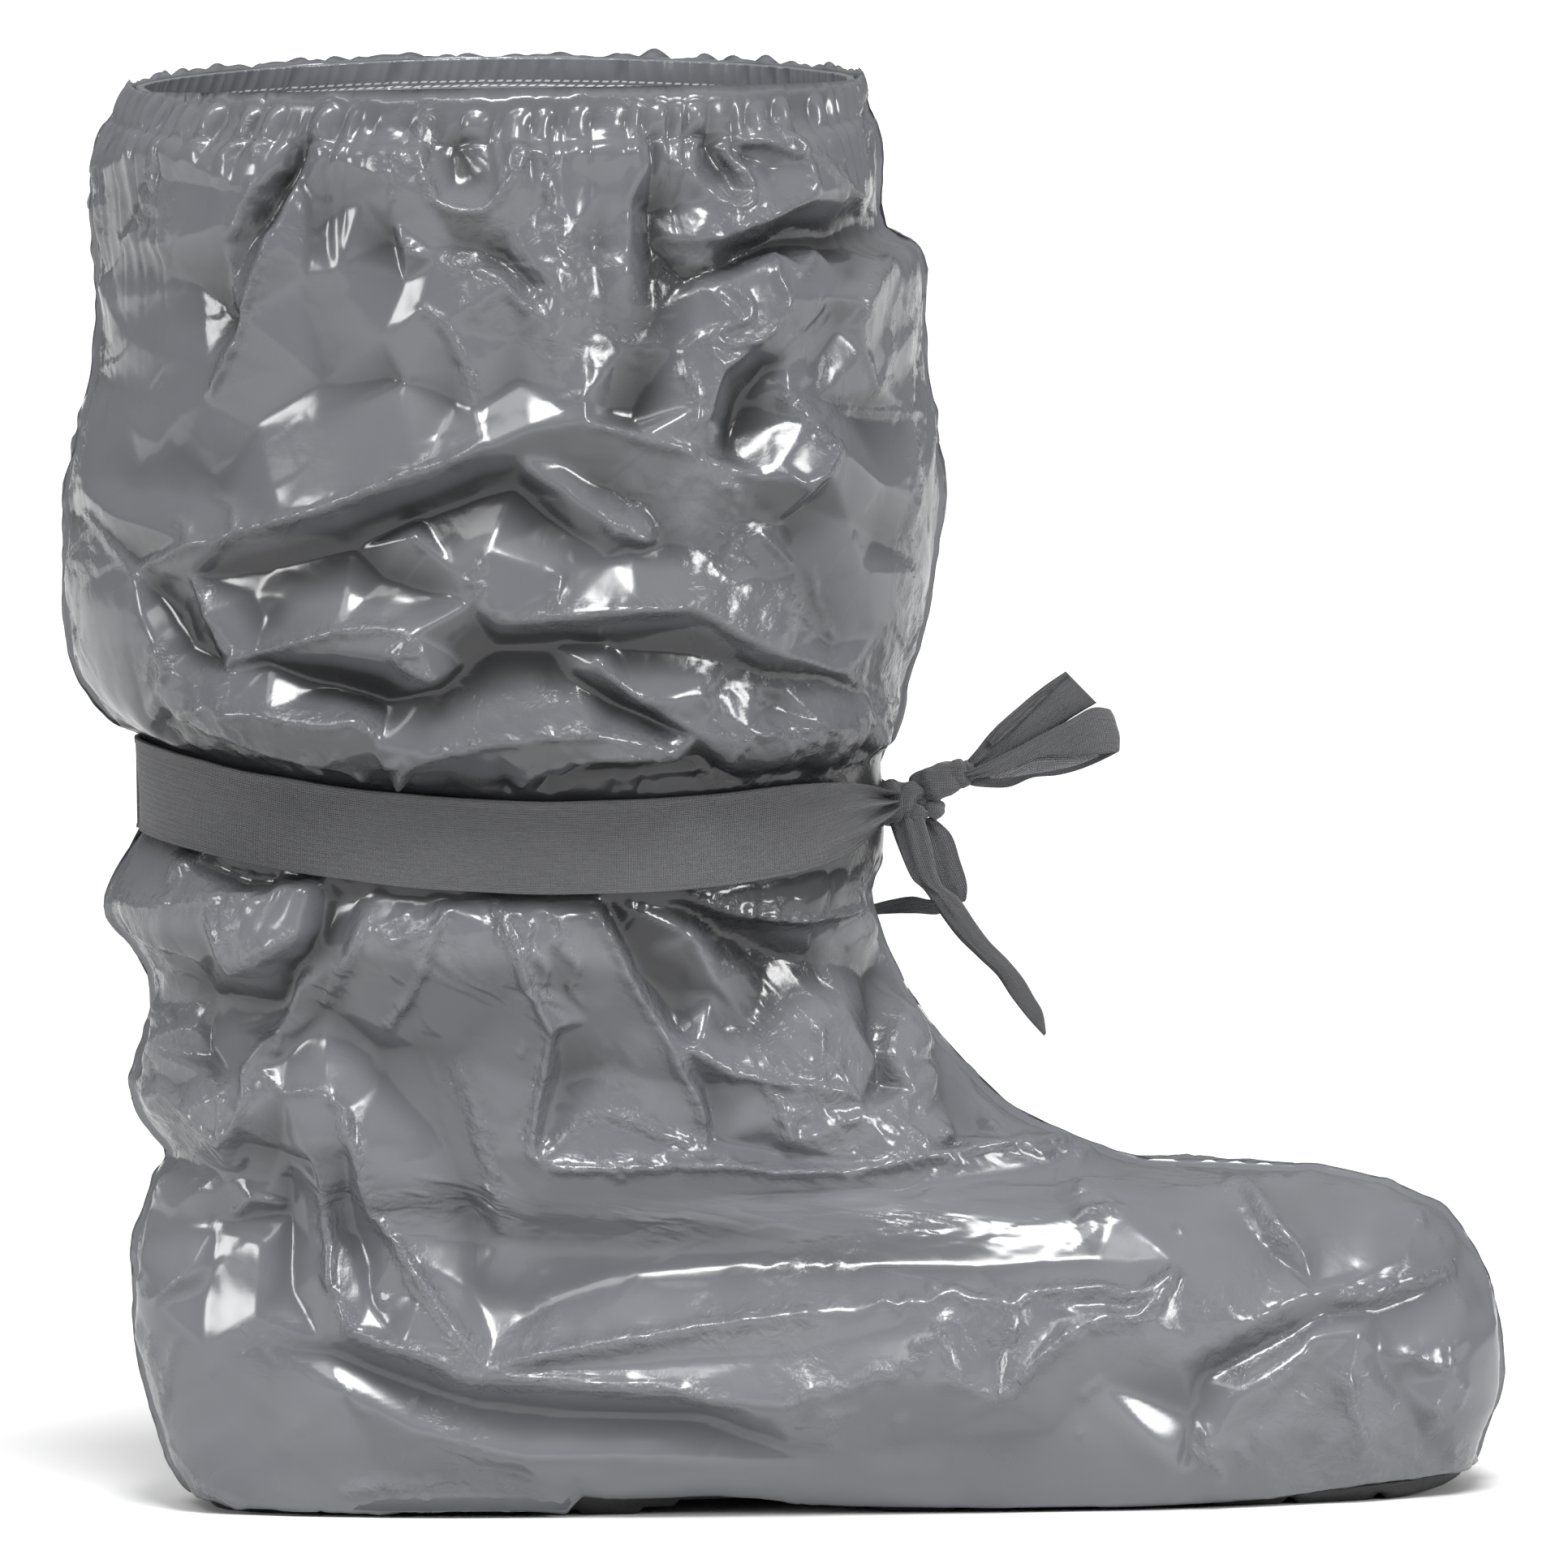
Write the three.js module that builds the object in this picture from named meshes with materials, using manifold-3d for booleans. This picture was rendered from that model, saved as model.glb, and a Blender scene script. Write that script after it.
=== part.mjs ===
// Chemical protective overshoe: a slack boot of laminated film on a black slip-resistant sheet sole,
// gathered by an elastic casing at the collar and by a knotted ribbon tie round the ankle.
// Millimetres. X runs from heel to toe, Y to the left, Z up. The origin is on the floor under the heel.
// It fits either foot. The film is built from level loops, each with a back point, a front point and a
// half width. Every table holds shares of the named sizes, so that a loop follows the size it belongs to.
import * as THREE from 'three';
import Module from 'manifold-3d';
import { mergeVertices } from 'three/addons/utils/BufferGeometryUtils.js';

const wasm = await Module();
wasm.setup();

// Foot
const footLength = 361;
const heelBehind = 72;
const ballWidth = 126;
const footHeight = 91;

// Shaft
const bootHeight = 380;
const shaftLength = 231;
const shaftWidth = 194;
const shaftCentre = 27;

// Ankle tie
const tieBackHeight = 192.5;
const tieFrontHeight = 184.7;
const tieSag = 8.6;
const tieWidth = 25;
const tieThickness = 1.1;
const ankleLength = 198;
const ankleWidth = 152;

// Knot and its ribbon ends
const knotSize = 10;
const ribbonThickness = 1.1;

// Film and collar
const filmWall = 0.6;
const seamRise = 1.4;
const seamHalfWidth = 3.4;
const pleatDepth = 3.2;
const foldDepth = 7;
const foldSpread = 14;
const collarDip = 3.2;
const casingHeight = 9;
const casingThickness = 1.3;
const elasticThickness = 1.95;

// Sole
const soleThickness = 3.2;
const heelThickness = 6.2;
const archRise = 4.2;
const toeSpring = 4;
const marginWidth = 8;
const marginCurl = 2.4;
const marginThickness = 2.4;
const grooveWidth = 3.2;
const grooveDepth = 1.9;

// Fits
const gap = 0.3;
const tieGap = 0.45;

// Facets: columns on each side of the film, strips across the sole, sides and rings of a knot's turn
const facets = { columns: 24, strips: 4, sides: 12, rings: 8 };
const heelBack = -heelBehind;

// Rows of numbers under named columns.
function table(columns, rows) {
  return rows.map((row) => Object.fromEntries(columns.map((name, i) => [name, row[i]])));
}

const lerp = THREE.MathUtils.lerp;
const smooth = THREE.MathUtils.smoothstep;
const tieHalf = tieWidth / 2;
const tieBottom = { back: tieBackHeight - tieHalf, front: tieFrontHeight - tieHalf };
const tieTop = { back: tieBackHeight + tieHalf, front: tieFrontHeight + tieHalf };

// Loops of the foot. back and front are shares of footLength from the back of the heel,
// backHigh, frontHigh and sag of footHeight, half of ballWidth. lead widens the ball end, full rounds
// the plan, slack is how much the loop takes of the folds, lift how much it follows the sole.
const footLoops = table(
  ['back', 'backHigh', 'front', 'frontHigh', 'half', 'sag', 'lead', 'full', 'slack', 'lift'],
  [
    [0.022, 0.115, 0.988, 0.12, 0.452, 0, 0.1, 0.6, 0.15, 0.8],
    [0.015, 0.235, 0.998, 0.235, 0.482, 0, 0.1, 0.6, 0.7, 0.5],
    [0.005, 0.385, 1, 0.37, 0.496, 0, 0.1, 0.62, 1, 0.2],
    [-0.001, 0.525, 0.996, 0.52, 0.49, 0.01, 0.1, 0.65, 1, 0],
    [0, 0.66, 0.988, 0.635, 0.468, 0.02, 0.08, 0.68, 1, 0],
    [0.001, 0.78, 0.969, 0.75, 0.445, 0.05, 0.04, 0.72, 1, 0],
    [0.009, 0.89, 0.95, 0.83, 0.43, 0.09, 0, 0.76, 1, 0],
    [0.017, 0.96, 0.908, 0.893, 0.425, 0.115, -0.06, 0.8, 1, 0],
    [0.026, 1.033, 0.86, 0.932, 0.425, 0.13, -0.14, 0.84, 1, 0],
    [0.014, 1.104, 0.79, 0.95, 0.43, 0.125, -0.2, 0.88, 1, 0],
    [0.003, 1.176, 0.728, 0.963, 0.436, 0.11, -0.22, 0.92, 1, 0],
  ],
);

// Loops of the instep and ankle. back and front are shares of ankleLength from the shaft's centre,
// backHigh and frontHigh of the way from the top of the foot to the tie, half of ankleWidth,
// sag of footHeight.
const ankleLoops = table(
  ['back', 'backHigh', 'front', 'frontHigh', 'half', 'sag', 'lead', 'full'],
  [
    [-0.503, 0.253, 0.732, 0.05, 0.37, 0.07, -0.18, 0.94],
    [-0.493, 0.325, 0.657, 0.154, 0.38, 0.03, -0.12, 0.96],
    [-0.48, 0.404, 0.606, 0.284, 0.39, 0.02, -0.06, 0.97],
    [-0.472, 0.472, 0.569, 0.397, 0.41, 0.02, 0, 0.97],
    [-0.475, 0.562, 0.523, 0.561, 0.434, 0.033, 0, 0.97],
    [-0.495, 0.657, 0.5, 0.719, 0.465, 0.055, 0, 0.97],
    [-0.527, 0.787, 0.482, 0.852, 0.496, 0.085, 0, 0.96],
  ],
);

// Loops of the shaft. back and front are shares of shaftLength from the shaft's centre, backHigh and
// frontHigh of the way from the tie to the collar, half of shaftWidth, sag of footHeight,
// pleat of pleatDepth.
const shaftLoops = table(
  ['back', 'backHigh', 'front', 'frontHigh', 'half', 'sag', 'full', 'pleat'],
  [
    [-0.45, 0.034, 0.452, 0.055, 0.437, 0.082, 0.98, 0.8],
    [-0.481, 0.089, 0.461, 0.116, 0.467, 0.05, 0.96, 0.4],
    [-0.496, 0.172, 0.481, 0.197, 0.49, 0.02, 0.95, 0],
    [-0.498, 0.263, 0.496, 0.295, 0.5, 0, 0.95, 0],
    [-0.493, 0.365, 0.502, 0.377, 0.5, 0, 0.95, 0],
    [-0.477, 0.469, 0.495, 0.481, 0.496, 0, 0.95, 0],
    [-0.461, 0.549, 0.485, 0.552, 0.492, 0, 0.95, 0],
    [-0.456, 0.623, 0.483, 0.623, 0.49, 0, 0.95, 0],
    [-0.457, 0.697, 0.483, 0.721, 0.488, 0, 0.95, 0],
    [-0.46, 0.771, 0.439, 0.765, 0.482, 0, 0.96, 0],
    [-0.457, 0.863, 0.434, 0.86, 0.472, -0.005, 0.97, 0.4],
  ],
);

// Folds of the slack film, seen from its own side: side is -1 on the right and 1 on the left, wide a share
// of foldSpread, push of foldDepth, outwards for a ridge. Above the foot a line's points are shares of
// shaftLength from the shaft's centre and of bootHeight.
const shaftFolds = [
  { side: -1, wide: 1.1, push: -1, line: [[-0.414, 0.645], [0.015, 0.745], [0.165, 0.705]] },
  { side: -1, wide: 0.8, push: 0.8, line: [[-0.394, 0.58], [-0.162, 0.625], [-0.078, 0.595]] },
  { side: -1, wide: 0.8, push: 0.7, line: [[-0.078, 0.836], [0.127, 0.765], [0.332, 0.714]] },
  { side: -1, wide: 0.8, push: -1.1, line: [[0.013, 0.53], [0.211, 0.537], [0.407, 0.535]] },
  { side: -1, wide: 0.8, push: 1.1, line: [[-0.358, 0.57], [-0.116, 0.54]] },
  { side: -1, wide: 0.7, push: 0.7, line: [[0.07, 0.565], [0.19, 0.56], [0.36, 0.572]] },
  { side: -1, wide: 0.6, push: 0.6, line: [[0.167, 0.95], [0.169, 0.874], [0.146, 0.766]] },
  { side: -1, wide: 0.8, push: -0.9, line: [[0.212, 0.947], [0.221, 0.895]] },
  { side: -1, wide: 0.7, push: -1, line: [[-0.225, 0.96], [-0.25, 0.94], [-0.316, 0.885]] },
  { side: -1, wide: 0.7, push: 0.7, line: [[-0.255, 0.923], [-0.297, 0.816], [-0.333, 0.776]] },
  { side: -1, wide: 0.8, push: -0.8, line: [[-0.092, 0.94], [-0.074, 0.91], [-0.022, 0.9], [0.02, 0.926]] },
  { side: -1, wide: 0.9, push: -0.9, line: [[0.211, 0.84], [0.314, 0.878], [0.351, 0.884]] },
  { side: -1, wide: 0.7, push: 0.6, line: [[0.255, 0.752], [0.314, 0.786], [0.368, 0.73]] },
  { side: -1, wide: 0.8, push: 1, line: [[-0.022, 0.432], [0.015, 0.384], [0.043, 0.345], [0.029, 0.253]] },
  { side: -1, wide: 0.7, push: 0.7, line: [[0.094, 0.434], [0.183, 0.33], [0.225, 0.259]] },
  { side: -1, wide: 1, push: -1, line: [[0.1, 0.434], [0.192, 0.408], [0.332, 0.397], [0.435, 0.303]] },
  { side: -1, wide: 0.7, push: -0.8, line: [[-0.338, 0.4], [-0.34, 0.321], [-0.32, 0.263], [-0.255, 0.216]] },
  { side: -1, wide: 0.7, push: 0.8, line: [[-0.34, 0.416], [-0.302, 0.392], [-0.22, 0.42]] },
  { side: -1, wide: 0.8, push: -0.7, line: [[-0.17, 0.38], [-0.15, 0.3]] },
  { side: 1, wide: 1.1, push: -1, line: [[-0.38, 0.7], [-0.05, 0.64], [0.24, 0.69]] },
  { side: 1, wide: 0.8, push: 0.8, line: [[-0.3, 0.6], [-0.02, 0.58], [0.3, 0.62]] },
  { side: 1, wide: 0.8, push: 0.7, line: [[-0.28, 0.79], [-0.06, 0.74], [0.16, 0.79]] },
  { side: 1, wide: 0.8, push: -1, line: [[-0.3, 0.55], [-0.12, 0.535]] },
  { side: 1, wide: 0.8, push: 1, line: [[0, 0.545], [0.22, 0.56]] },
  { side: 1, wide: 0.7, push: -0.9, line: [[-0.16, 0.95], [-0.2, 0.87], [-0.28, 0.82]] },
  { side: 1, wide: 0.7, push: 0.6, line: [[-0.04, 0.95], [-0.02, 0.86], [0.06, 0.8]] },
  { side: 1, wide: 0.8, push: -0.8, line: [[0.1, 0.94], [0.14, 0.88], [0.24, 0.86]] },
  { side: 1, wide: 0.8, push: 0.9, line: [[0.06, 0.43], [0.02, 0.36], [0.05, 0.27]] },
  { side: 1, wide: 0.8, push: -0.9, line: [[0.16, 0.43], [0.26, 0.38], [0.36, 0.31]] },
  { side: 1, wide: 0.8, push: 0.7, line: [[-0.24, 0.43], [-0.2, 0.36], [-0.27, 0.29]] },
  { side: 1, wide: 0.8, push: -0.8, line: [[-0.1, 0.42], [-0.12, 0.34]] },
];

// Folds of the foot: a line's points are shares of footLength from the back of the heel and of footHeight.
const footFolds = [
  { side: -1, wide: 0.8, push: 0.8, line: [[0.293, 1.055], [0.38, 1.03], [0.523, 1], [0.606, 1.02]] },
  { side: -1, wide: 0.6, push: 0.7, line: [[0.114, 1.2], [0.147, 1.2], [0.2, 0.747], [0.26, 0.43]] },
  { side: -1, wide: 0.6, push: 0.5, line: [[0.26, 0.42], [0.529, 0.57], [0.588, 0.615]] },
  { side: -1, wide: 0.6, push: -0.7, line: [[0.051, 0.5], [0.159, 0.43], [0.26, 0.33], [0.439, 0.295]] },
  { side: -1, wide: 0.6, push: 0.5, line: [[0.726, 0.95], [0.85, 0.59]] },
  { side: -1, wide: 0.7, push: -0.6, line: [[0.761, 0.34], [0.857, 0.52], [0.95, 0.6]] },
  { side: -1, wide: 0.9, push: -0.5, line: [[0.4, 0.78], [0.62, 0.75]] },
  { side: 1, wide: 0.8, push: 0.7, line: [[0.24, 0.98], [0.4, 0.96], [0.56, 1]] },
  { side: 1, wide: 0.7, push: -0.6, line: [[0.08, 0.42], [0.26, 0.36], [0.48, 0.42]] },
  { side: 1, wide: 0.7, push: 0.6, line: [[0.3, 0.5], [0.5, 0.6], [0.66, 0.56]] },
  { side: 1, wide: 0.8, push: -0.6, line: [[0.7, 0.7], [0.84, 0.55], [0.92, 0.4]] },
];

// Upper face of the sole. station is a share of footLength, heel is how much of the heel's extra
// thickness is there, rise a share of archRise.
const seatLine = table(
  ['station', 'heel', 'rise'],
  [
    [0, 1, 0],
    [0.35, 1, 0],
    [0.445, 0.7, 0.4],
    [0.55, 0, 0],
    [1, 0, 0],
  ],
);

// Steps of the breast and arch under the sole. station is a share of footLength, up of archRise.
const archSteps = table(
  ['station', 'up'],
  [
    [0.366, -0.5],
    [0.366, 0.4],
    [0.39, 0.45],
    [0.39, 0.85],
    [0.42, 0.9],
    [0.45, 1],
    [0.5, 0.95],
    [0.545, 0],
    [0.545, -0.5],
  ],
);

// Grooves across the tread. station is a share of footLength, deep of grooveDepth.
const grooves = table(
  ['station', 'deep'],
  [
    [0.125, 0.6],
    [0.165, 0.6],
    [0.235, 0.6],
    [0.275, 0.6],
    [0.315, 0.6],
    [0.6, 0.6],
    [0.64, 0.6],
    [0.7, 0.6],
    [0.74, 0.6],
    [0.78, 0.6],
    [0.838, 1],
    [0.905, 1],
  ],
);

// The film under the tie, as shares of ankleLength from the shaft's centre. gather is how much narrower the
// ribbon is drawn at the knot, and gatherSpread how far round that reaches.
const tieShape = { back: -0.482, front: 0.505, full: 0.97, gather: 0.6, gatherSpread: 0.32 };

// The collar, as shares of shaftLength and shaftWidth. spread and spreadBack are its slopes, rise the share
// of collarDip by which its sides stand higher than its front and back, pleat and rimPleat the depth of its
// pleats as shares of pleatDepth.
const collarShape = {
  back: -0.42,
  front: 0.42,
  half: 0.455,
  full: 0.98,
  spread: 0.1,
  spreadBack: 0.45,
  rise: 0.75,
  pleat: 0.8,
  rimPleat: 0.56,
};

// The film's lower edge and the sole's outline, as shares of footLength and ballWidth.
const edgeShape = {
  back: 0.042,
  front: 0.976,
  half: 0.405,
  lead: 0.1,
  full: 0.6,
  waist: 0.09,
  waistBack: 0.12,
  waistLong: 0.32,
  springStart: 0.9,
};

const along = (share) => heelBack + share * footLength;

function footLevel(row) {
  return {
    backX: along(row.back),
    backZ: row.backHigh * footHeight,
    frontX: along(row.front),
    frontZ: row.frontHigh * footHeight,
    half: row.half * ballWidth,
    sag: row.sag * footHeight,
    lead: row.lead,
    full: row.full,
    slack: row.slack,
    lift: row.lift,
    pleat: 0,
    seam: 1,
  };
}

function ankleLevel(row) {
  return {
    backX: shaftCentre + row.back * ankleLength,
    backZ: lerp(footHeight, tieBottom.back, row.backHigh),
    frontX: shaftCentre + row.front * ankleLength,
    frontZ: lerp(footHeight, tieBottom.front, row.frontHigh),
    half: row.half * ankleWidth,
    sag: row.sag * footHeight,
    lead: row.lead,
    full: row.full,
    slack: 1,
    lift: 0,
    pleat: 0,
    seam: 1,
  };
}

function shaftLevel(row) {
  return {
    backX: shaftCentre + row.back * shaftLength,
    backZ: lerp(tieTop.back, bootHeight, row.backHigh),
    frontX: shaftCentre + row.front * shaftLength,
    frontZ: lerp(tieTop.front, bootHeight, row.frontHigh),
    half: row.half * shaftWidth,
    sag: row.sag * footHeight,
    lead: 0,
    full: row.full,
    slack: 1,
    lift: 0,
    pleat: row.pleat,
    seam: 1,
  };
}

// The film under the ribbon: drawn in evenly, with no folds.
function tieLevel(heights) {
  return {
    backX: shaftCentre + tieShape.back * ankleLength,
    backZ: heights.back,
    frontX: shaftCentre + tieShape.front * ankleLength,
    frontZ: heights.front,
    half: ankleWidth / 2,
    sag: tieSag,
    lead: 0,
    full: tieShape.full,
    slack: 0,
    lift: 0,
    pleat: 0,
    seam: 0,
  };
}

// The collar, at a depth below its rim. It spreads downwards, most at the back.
function collarLevel(below, pleat) {
  return {
    backX: shaftCentre + collarShape.back * shaftLength - collarShape.spreadBack * below,
    backZ: bootHeight - collarDip - below,
    frontX: shaftCentre + collarShape.front * shaftLength + collarShape.spread * below,
    frontZ: bootHeight - collarDip - below,
    half: collarShape.half * shaftWidth + collarShape.spread * below,
    sag: -collarDip * collarShape.rise,
    lead: 0,
    full: collarShape.full,
    slack: 0,
    lift: 0,
    pleat,
    seam: 0,
  };
}

// The film's lower edge, which the sole's outline shares.
const edgeLevel = {
  backX: along(edgeShape.back),
  backZ: 0,
  frontX: along(edgeShape.front),
  frontZ: 0,
  half: edgeShape.half * ballWidth,
  sag: 0,
  lead: edgeShape.lead,
  full: edgeShape.full,
  waist: edgeShape.waist,
};

// Columns of the film: crest and feet of both seams, and even steps between them.
function columnAngles() {
  const foot = seamHalfWidth / (shaftWidth / 2);
  const half = [0, foot];
  for (let i = 1; i < facets.columns; i += 1) {
    half.push((Math.PI * i) / facets.columns);
  }
  half.push(Math.PI - foot, Math.PI);
  const other = half.slice(1, -1).reverse().map((angle) => -angle);
  return half.concat(other);
}

const angles = columnAngles();
const halfCount = angles.length / 2;

// Point of a level at an angle from the front. A waist narrows it just behind its middle.
function levelPoint(level, angle) {
  const side = Math.abs(angle) === Math.PI ? 0 : Math.sin(angle);
  const front = (1 + Math.cos(angle)) / 2;
  const fromWaist = (Math.cos(angle) + edgeShape.waistBack) / edgeShape.waistLong;
  const narrow = (level.waist ?? 0) * Math.exp(-(fromWaist ** 2));
  const wide = (1 + level.lead * Math.cos(angle)) * (1 - narrow);
  const reach = Math.sign(side) * Math.abs(side) ** level.full * wide;
  const z = lerp(level.backZ, level.frontZ, front) - level.sag * side * side;
  return new THREE.Vector3(lerp(level.backX, level.frontX, front), level.half * reach, z);
}

// Outward direction in plan at an angle of a level.
function outward(level, angle) {
  const step = 0.02;
  const before = levelPoint(level, angle - step);
  const after = levelPoint(level, angle + step);
  return new THREE.Vector3(after.y - before.y, before.x - after.x, 0).normalize();
}

// Folds fade out towards the seams at the front and back, between these shares of the half width.
const foldFade = { from: 0.1, to: 0.5 };

// Every fold as a line of plan and height points, in millimetres.
const foldLines = [
  ...shaftFolds.map((fold) => foldLine(fold, shaftCentre, shaftLength, bootHeight)),
  ...footFolds.map((fold) => foldLine(fold, heelBack, footLength, footHeight)),
];

function foldLine(fold, start, long, high) {
  const points = fold.line.map(([x, z]) => new THREE.Vector3(start + x * long, 0, z * high));
  return { ...fold, points };
}

// How far the folds push a point of the film outwards.
function foldPush(point, angle) {
  const place = new THREE.Vector3(point.x, 0, point.z);
  const nearest = new THREE.Vector3();
  const facing = smooth(Math.abs(Math.sin(angle)), foldFade.from, foldFade.to);
  let push = 0;
  for (const fold of foldLines) {
    let away = Infinity;
    for (let i = 1; i < fold.points.length && fold.side * point.y > 0; i += 1) {
      new THREE.Line3(fold.points[i - 1], fold.points[i]).closestPointToPoint(place, true, nearest);
      away = Math.min(away, nearest.distanceTo(place) / (fold.wide * foldSpread));
    }
    push += facing * fold.push * foldDepth * Math.exp(-away * away);
  }
  return push;
}

// Upper face of the sole, before its margin curls up.
function seatHeight(x) {
  const share = (x - heelBack) / footLength;
  let height = soleThickness;
  for (let i = 1; i < seatLine.length; i += 1) {
    const from = seatLine[i - 1];
    const to = seatLine[i];
    if (share >= from.station && share <= to.station) {
      const part = smooth(share, from.station, to.station);
      const heel = lerp(from.heel, to.heel, part);
      height = lerp(soleThickness, heelThickness, heel) + archRise * lerp(from.rise, to.rise, part);
    }
  }
  return height + springAt(x);
}

// Rise of the whole sole towards the toe, from a share of footLength.
function springAt(x) {
  const start = along(edgeShape.springStart);
  const part = Math.max(0, (x - start) / (edgeLevel.frontX - start));
  return toeSpring * part * part;
}

function curlAt(inset) {
  const part = Math.max(0, 1 - inset / marginWidth);
  return marginCurl * part * part;
}

// A point of the shared outline, moved in from the edge.
function outlinePoint(angle, inset) {
  return levelPoint(edgeLevel, angle).addScaledVector(outward(edgeLevel, angle), -inset);
}

function marginPoint(angle, inset) {
  const point = outlinePoint(angle, inset);
  point.z = seatHeight(point.x) + curlAt(inset) + gap;
  return point;
}

// A point of the film's outer face.
function filmPoint(level, column) {
  const angle = angles[column];
  const point = levelPoint(level, angle);
  const crest = column === 0 || column === halfCount;
  const pleat = column % 2 === 0 ? 1 : -1;
  let push = level.slack * foldPush(point, angle) + level.pleat * pleatDepth * pleat / 2;
  if (crest) {
    push = level.seam * seamRise;
  }
  point.addScaledVector(outward(level, angle), push);
  point.z += level.lift * (seatHeight(point.x) - soleThickness);
  return point;
}

const lowerTie = tieLevel(tieBottom);
const upperTie = tieLevel(tieTop);
const levels = [
  ...footLoops.map(footLevel),
  ...ankleLoops.map(ankleLevel),
  lowerTie,
  upperTie,
  ...shaftLoops.map(shaftLevel),
  collarLevel(casingHeight, collarShape.pleat),
  collarLevel(0, collarShape.rimPleat),
];

// Grid of points: a row per loop, a column per angle.
const ring = (make) => angles.map((angle, column) => make(angle, column));

function filmGrid() {
  const margin = [marginWidth, 0].map((inset) => ring((angle) => marginPoint(angle, inset)));
  return margin.concat(levels.map((level) => ring((angle, column) => filmPoint(level, column))));
}

// Normal of a grid at each point, from its neighbours.
function gridNormals(grid) {
  const count = grid[0].length;
  return grid.map((row, r) => row.map((point, c) => {
    const above = grid[Math.min(r + 1, grid.length - 1)][c];
    const below = grid[Math.max(r - 1, 0)][c];
    const next = row[(c + 1) % count];
    const previous = row[(c + count - 1) % count];
    return next.clone().sub(previous).cross(above.clone().sub(below)).normalize();
  }));
}

function offsetGrid(grid, distance) {
  const normals = gridNormals(grid);
  return grid.map((row, r) => row.map((point, c) => point.clone().addScaledVector(normals[r][c], distance)));
}

// Triangles between two loops of points, facing out when the second lies above the first. An inward band
// splits its quads along the same diagonals, so that the two skins of a thin wall never cross.
function band(faces, lower, upper, inward = false) {
  const count = lower.length;
  for (let c = 0; c < count; c += 1) {
    const n = (c + 1) % count;
    for (const face of [[lower[c], lower[n], upper[n]], [lower[c], upper[n], upper[c]]]) {
      faces.push(inward ? face.reverse() : face);
    }
  }
}

function facesToGeometry(faces) {
  const positions = faces.flatMap((face) => face.flatMap((point) => [point.x, point.y, point.z]));
  const geometry = new THREE.BufferGeometry();
  geometry.setAttribute('position', new THREE.Float32BufferAttribute(positions, 3));
  return mergeVertices(geometry, 1e-4);
}

// Closed wall between an outer grid and an inner grid.
function wallGeometry(outer, inner) {
  const faces = [];
  const last = outer.length - 1;
  for (let r = 0; r < last; r += 1) {
    band(faces, outer[r], outer[r + 1]);
    band(faces, inner[r], inner[r + 1], true);
  }
  band(faces, inner[0], outer[0]);
  band(faces, outer[last], inner[last]);
  return facesToGeometry(faces);
}

function upperGeometry() {
  const outer = filmGrid();
  return wallGeometry(outer, offsetGrid(outer, -filmWall));
}

// Hem folded down inside the rim, fuller in the middle where its elastic runs.
function casingGeometry() {
  const bands = [
    { below: casingHeight, thick: casingThickness },
    { below: casingHeight / 2, thick: elasticThickness },
    { below: 0, thick: casingThickness },
  ];
  const clear = filmWall + gap + collarShape.pleat * pleatDepth / 2;
  const face = (inset) => bands.map((row) => ring((angle) => {
    const level = collarLevel(row.below, 0);
    const point = levelPoint(level, angle).addScaledVector(outward(level, angle), -clear - inset(row));
    point.z -= gap;
    return point;
  }));
  return wallGeometry(face(() => 0), face((row) => row.thick));
}

// Ribbon round the ankle, drawn together towards the knot at the front.
function tieGeometry() {
  const gather = (angle) => 1 - tieShape.gather * Math.exp(-((angle / tieShape.gatherSpread) ** 2));
  const edge = 0.5 - gap / tieWidth;
  const shares = [-edge, 0, edge];
  const face = (offset) => shares.map((share) => ring((angle) => {
    const low = levelPoint(lowerTie, angle);
    const high = levelPoint(upperTie, angle);
    const point = low.lerp(high, 0.5 + share * gather(angle));
    return point.addScaledVector(outward(upperTie, angle), offset);
  }));
  return wallGeometry(face(tieGap + tieThickness), face(tieGap));
}

// Sole plate: rings of the outline at its margin, and strips straight across inside them.
function solePlate() {
  const insets = [0, marginWidth / 2, marginWidth];
  const face = (under) => insets.map((inset) => ring((angle) => {
    const point = outlinePoint(angle, inset);
    const top = seatHeight(point.x) + curlAt(inset);
    const full = seatHeight(point.x) - springAt(point.x);
    const thick = inset === 0 ? marginThickness : full;
    point.z = under ? top - thick : top;
    return point;
  }));
  const bottom = face(true);
  const top = face(false);
  const faces = [];
  band(faces, bottom[0], top[0]);
  for (let r = 0; r + 1 < insets.length; r += 1) {
    band(faces, top[r], top[r + 1]);
    band(faces, bottom[r], bottom[r + 1], true);
  }
  strips(faces, top[insets.length - 1], false);
  strips(faces, bottom[insets.length - 1], true);
  return facesToGeometry(faces);
}

// Fills a symmetric loop with strips across it, from each left point to its right twin.
function strips(faces, loop, down) {
  const steps = facets.strips;
  const across = (c) => {
    const left = loop[c];
    const right = loop[(loop.length - c) % loop.length];
    return Array.from({ length: steps + 1 }, (unused, s) => right.clone().lerp(left, s / steps));
  };
  for (let c = 0; c < halfCount; c += 1) {
    const front = across(c);
    const back = across(c + 1);
    for (let s = 0; s < steps; s += 1) {
      const quad = [[back[s], front[s], front[s + 1]], [back[s], front[s + 1], back[s + 1]]];
      for (const face of quad) {
        const flat = face[0].distanceTo(face[1]) * face[1].distanceTo(face[2]) * face[2].distanceTo(face[0]);
        if (flat > 1e-9) {
          faces.push(down ? face.reverse() : face);
        }
      }
    }
  }
}

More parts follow.
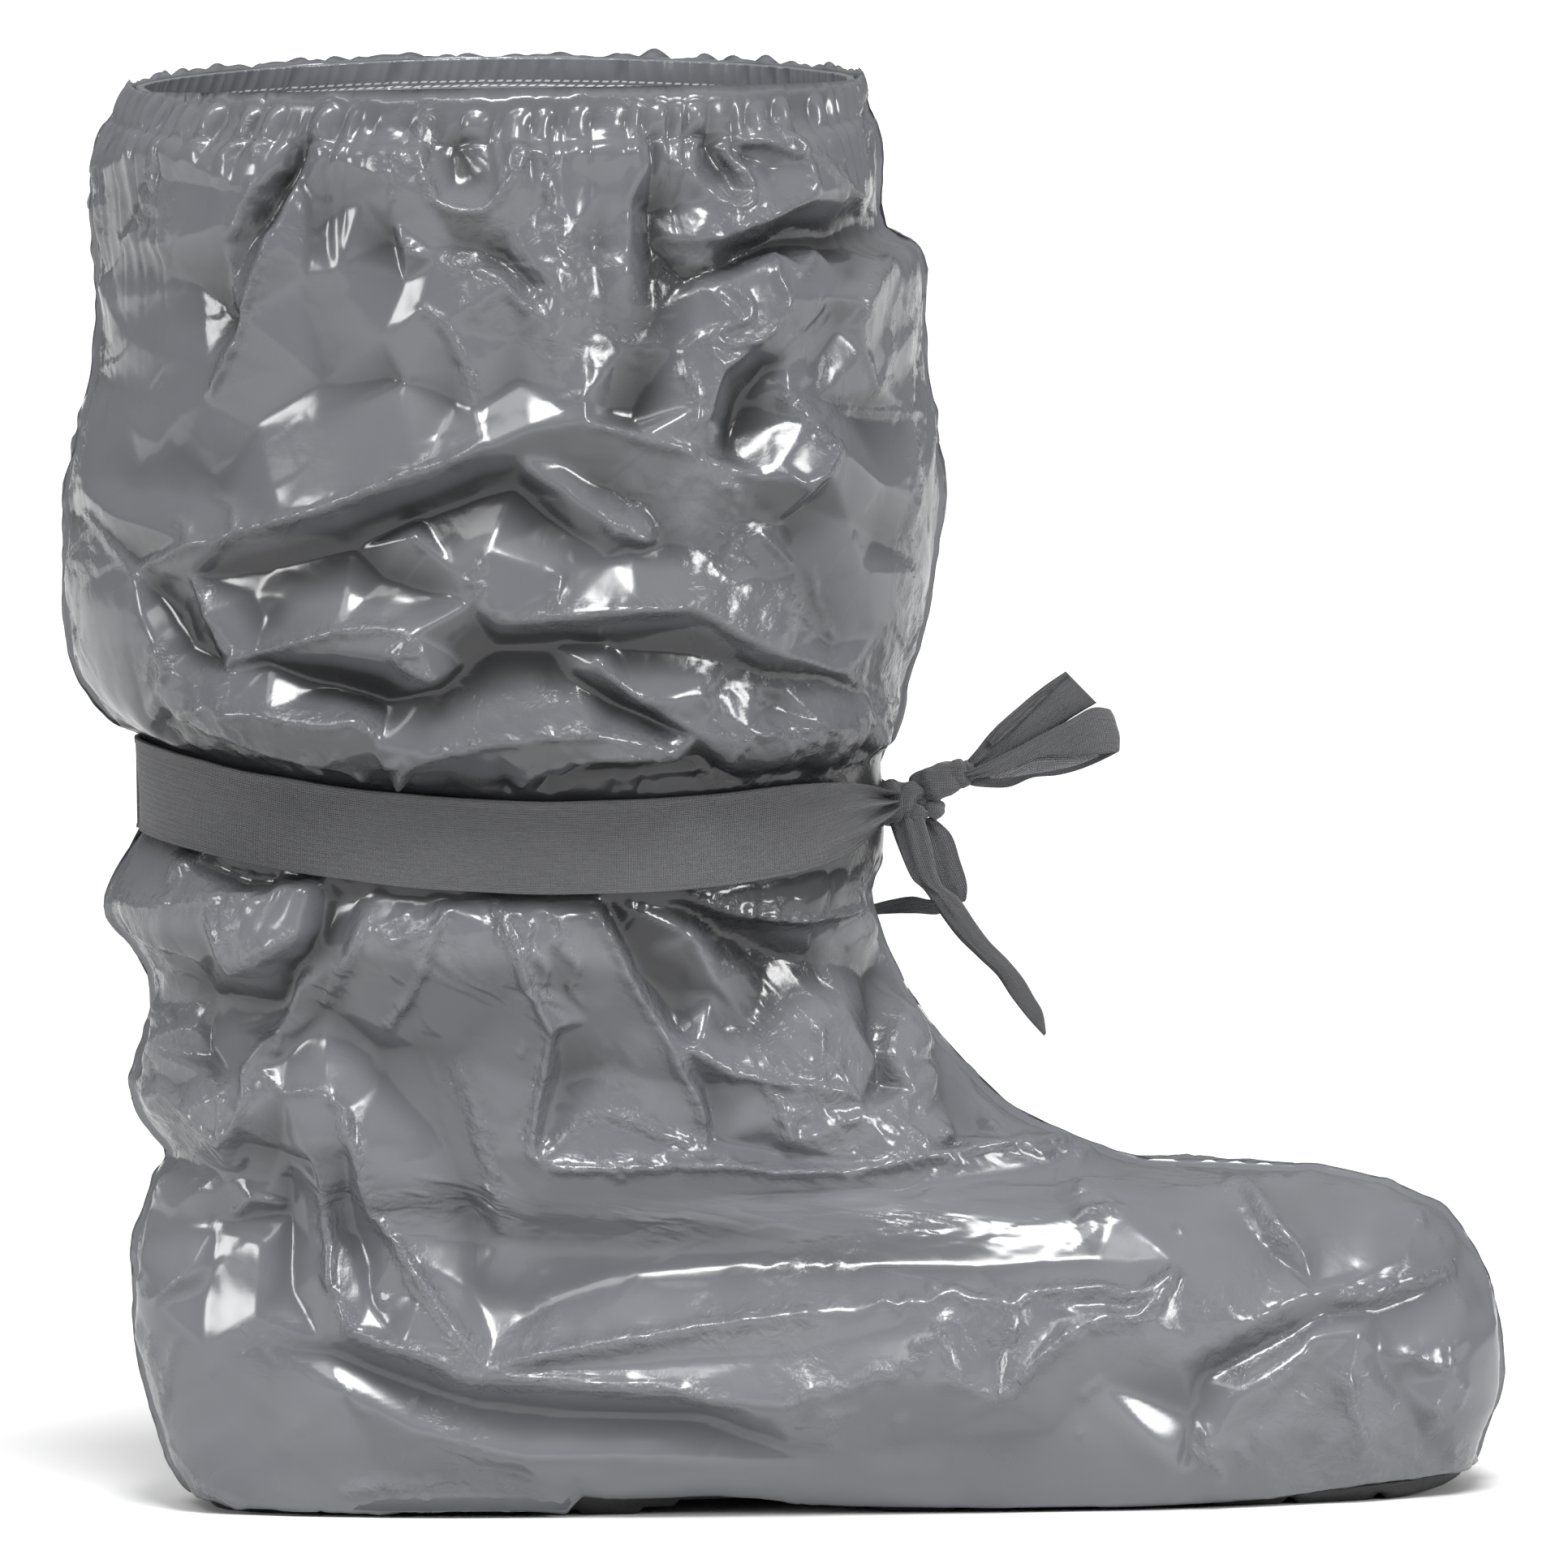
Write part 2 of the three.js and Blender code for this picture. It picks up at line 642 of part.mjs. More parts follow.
function toSolid(geometry) {
  const bare = geometry.clone();
  bare.deleteAttribute('normal');
  bare.deleteAttribute('uv');
  const merged = mergeVertices(bare, 1e-4);
  const index = Uint32Array.from(merged.index.array);
  const positions = Float32Array.from(merged.attributes.position.array);
  return new wasm.Manifold(new wasm.Mesh({ numProp: 3, vertProperties: positions, triVerts: index }));
}

function toGeometry(solid) {
  const mesh = solid.getMesh();
  const geometry = new THREE.BufferGeometry();
  geometry.setAttribute('position', new THREE.BufferAttribute(Float32Array.from(mesh.vertProperties), 3));
  geometry.setIndex(new THREE.BufferAttribute(Uint32Array.from(mesh.triVerts), 1));
  geometry.computeVertexNormals();
  return geometry;
}

// Block under the arch with the ragged steps of the heel's breast.
function archBlock() {
  const corners = archSteps.map((step) => new THREE.Vector2(along(step.station), step.up * archRise));
  const outline = new THREE.Shape(corners);
  const block = new THREE.ExtrudeGeometry(outline, { depth: 2 * ballWidth, bevelEnabled: false });
  block.rotateX(Math.PI / 2);
  block.translate(0, ballWidth, 0);
  return toSolid(block);
}

function grooveBlock(groove) {
  const depth = groove.deep * grooveDepth;
  const block = new THREE.BoxGeometry(grooveWidth, 2 * ballWidth, 2 * depth);
  const x = along(groove.station);
  block.translate(x, 0, springAt(x));
  return toSolid(block);
}

function soleGeometry() {
  let solid = toSolid(solePlate()).subtract(archBlock());
  for (const groove of grooves) {
    solid = solid.subtract(grooveBlock(groove));
  }
  return toGeometry(solid);
}

// Ribbon of the knot: points of its middle line from the knot's centre as shares of knotSize, its width
// there as a share of tieWidth, and the lean of that width out of the upright plane, in degrees.
const ribbonColumns = ['x', 'y', 'z', 'wide', 'lean'];
const upperEnd = table(ribbonColumns, [
  [1.6, -0.15, 0.82, 0.18, 0],
  [2.2, -0.2, 1.29, 0.24, 0],
  [3, -0.25, 1.93, 0.34, 12],
  [3.8, -0.25, 2.48, 0.42, 12],
  [4.63, -0.2, 2.91, 0.496, 8],
]);
const upperLoop = table(ribbonColumns, [
  [1.54, -0.42, 0.42, 0.16, 0],
  [2.4, -0.52, 0.85, 0.2, 0],
  [3.3, -0.58, 1.25, 0.28, 0],
  [4.3, -0.56, 1.57, 0.42, 0],
  [5.12, -0.44, 1.75, 0.52, 0],
  [5.36, -0.05, 1.77, 0.536, 0],
  [5, 0.26, 1.55, 0.504, 0],
  [4.2, 0.34, 1.19, 0.38, 0],
  [3.2, 0.3, 0.85, 0.28, 0],
  [2.3, 0.22, 0.61, 0.22, 0],
  [1.6, 0.16, 0.47, 0.16, 0],
]);
const lowerTail = table(ribbonColumns, [
  [0.04, -0.24, -0.69, 0.32, 0],
  [0.16, -0.3, -1.28, 0.36, 10],
  [0.44, -0.34, -2.12, 0.32, 10],
  [0.92, -0.36, -2.93, 0.296, 10],
  [1.54, -0.36, -3.61, 0.276, 8],
  [2.09, -0.34, -4.17, 0.26, 6],
  [2.6, -0.32, -4.75, 0.264, 4],
  [3.02, -0.3, -5.43, 0.272, 0],
  [3.44, -0.28, -6.23, 0.056, 0],
]);
const lowerLoop = table(ribbonColumns, [
  [0.68, 0.12, -0.56, 0.2, 0],
  [0.9, 0.1, -1.21, 0.24, 0],
  [1.12, 0.06, -1.83, 0.26, 0],
  [1.28, 0.04, -2.41, 0.24, 0],
  [1.32, 0.16, -2.71, 0.2, 0],
  [1.16, 0.36, -2.43, 0.18, 0],
  [0.84, 0.46, -1.77, 0.18, 0],
  [0.6, 0.42, -0.72, 0.16, 0],
]);
const farEnd = table(ribbonColumns, [
  [0.16, 0.435, -0.44, 0.18, 0],
  [0.58, 0.82, -1.67, 0.2, 0],
  [0.84, 0.96, -2.53, 0.2, 0],
  [0.5, 1.26, -2.83, 0.176, 0],
  [-0.06, 1.68, -2.79, 0.176, 0],
  [-0.74, 2.4, -3.11, 0.144, 0],
  [-1.36, 3.3, -3.33, 0.12, 0],
]);

// Closed strip of a ribbon, four corners to a row, with flat ends. Its width starts upright and turns no more
// than the route does.
function ribbonGeometry(rows) {
  const points = rows.map((row) => new THREE.Vector3(row.x, row.y, row.z).multiplyScalar(knotSize));
  const curve = new THREE.CatmullRomCurve3(points, false, 'centripetal');
  let upright = curve.getTangent(0).cross(new THREE.Vector3(0, 1, 0));
  const corners = rows.map((row, i) => {
    const tangent = curve.getTangent(i / (rows.length - 1));
    upright = upright.clone().projectOnPlane(tangent).normalize();
    const facing = upright.clone().cross(tangent);
    const lean = THREE.MathUtils.degToRad(row.lean);
    const across = upright.clone().multiplyScalar(Math.cos(lean)).addScaledVector(facing, Math.sin(lean));
    const through = across.clone().cross(tangent).normalize();
    const corner = (u, v) => points[i].clone()
      .addScaledVector(across, u * row.wide * tieWidth / 2)
      .addScaledVector(through, v * ribbonThickness / 2);
    return [corner(1, -1), corner(-1, -1), corner(-1, 1), corner(1, 1)];
  });
  const faces = [];
  for (let r = 0; r + 1 < corners.length; r += 1) {
    const [a, b, c, d] = corners[r];
    const [e, f, g, h] = corners[r + 1];
    faces.push([a, b, f], [a, f, e], [b, c, g], [b, g, f], [c, d, g], [d, h, g], [d, a, e], [d, e, h]);
  }
  const [a, b, c, d] = corners[0];
  const [e, f, g, h] = corners[corners.length - 1];
  faces.push([a, d, c], [a, c, b], [e, f, g], [e, g, h]);
  return facesToGeometry(faces);
}

// Turns of the knot: centre and half sizes as shares of knotSize, rise is the slope in degrees.
const knotTurns = table(['x', 'y', 'z', 'long', 'wide', 'tall', 'rise'], [
  [0, -0.05, -0.05, 0.5, 0.54, 0.58, 20],
  [0.92, -0.05, 0.57, 0.66, 0.42, 0.4, 24],
  [0.74, 0.1, -0.11, 0.34, 0.34, 0.38, 60],
  [0.08, -0.16, 0.29, 0.46, 0.34, 0.26, -8],
]);

function knotGeometry() {
  let solid = null;
  for (const turn of knotTurns) {
    const lump = new THREE.SphereGeometry(knotSize, facets.sides, facets.rings);
    lump.scale(turn.long, turn.wide, turn.tall);
    lump.rotateY(-THREE.MathUtils.degToRad(turn.rise));
    lump.translate(turn.x * knotSize, turn.y * knotSize, turn.z * knotSize);
    const piece = toSolid(lump);
    solid = solid === null ? piece : solid.add(piece);
  }
  return toGeometry(solid);
}

const film = new THREE.MeshStandardMaterial({ color: 0x74777b, roughness: 0.32, metalness: 0 });
const rubber = new THREE.MeshStandardMaterial({ color: 0x17181a, roughness: 0.85, metalness: 0 });
const ribbon = new THREE.MeshStandardMaterial({ color: 0x5a5c60, roughness: 0.75, metalness: 0 });

const overshoe = new THREE.Group();
const knot = new THREE.Group();
const tieFront = shaftCentre + tieShape.front * ankleLength + tieGap + tieThickness;
knot.position.set(tieFront + gap + knotSize / 2, 0, tieFrontHeight);
overshoe.add(knot);

function addPart(group, name, geometry, material) {
  if (!geometry.attributes.normal) {
    geometry.computeVertexNormals();
  }
  const mesh = new THREE.Mesh(geometry, material);
  mesh.name = name;
  group.add(mesh);
}

addPart(overshoe, 'upper', upperGeometry(), film);
addPart(overshoe, 'sole', soleGeometry(), rubber);
addPart(overshoe, 'collar_casing', casingGeometry(), film);
addPart(overshoe, 'ankle_tie', tieGeometry(), ribbon);
addPart(knot, 'tie_knot', knotGeometry(), ribbon);
addPart(knot, 'tie_upper_end', ribbonGeometry(upperEnd), ribbon);
addPart(knot, 'tie_upper_loop', ribbonGeometry(upperLoop), ribbon);
addPart(knot, 'tie_lower_tail', ribbonGeometry(lowerTail), ribbon);
addPart(knot, 'tie_lower_loop', ribbonGeometry(lowerLoop), ribbon);
addPart(knot, 'tie_far_end', ribbonGeometry(farEnd), ribbon);

export default overshoe;
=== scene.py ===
"""Chemical protective overshoe: crumpled glossy film on a black sheet sole, with a knotted ribbon tie."""
import math

import bmesh
import bpy
import numpy as np
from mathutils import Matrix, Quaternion, Vector, geometry


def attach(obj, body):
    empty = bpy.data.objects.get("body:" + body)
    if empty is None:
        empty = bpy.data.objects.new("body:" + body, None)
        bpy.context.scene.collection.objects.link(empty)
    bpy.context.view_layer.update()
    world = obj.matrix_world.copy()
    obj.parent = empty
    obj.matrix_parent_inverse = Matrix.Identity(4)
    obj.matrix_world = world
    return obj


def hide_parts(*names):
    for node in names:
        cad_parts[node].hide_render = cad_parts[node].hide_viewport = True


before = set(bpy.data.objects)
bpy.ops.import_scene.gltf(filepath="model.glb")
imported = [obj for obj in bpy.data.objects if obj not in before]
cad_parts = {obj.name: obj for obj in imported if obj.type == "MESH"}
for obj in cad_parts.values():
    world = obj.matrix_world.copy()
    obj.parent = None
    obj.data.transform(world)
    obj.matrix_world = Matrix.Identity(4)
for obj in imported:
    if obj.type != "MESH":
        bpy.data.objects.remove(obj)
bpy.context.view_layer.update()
MM = 0.001

# Camera: far away with a long lens. What it looks at and how far off, in metres, its azimuth, elevation and
# roll in degrees, and its lens and sensor in millimetres.
CAMERA_TARGET = Vector((0.101, 0, 0.1894))
CAMERA_AWAY = 6
CAMERA_AZIMUTH = -2
CAMERA_ELEVATION = 4.5
CAMERA_ROLL = -0.7
CAMERA_LENS = 520
CAMERA_SENSOR = 36
CAMERA_CLIP = 60


def direction(azimuth, elevation):
    """Unit vector towards an azimuth, from the near side towards the toe, and an elevation, in degrees."""
    turn = math.radians(azimuth)
    rise = math.radians(elevation)
    return Vector((math.sin(turn) * math.cos(rise), -math.cos(turn) * math.cos(rise), math.sin(rise)))


def add_camera():
    back = direction(CAMERA_AZIMUTH, CAMERA_ELEVATION)
    data = bpy.data.cameras.new("camera")
    data.sensor_width = CAMERA_SENSOR
    data.lens = CAMERA_LENS
    data.clip_end = CAMERA_CLIP
    camera = bpy.data.objects.new("camera", data)
    camera.location = CAMERA_TARGET + CAMERA_AWAY * back
    camera.rotation_mode = "QUATERNION"
    roll = Quaternion((0, 0, 1), math.radians(CAMERA_ROLL))
    camera.rotation_quaternion = (-back).to_track_quat("-Z", "Y") @ roll
    bpy.context.collection.objects.link(camera)
    bpy.context.scene.camera = camera


add_camera()


# Sizes of the shoe in millimetres, as the solids have them.
FOOT_LONG = 361
HEEL_BACK = -72
BALL_WIDE = 126
FOOT_HIGH = 91
BOOT_HIGH = 380
SHAFT_LONG = 231
SHAFT_WIDE = 194
SHAFT_MID = 27
TIE_BACK = 192.5
TIE_FRONT = 184.7
TIE_SAG = 8.6
TIE_WIDE = 25
TIE_GAP = 0.45
TIE_THICK = 1.1
ANKLE_LONG = 198
ANKLE_WIDE = 152
CASING_HIGH = 9
RIM_HIGH = 376.8
SEAM_RISE = 1.6
SOLE_THICK = 3.2
HEEL_THICK = 6.2
ARCH_RISE = 4.2
TOE_SPRING = 4
MARGIN_WIDE = 8
MARGIN_CURL = 2.4
GAP = 0.3
KNOT = Vector((133.84, 0, 184.7))

# Level loops of the film. Foot: back, its height, front, its height, half width, sag, lead, fullness and
# lift, as shares of the foot's length, height and ball width.
FOOT = [
    (.022, .115, .988, .12, .452, 0, .1, .6, .8),
    (.015, .235, .998, .235, .482, 0, .1, .6, .5),
    (.005, .385, 1, .37, .496, 0, .1, .62, .2),
    (-.001, .525, .996, .52, .49, .01, .1, .65, 0),
    (0, .66, .988, .635, .468, .02, .08, .68, 0),
    (.001, .78, .969, .75, .445, .05, .04, .72, 0),
    (.009, .89, .95, .83, .43, .09, 0, .76, 0),
    (.017, .96, .908, .893, .425, .115, -.06, .8, 0),
    (.026, 1.033, .86, .932, .425, .13, -.14, .84, 0),
    (.014, 1.104, .79, .95, .43, .125, -.2, .88, 0),
    (.003, 1.176, .728, .963, .436, .11, -.22, .92, 0),
]
# Instep and ankle: back, its height, front, its height, half width, sag, lead and fullness, as shares of
# the ankle's length, of the way from the foot to the tie, of the ankle's width and of the foot's height.
ANKLE = [
    (-.503, .253, .732, .05, .37, .07, -.18, .94),
    (-.493, .325, .657, .154, .38, .03, -.12, .96),
    (-.48, .404, .606, .284, .39, .02, -.06, .97),
    (-.472, .472, .569, .397, .41, .02, 0, .97),
    (-.475, .562, .523, .561, .434, .033, 0, .97),
    (-.495, .657, .5, .719, .465, .055, 0, .97),
    (-.527, .787, .482, .852, .496, .085, 0, .96),
]
# Shaft: back, its height, front, its height, half width, sag and fullness, as shares of the shaft's length,
# of the way from the tie to the rim and of the shaft's width.
SHAFT = [
    (-.45, .034, .452, .055, .437, .082, .98),
    (-.481, .089, .461, .116, .467, .05, .96),
    (-.496, .172, .481, .197, .49, .02, .95),
    (-.498, .263, .496, .295, .5, 0, .95),
    (-.493, .365, .502, .377, .5, 0, .95),
    (-.477, .469, .495, .481, .496, 0, .95),
    (-.461, .549, .485, .552, .492, 0, .95),
    (-.456, .623, .483, .623, .49, 0, .95),
    (-.457, .697, .483, .721, .488, 0, .95),
    (-.46, .771, .439, .765, .482, 0, .96),
    (-.457, .863, .434, .86, .472, -.005, .97),
]
# Seat of the sole: station along the foot, how far it is heel, and how far the arch lifts it.
SEAT = [(0, 1, 0), (.35, 1, 0), (.445, .7, .4), (.55, 0, 0), (1, 0, 0)]


def lerp(a, b, t):
    return a + (b - a) * t


def smooth(x, low, high):
    t = np.clip((x - low) / (high - low), 0, 1)
    return t * t * (3 - 2 * t)


def foot_rows():
    rows = []
    for back, bz, front, fz, half, sag, lead, full, lift in FOOT:
        rows.append((HEEL_BACK + back * FOOT_LONG, bz * FOOT_HIGH, HEEL_BACK + front * FOOT_LONG,
                     fz * FOOT_HIGH, half * BALL_WIDE, sag * FOOT_HIGH, lead, full, lift))
    for back, bz, front, fz, half, sag, lead, full in ANKLE:
        rows.append((SHAFT_MID + back * ANKLE_LONG, lerp(FOOT_HIGH, TIE_BACK - TIE_WIDE / 2, bz),
                     SHAFT_MID + front * ANKLE_LONG, lerp(FOOT_HIGH, TIE_FRONT - TIE_WIDE / 2, fz),
                     half * ANKLE_WIDE, sag * FOOT_HIGH, lead, full, 0))
    return rows


def tie_row(up):
    return (SHAFT_MID - .482 * ANKLE_LONG, TIE_BACK + up, SHAFT_MID + .505 * ANKLE_LONG, TIE_FRONT + up,
            ANKLE_WIDE / 2, TIE_SAG, 0, .97, 0)


def shaft_rows():
    rows = []
    for back, bz, front, fz, half, sag, full in SHAFT:
        rows.append((SHAFT_MID + back * SHAFT_LONG, lerp(TIE_BACK + TIE_WIDE / 2, BOOT_HIGH, bz),
                     SHAFT_MID + front * SHAFT_LONG, lerp(TIE_FRONT + TIE_WIDE / 2, BOOT_HIGH, fz),
                     half * SHAFT_WIDE, sag * FOOT_HIGH, 0, full, 0))
    return rows


def collar_row(below):
    return (SHAFT_MID - .42 * SHAFT_LONG - .45 * below, RIM_HIGH - below,
            SHAFT_MID + .42 * SHAFT_LONG + .1 * below, RIM_HIGH - below,
            .455 * SHAFT_WIDE + .1 * below, -2.4, 0, .98, 0)


EDGE_ROW = (HEEL_BACK + .042 * FOOT_LONG, 0, HEEL_BACK + .976 * FOOT_LONG, 0,
            .405 * BALL_WIDE, 0, .1, .6, 0)


def seat_height(x):
    share = (x - HEEL_BACK) / FOOT_LONG
    heel = np.ones_like(share)
    rise = np.zeros_like(share)
    for (s0, h0, r0), (s1, h1, r1) in zip(SEAT, SEAT[1:]):
        inside = (share >= s0) & (share <= s1)
        part = smooth(share, s0, s1)
        heel = np.where(inside, lerp(h0, h1, part), heel)
        rise = np.where(inside, lerp(r0, r1, part), rise)
    return lerp(SOLE_THICK, HEEL_THICK, heel) + ARCH_RISE * rise + spring_at(x)


def spring_at(x):
    start = HEEL_BACK + .9 * FOOT_LONG
    return TOE_SPRING * np.clip((x - start) / (EDGE_ROW[2] - start), 0, None) ** 2


def level_points(row, angle, waist=0):
    """Points of one level at angles from the front."""
    bx, bz, fx, fz, half, sag, lead, full, lift = row
    side = np.sin(angle)
    front = (1 + np.cos(angle)) / 2
    narrow = waist * np.exp(-((np.cos(angle) + .12) / .32) ** 2)
    reach = np.sign(side) * np.abs(side) ** full * (1 + lead * np.cos(angle)) * (1 - narrow)
    points = np.stack([lerp(bx, fx, front), half * reach, lerp(bz, fz, front) - sag * side ** 2], axis=-1)
    points[..., 2] += lift * (seat_height(points[..., 0]) - SOLE_THICK)
    return points


def outward(row, angle, waist=0):
    before = level_points(row, angle - .02, waist)
    after = level_points(row, angle + .02, waist)
    out = np.stack([after[..., 1] - before[..., 1], before[..., 0] - after[..., 0], 0 * angle], axis=-1)
    return out / np.linalg.norm(out, axis=-1, keepdims=True)


def outline(angle, inset):
    """The sole's outline moved in from its edge, at the height of the seat with its curled margin."""
    points = level_points(EDGE_ROW, angle, .09) - inset * outward(EDGE_ROW, angle, .09)
    curl = MARGIN_CURL * max(0, 1 - inset / MARGIN_WIDE) ** 2
    points[..., 2] = seat_height(points[..., 0]) + curl
    return points


def even_angles(make, start, stop, columns):
    """Angles at even steps of length along a loop."""
    fine = start + (stop - start) * (1 - np.cos(np.linspace(0, np.pi, 2401))) / 2
    points = make(fine)
    long = np.concatenate([[0], np.cumsum(np.linalg.norm(np.diff(points, axis=0), axis=1))])
    return np.interp(np.linspace(0, long[-1], columns + 1), long, fine)


def even_loop(make, start, stop, columns):
    return make(even_angles(make, start, stop, columns))


def between(keys, at):
    """Catmull-Rom through key loops (K, C, 3) at positions counted in keys."""
    last = len(keys) - 1
    i = np.clip(at.astype(int), 0, last - 1)
    t = (at - i).reshape(-1, *([1] * (keys.ndim - 1)))
    p0, p1, p2, p3 = keys[np.maximum(i - 1, 0)], keys[i], keys[i + 1], keys[np.minimum(i + 2, last)]
    return .5 * (2 * p1 + (p2 - p0) * t + (2 * p0 - 5 * p1 + 4 * p2 - p3) * t ** 2
                 + (3 * p1 - p0 - 3 * p2 + p3) * t ** 3)


def even_rows(keys, rows):
    """Positions in keys at nearly even steps of length up the panel."""
    fine = np.linspace(0, len(keys) - 1, 600)
    steps = np.linalg.norm(np.diff(between(keys[:, ::8], fine), axis=0), axis=2)
    step = .5 * steps.mean(axis=1) + .5 * steps.max(axis=1)
    long = np.concatenate([[0], np.cumsum(step)])
    return np.interp(np.linspace(0, long[-1], rows + 1), long, fine)


def normals_of(grid):
    across = np.gradient(grid, axis=1)
    up = np.gradient(grid, axis=0)
    out = np.cross(across, up)
    return out / np.maximum(np.linalg.norm(out, axis=2, keepdims=True), 1e-9)


# Height maps of the creases.
MAP_STEP = 0.5


def spread(values, sigma):
    """Gaussian blur of a map, by way of its frequencies."""
    high, wide = values.shape
    pad = int(4 * sigma) + 1
    full = np.pad(values, pad, mode="edge")
    fy = np.fft.fftfreq(full.shape[0])[:, None]
    fx = np.fft.rfftfreq(full.shape[1])[None, :]
    soft = np.exp(-2 * (np.pi * sigma) ** 2 * (fx ** 2 + fy ** 2))
    return np.fft.irfft2(np.fft.rfft2(full) * soft, s=full.shape)[pad:pad + high, pad:pad + wide]


def crease_map(lines, anchors, box):
    """Heights over x and z: flat facets between the listed ridges and valleys, a little softened."""
    points = []
    heights = []
    edges = []
    for line in lines:
        for k, (x, z, h) in enumerate(line):
            if k:
                edges.append((len(points) - 1, len(points)))
            points.append(Vector((x, z)))
            heights.append(h)
    for x, z in anchors:
        points.append(Vector((x, z)))
        heights.append(0)
    net, net_edges, faces, origin, *rest = geometry.delaunay_2d_cdt(points, edges, [], 0, .05)
    high = [np.mean([heights[i] for i in ids]) if ids else np.nan for ids in origin]
    around = [[] for point in net]
    for a, b in net_edges:
        around[a].append(b)
        around[b].append(a)
    for i, h in enumerate(high):
        if np.isnan(h):
            known = [high[j] for j in around[i] if not np.isnan(high[j])]
            high[i] = np.mean(known) if known else 0
    x0, z0, x1, z1 = box
    wide = int((x1 - x0) / MAP_STEP) + 1
    tall = int((z1 - z0) / MAP_STEP) + 1
    values = np.zeros((tall, wide))
    for face in faces:
        for k in range(1, len(face) - 1):
            fill_triangle(values, [net[face[i]] for i in (0, k, k + 1)],
                          [high[face[i]] for i in (0, k, k + 1)], x0, z0)
    return values


def stroke_map(strokes, box, shape):
    """Narrow folds along the listed lines: a tent across each line, that fades at its ends."""
    values = np.zeros(shape)
    for high, left, right, line in strokes:
        points = np.array(line, float)
        steps = np.linalg.norm(np.diff(points, axis=0), axis=1)
        long = steps.sum()
        reach = max(left, right) + MAP_STEP
        x0, z0 = np.floor((points.min(axis=0) - reach - box[:2]) / MAP_STEP).astype(int)
        x1, z1 = np.ceil((points.max(axis=0) + reach - box[:2]) / MAP_STEP).astype(int) + 1
        x0, x1 = np.clip((x0, x1), 0, shape[1])
        z0, z1 = np.clip((z0, z1), 0, shape[0])
        z, x = np.mgrid[z0:z1, x0:x1] * MAP_STEP
        best = np.zeros(z.shape)
        gone = 0
        for (ax, az), (bx, bz), step in zip(points, points[1:], steps):
            ux = (bx - ax) / step
            uz = (bz - az) / step
            px = x + box[0] - ax
            pz = z + box[1] - az
            along = np.clip(px * ux + pz * uz, 0, step)
            off = np.hypot(px - along * ux, pz - along * uz)
            tent = np.clip(1 - off / np.where(ux * pz - uz * px > 0, left, right), 0, 1)
            share = (gone + along) / long
            ends = np.clip(np.minimum(share, 1 - share) * 7, 0, 1) ** .6
            best = np.maximum(best, tent * ends)
            gone += step
        values[z0:z1, x0:x1] += high * best
    return values


def fill_triangle(values, corners, high, x0, z0):
    (ax, az), (bx, bz), (cx, cz) = [((p.x - x0) / MAP_STEP, (p.y - z0) / MAP_STEP) for p in corners]
    area = (bx - ax) * (cz - az) - (cx - ax) * (bz - az)
    if abs(area) < 1e-9:
        return
    low_x = max(int(math.floor(min(ax, bx, cx))), 0)
    low_z = max(int(math.floor(min(az, bz, cz))), 0)
    top_x = min(int(math.ceil(max(ax, bx, cx))) + 1, values.shape[1])
    top_z = min(int(math.ceil(max(az, bz, cz))) + 1, values.shape[0])
    if top_x <= low_x or top_z <= low_z:
        return
    z, x = np.mgrid[low_z:top_z, low_x:top_x]
    b = ((x - ax) * (cz - az) - (cx - ax) * (z - az)) / area
    c = ((bx - ax) * (z - az) - (x - ax) * (bz - az)) / area
    inside = (b >= -1e-6) & (c >= -1e-6) & (b + c <= 1 + 1e-6)
    patch = values[low_z:top_z, low_x:top_x]
    patch[inside] = (high[0] * (1 - b - c) + high[1] * b + high[2] * c)[inside]


def read_map(values, box, x, z):
    """Values of a map at points, in proportion between its cells."""
    fx = np.clip((x - box[0]) / MAP_STEP, 0, values.shape[1] - 1.001)
    fz = np.clip((z - box[1]) / MAP_STEP, 0, values.shape[0] - 1.001)
    i = fx.astype(int)
    j = fz.astype(int)
    fx = fx - i
    fz = fz - j
    return ((values[j, i] * (1 - fx) + values[j, i + 1] * fx) * (1 - fz)
            + (values[j + 1, i] * (1 - fx) + values[j + 1, i + 1] * fx) * fz)


def waves(u, v, size, seed):
    """Smooth random heights from -1 to 1 with features of a size."""
    table = np.random.default_rng(seed).uniform(-1, 1, (128, 128))
    x = u / size + 31.7
    y = v / size + 17.3
    i = np.floor(x).astype(int)
    j = np.floor(y).astype(int)
    fx = x - i
    fy = y - j
    fx = fx * fx * (3 - 2 * fx)
    fy = fy * fy * (3 - 2 * fy)
    i %= 127
    j %= 127
    return ((table[j, i] * (1 - fx) + table[j, i + 1] * fx) * (1 - fy)
            + (table[j + 1, i] * (1 - fx) + table[j + 1, i + 1] * fx) * fy)


def facets(u, v, size, turn, seed, long=1.0):
    """Random flat facets with sharp edges between them, longer along their turned second axis."""
    warp_u = u + .9 * size * waves(u, v, 2.3 * size, seed + 1)
    warp_v = v + .9 * size * waves(u, v, 2.3 * size, seed + 2)
    c = math.cos(turn)
    s = math.sin(turn)
    x = (warp_u * c + warp_v * s) / size + 41.2
    y = (-warp_u * s + warp_v * c) / (size * long) + 23.9
    x += .5 * (np.floor(y).astype(int) % 2)
    table = np.random.default_rng(seed).uniform(-1, 1, (128, 128))
    i = np.floor(x).astype(int)
    j = np.floor(y).astype(int)
    fx = x - i
    fy = y - j
    i %= 127
    j %= 127
    a = table[j, i]
    b = table[j, i + 1]
    c = table[j + 1, i]
    d = table[j + 1, i + 1]
    near = a + (b - a) * fx + (c - a) * fy
    away = d + (c - d) * (1 - fx) + (b - d) * (1 - fy)
    return np.where(fx + fy < 1, near, away)
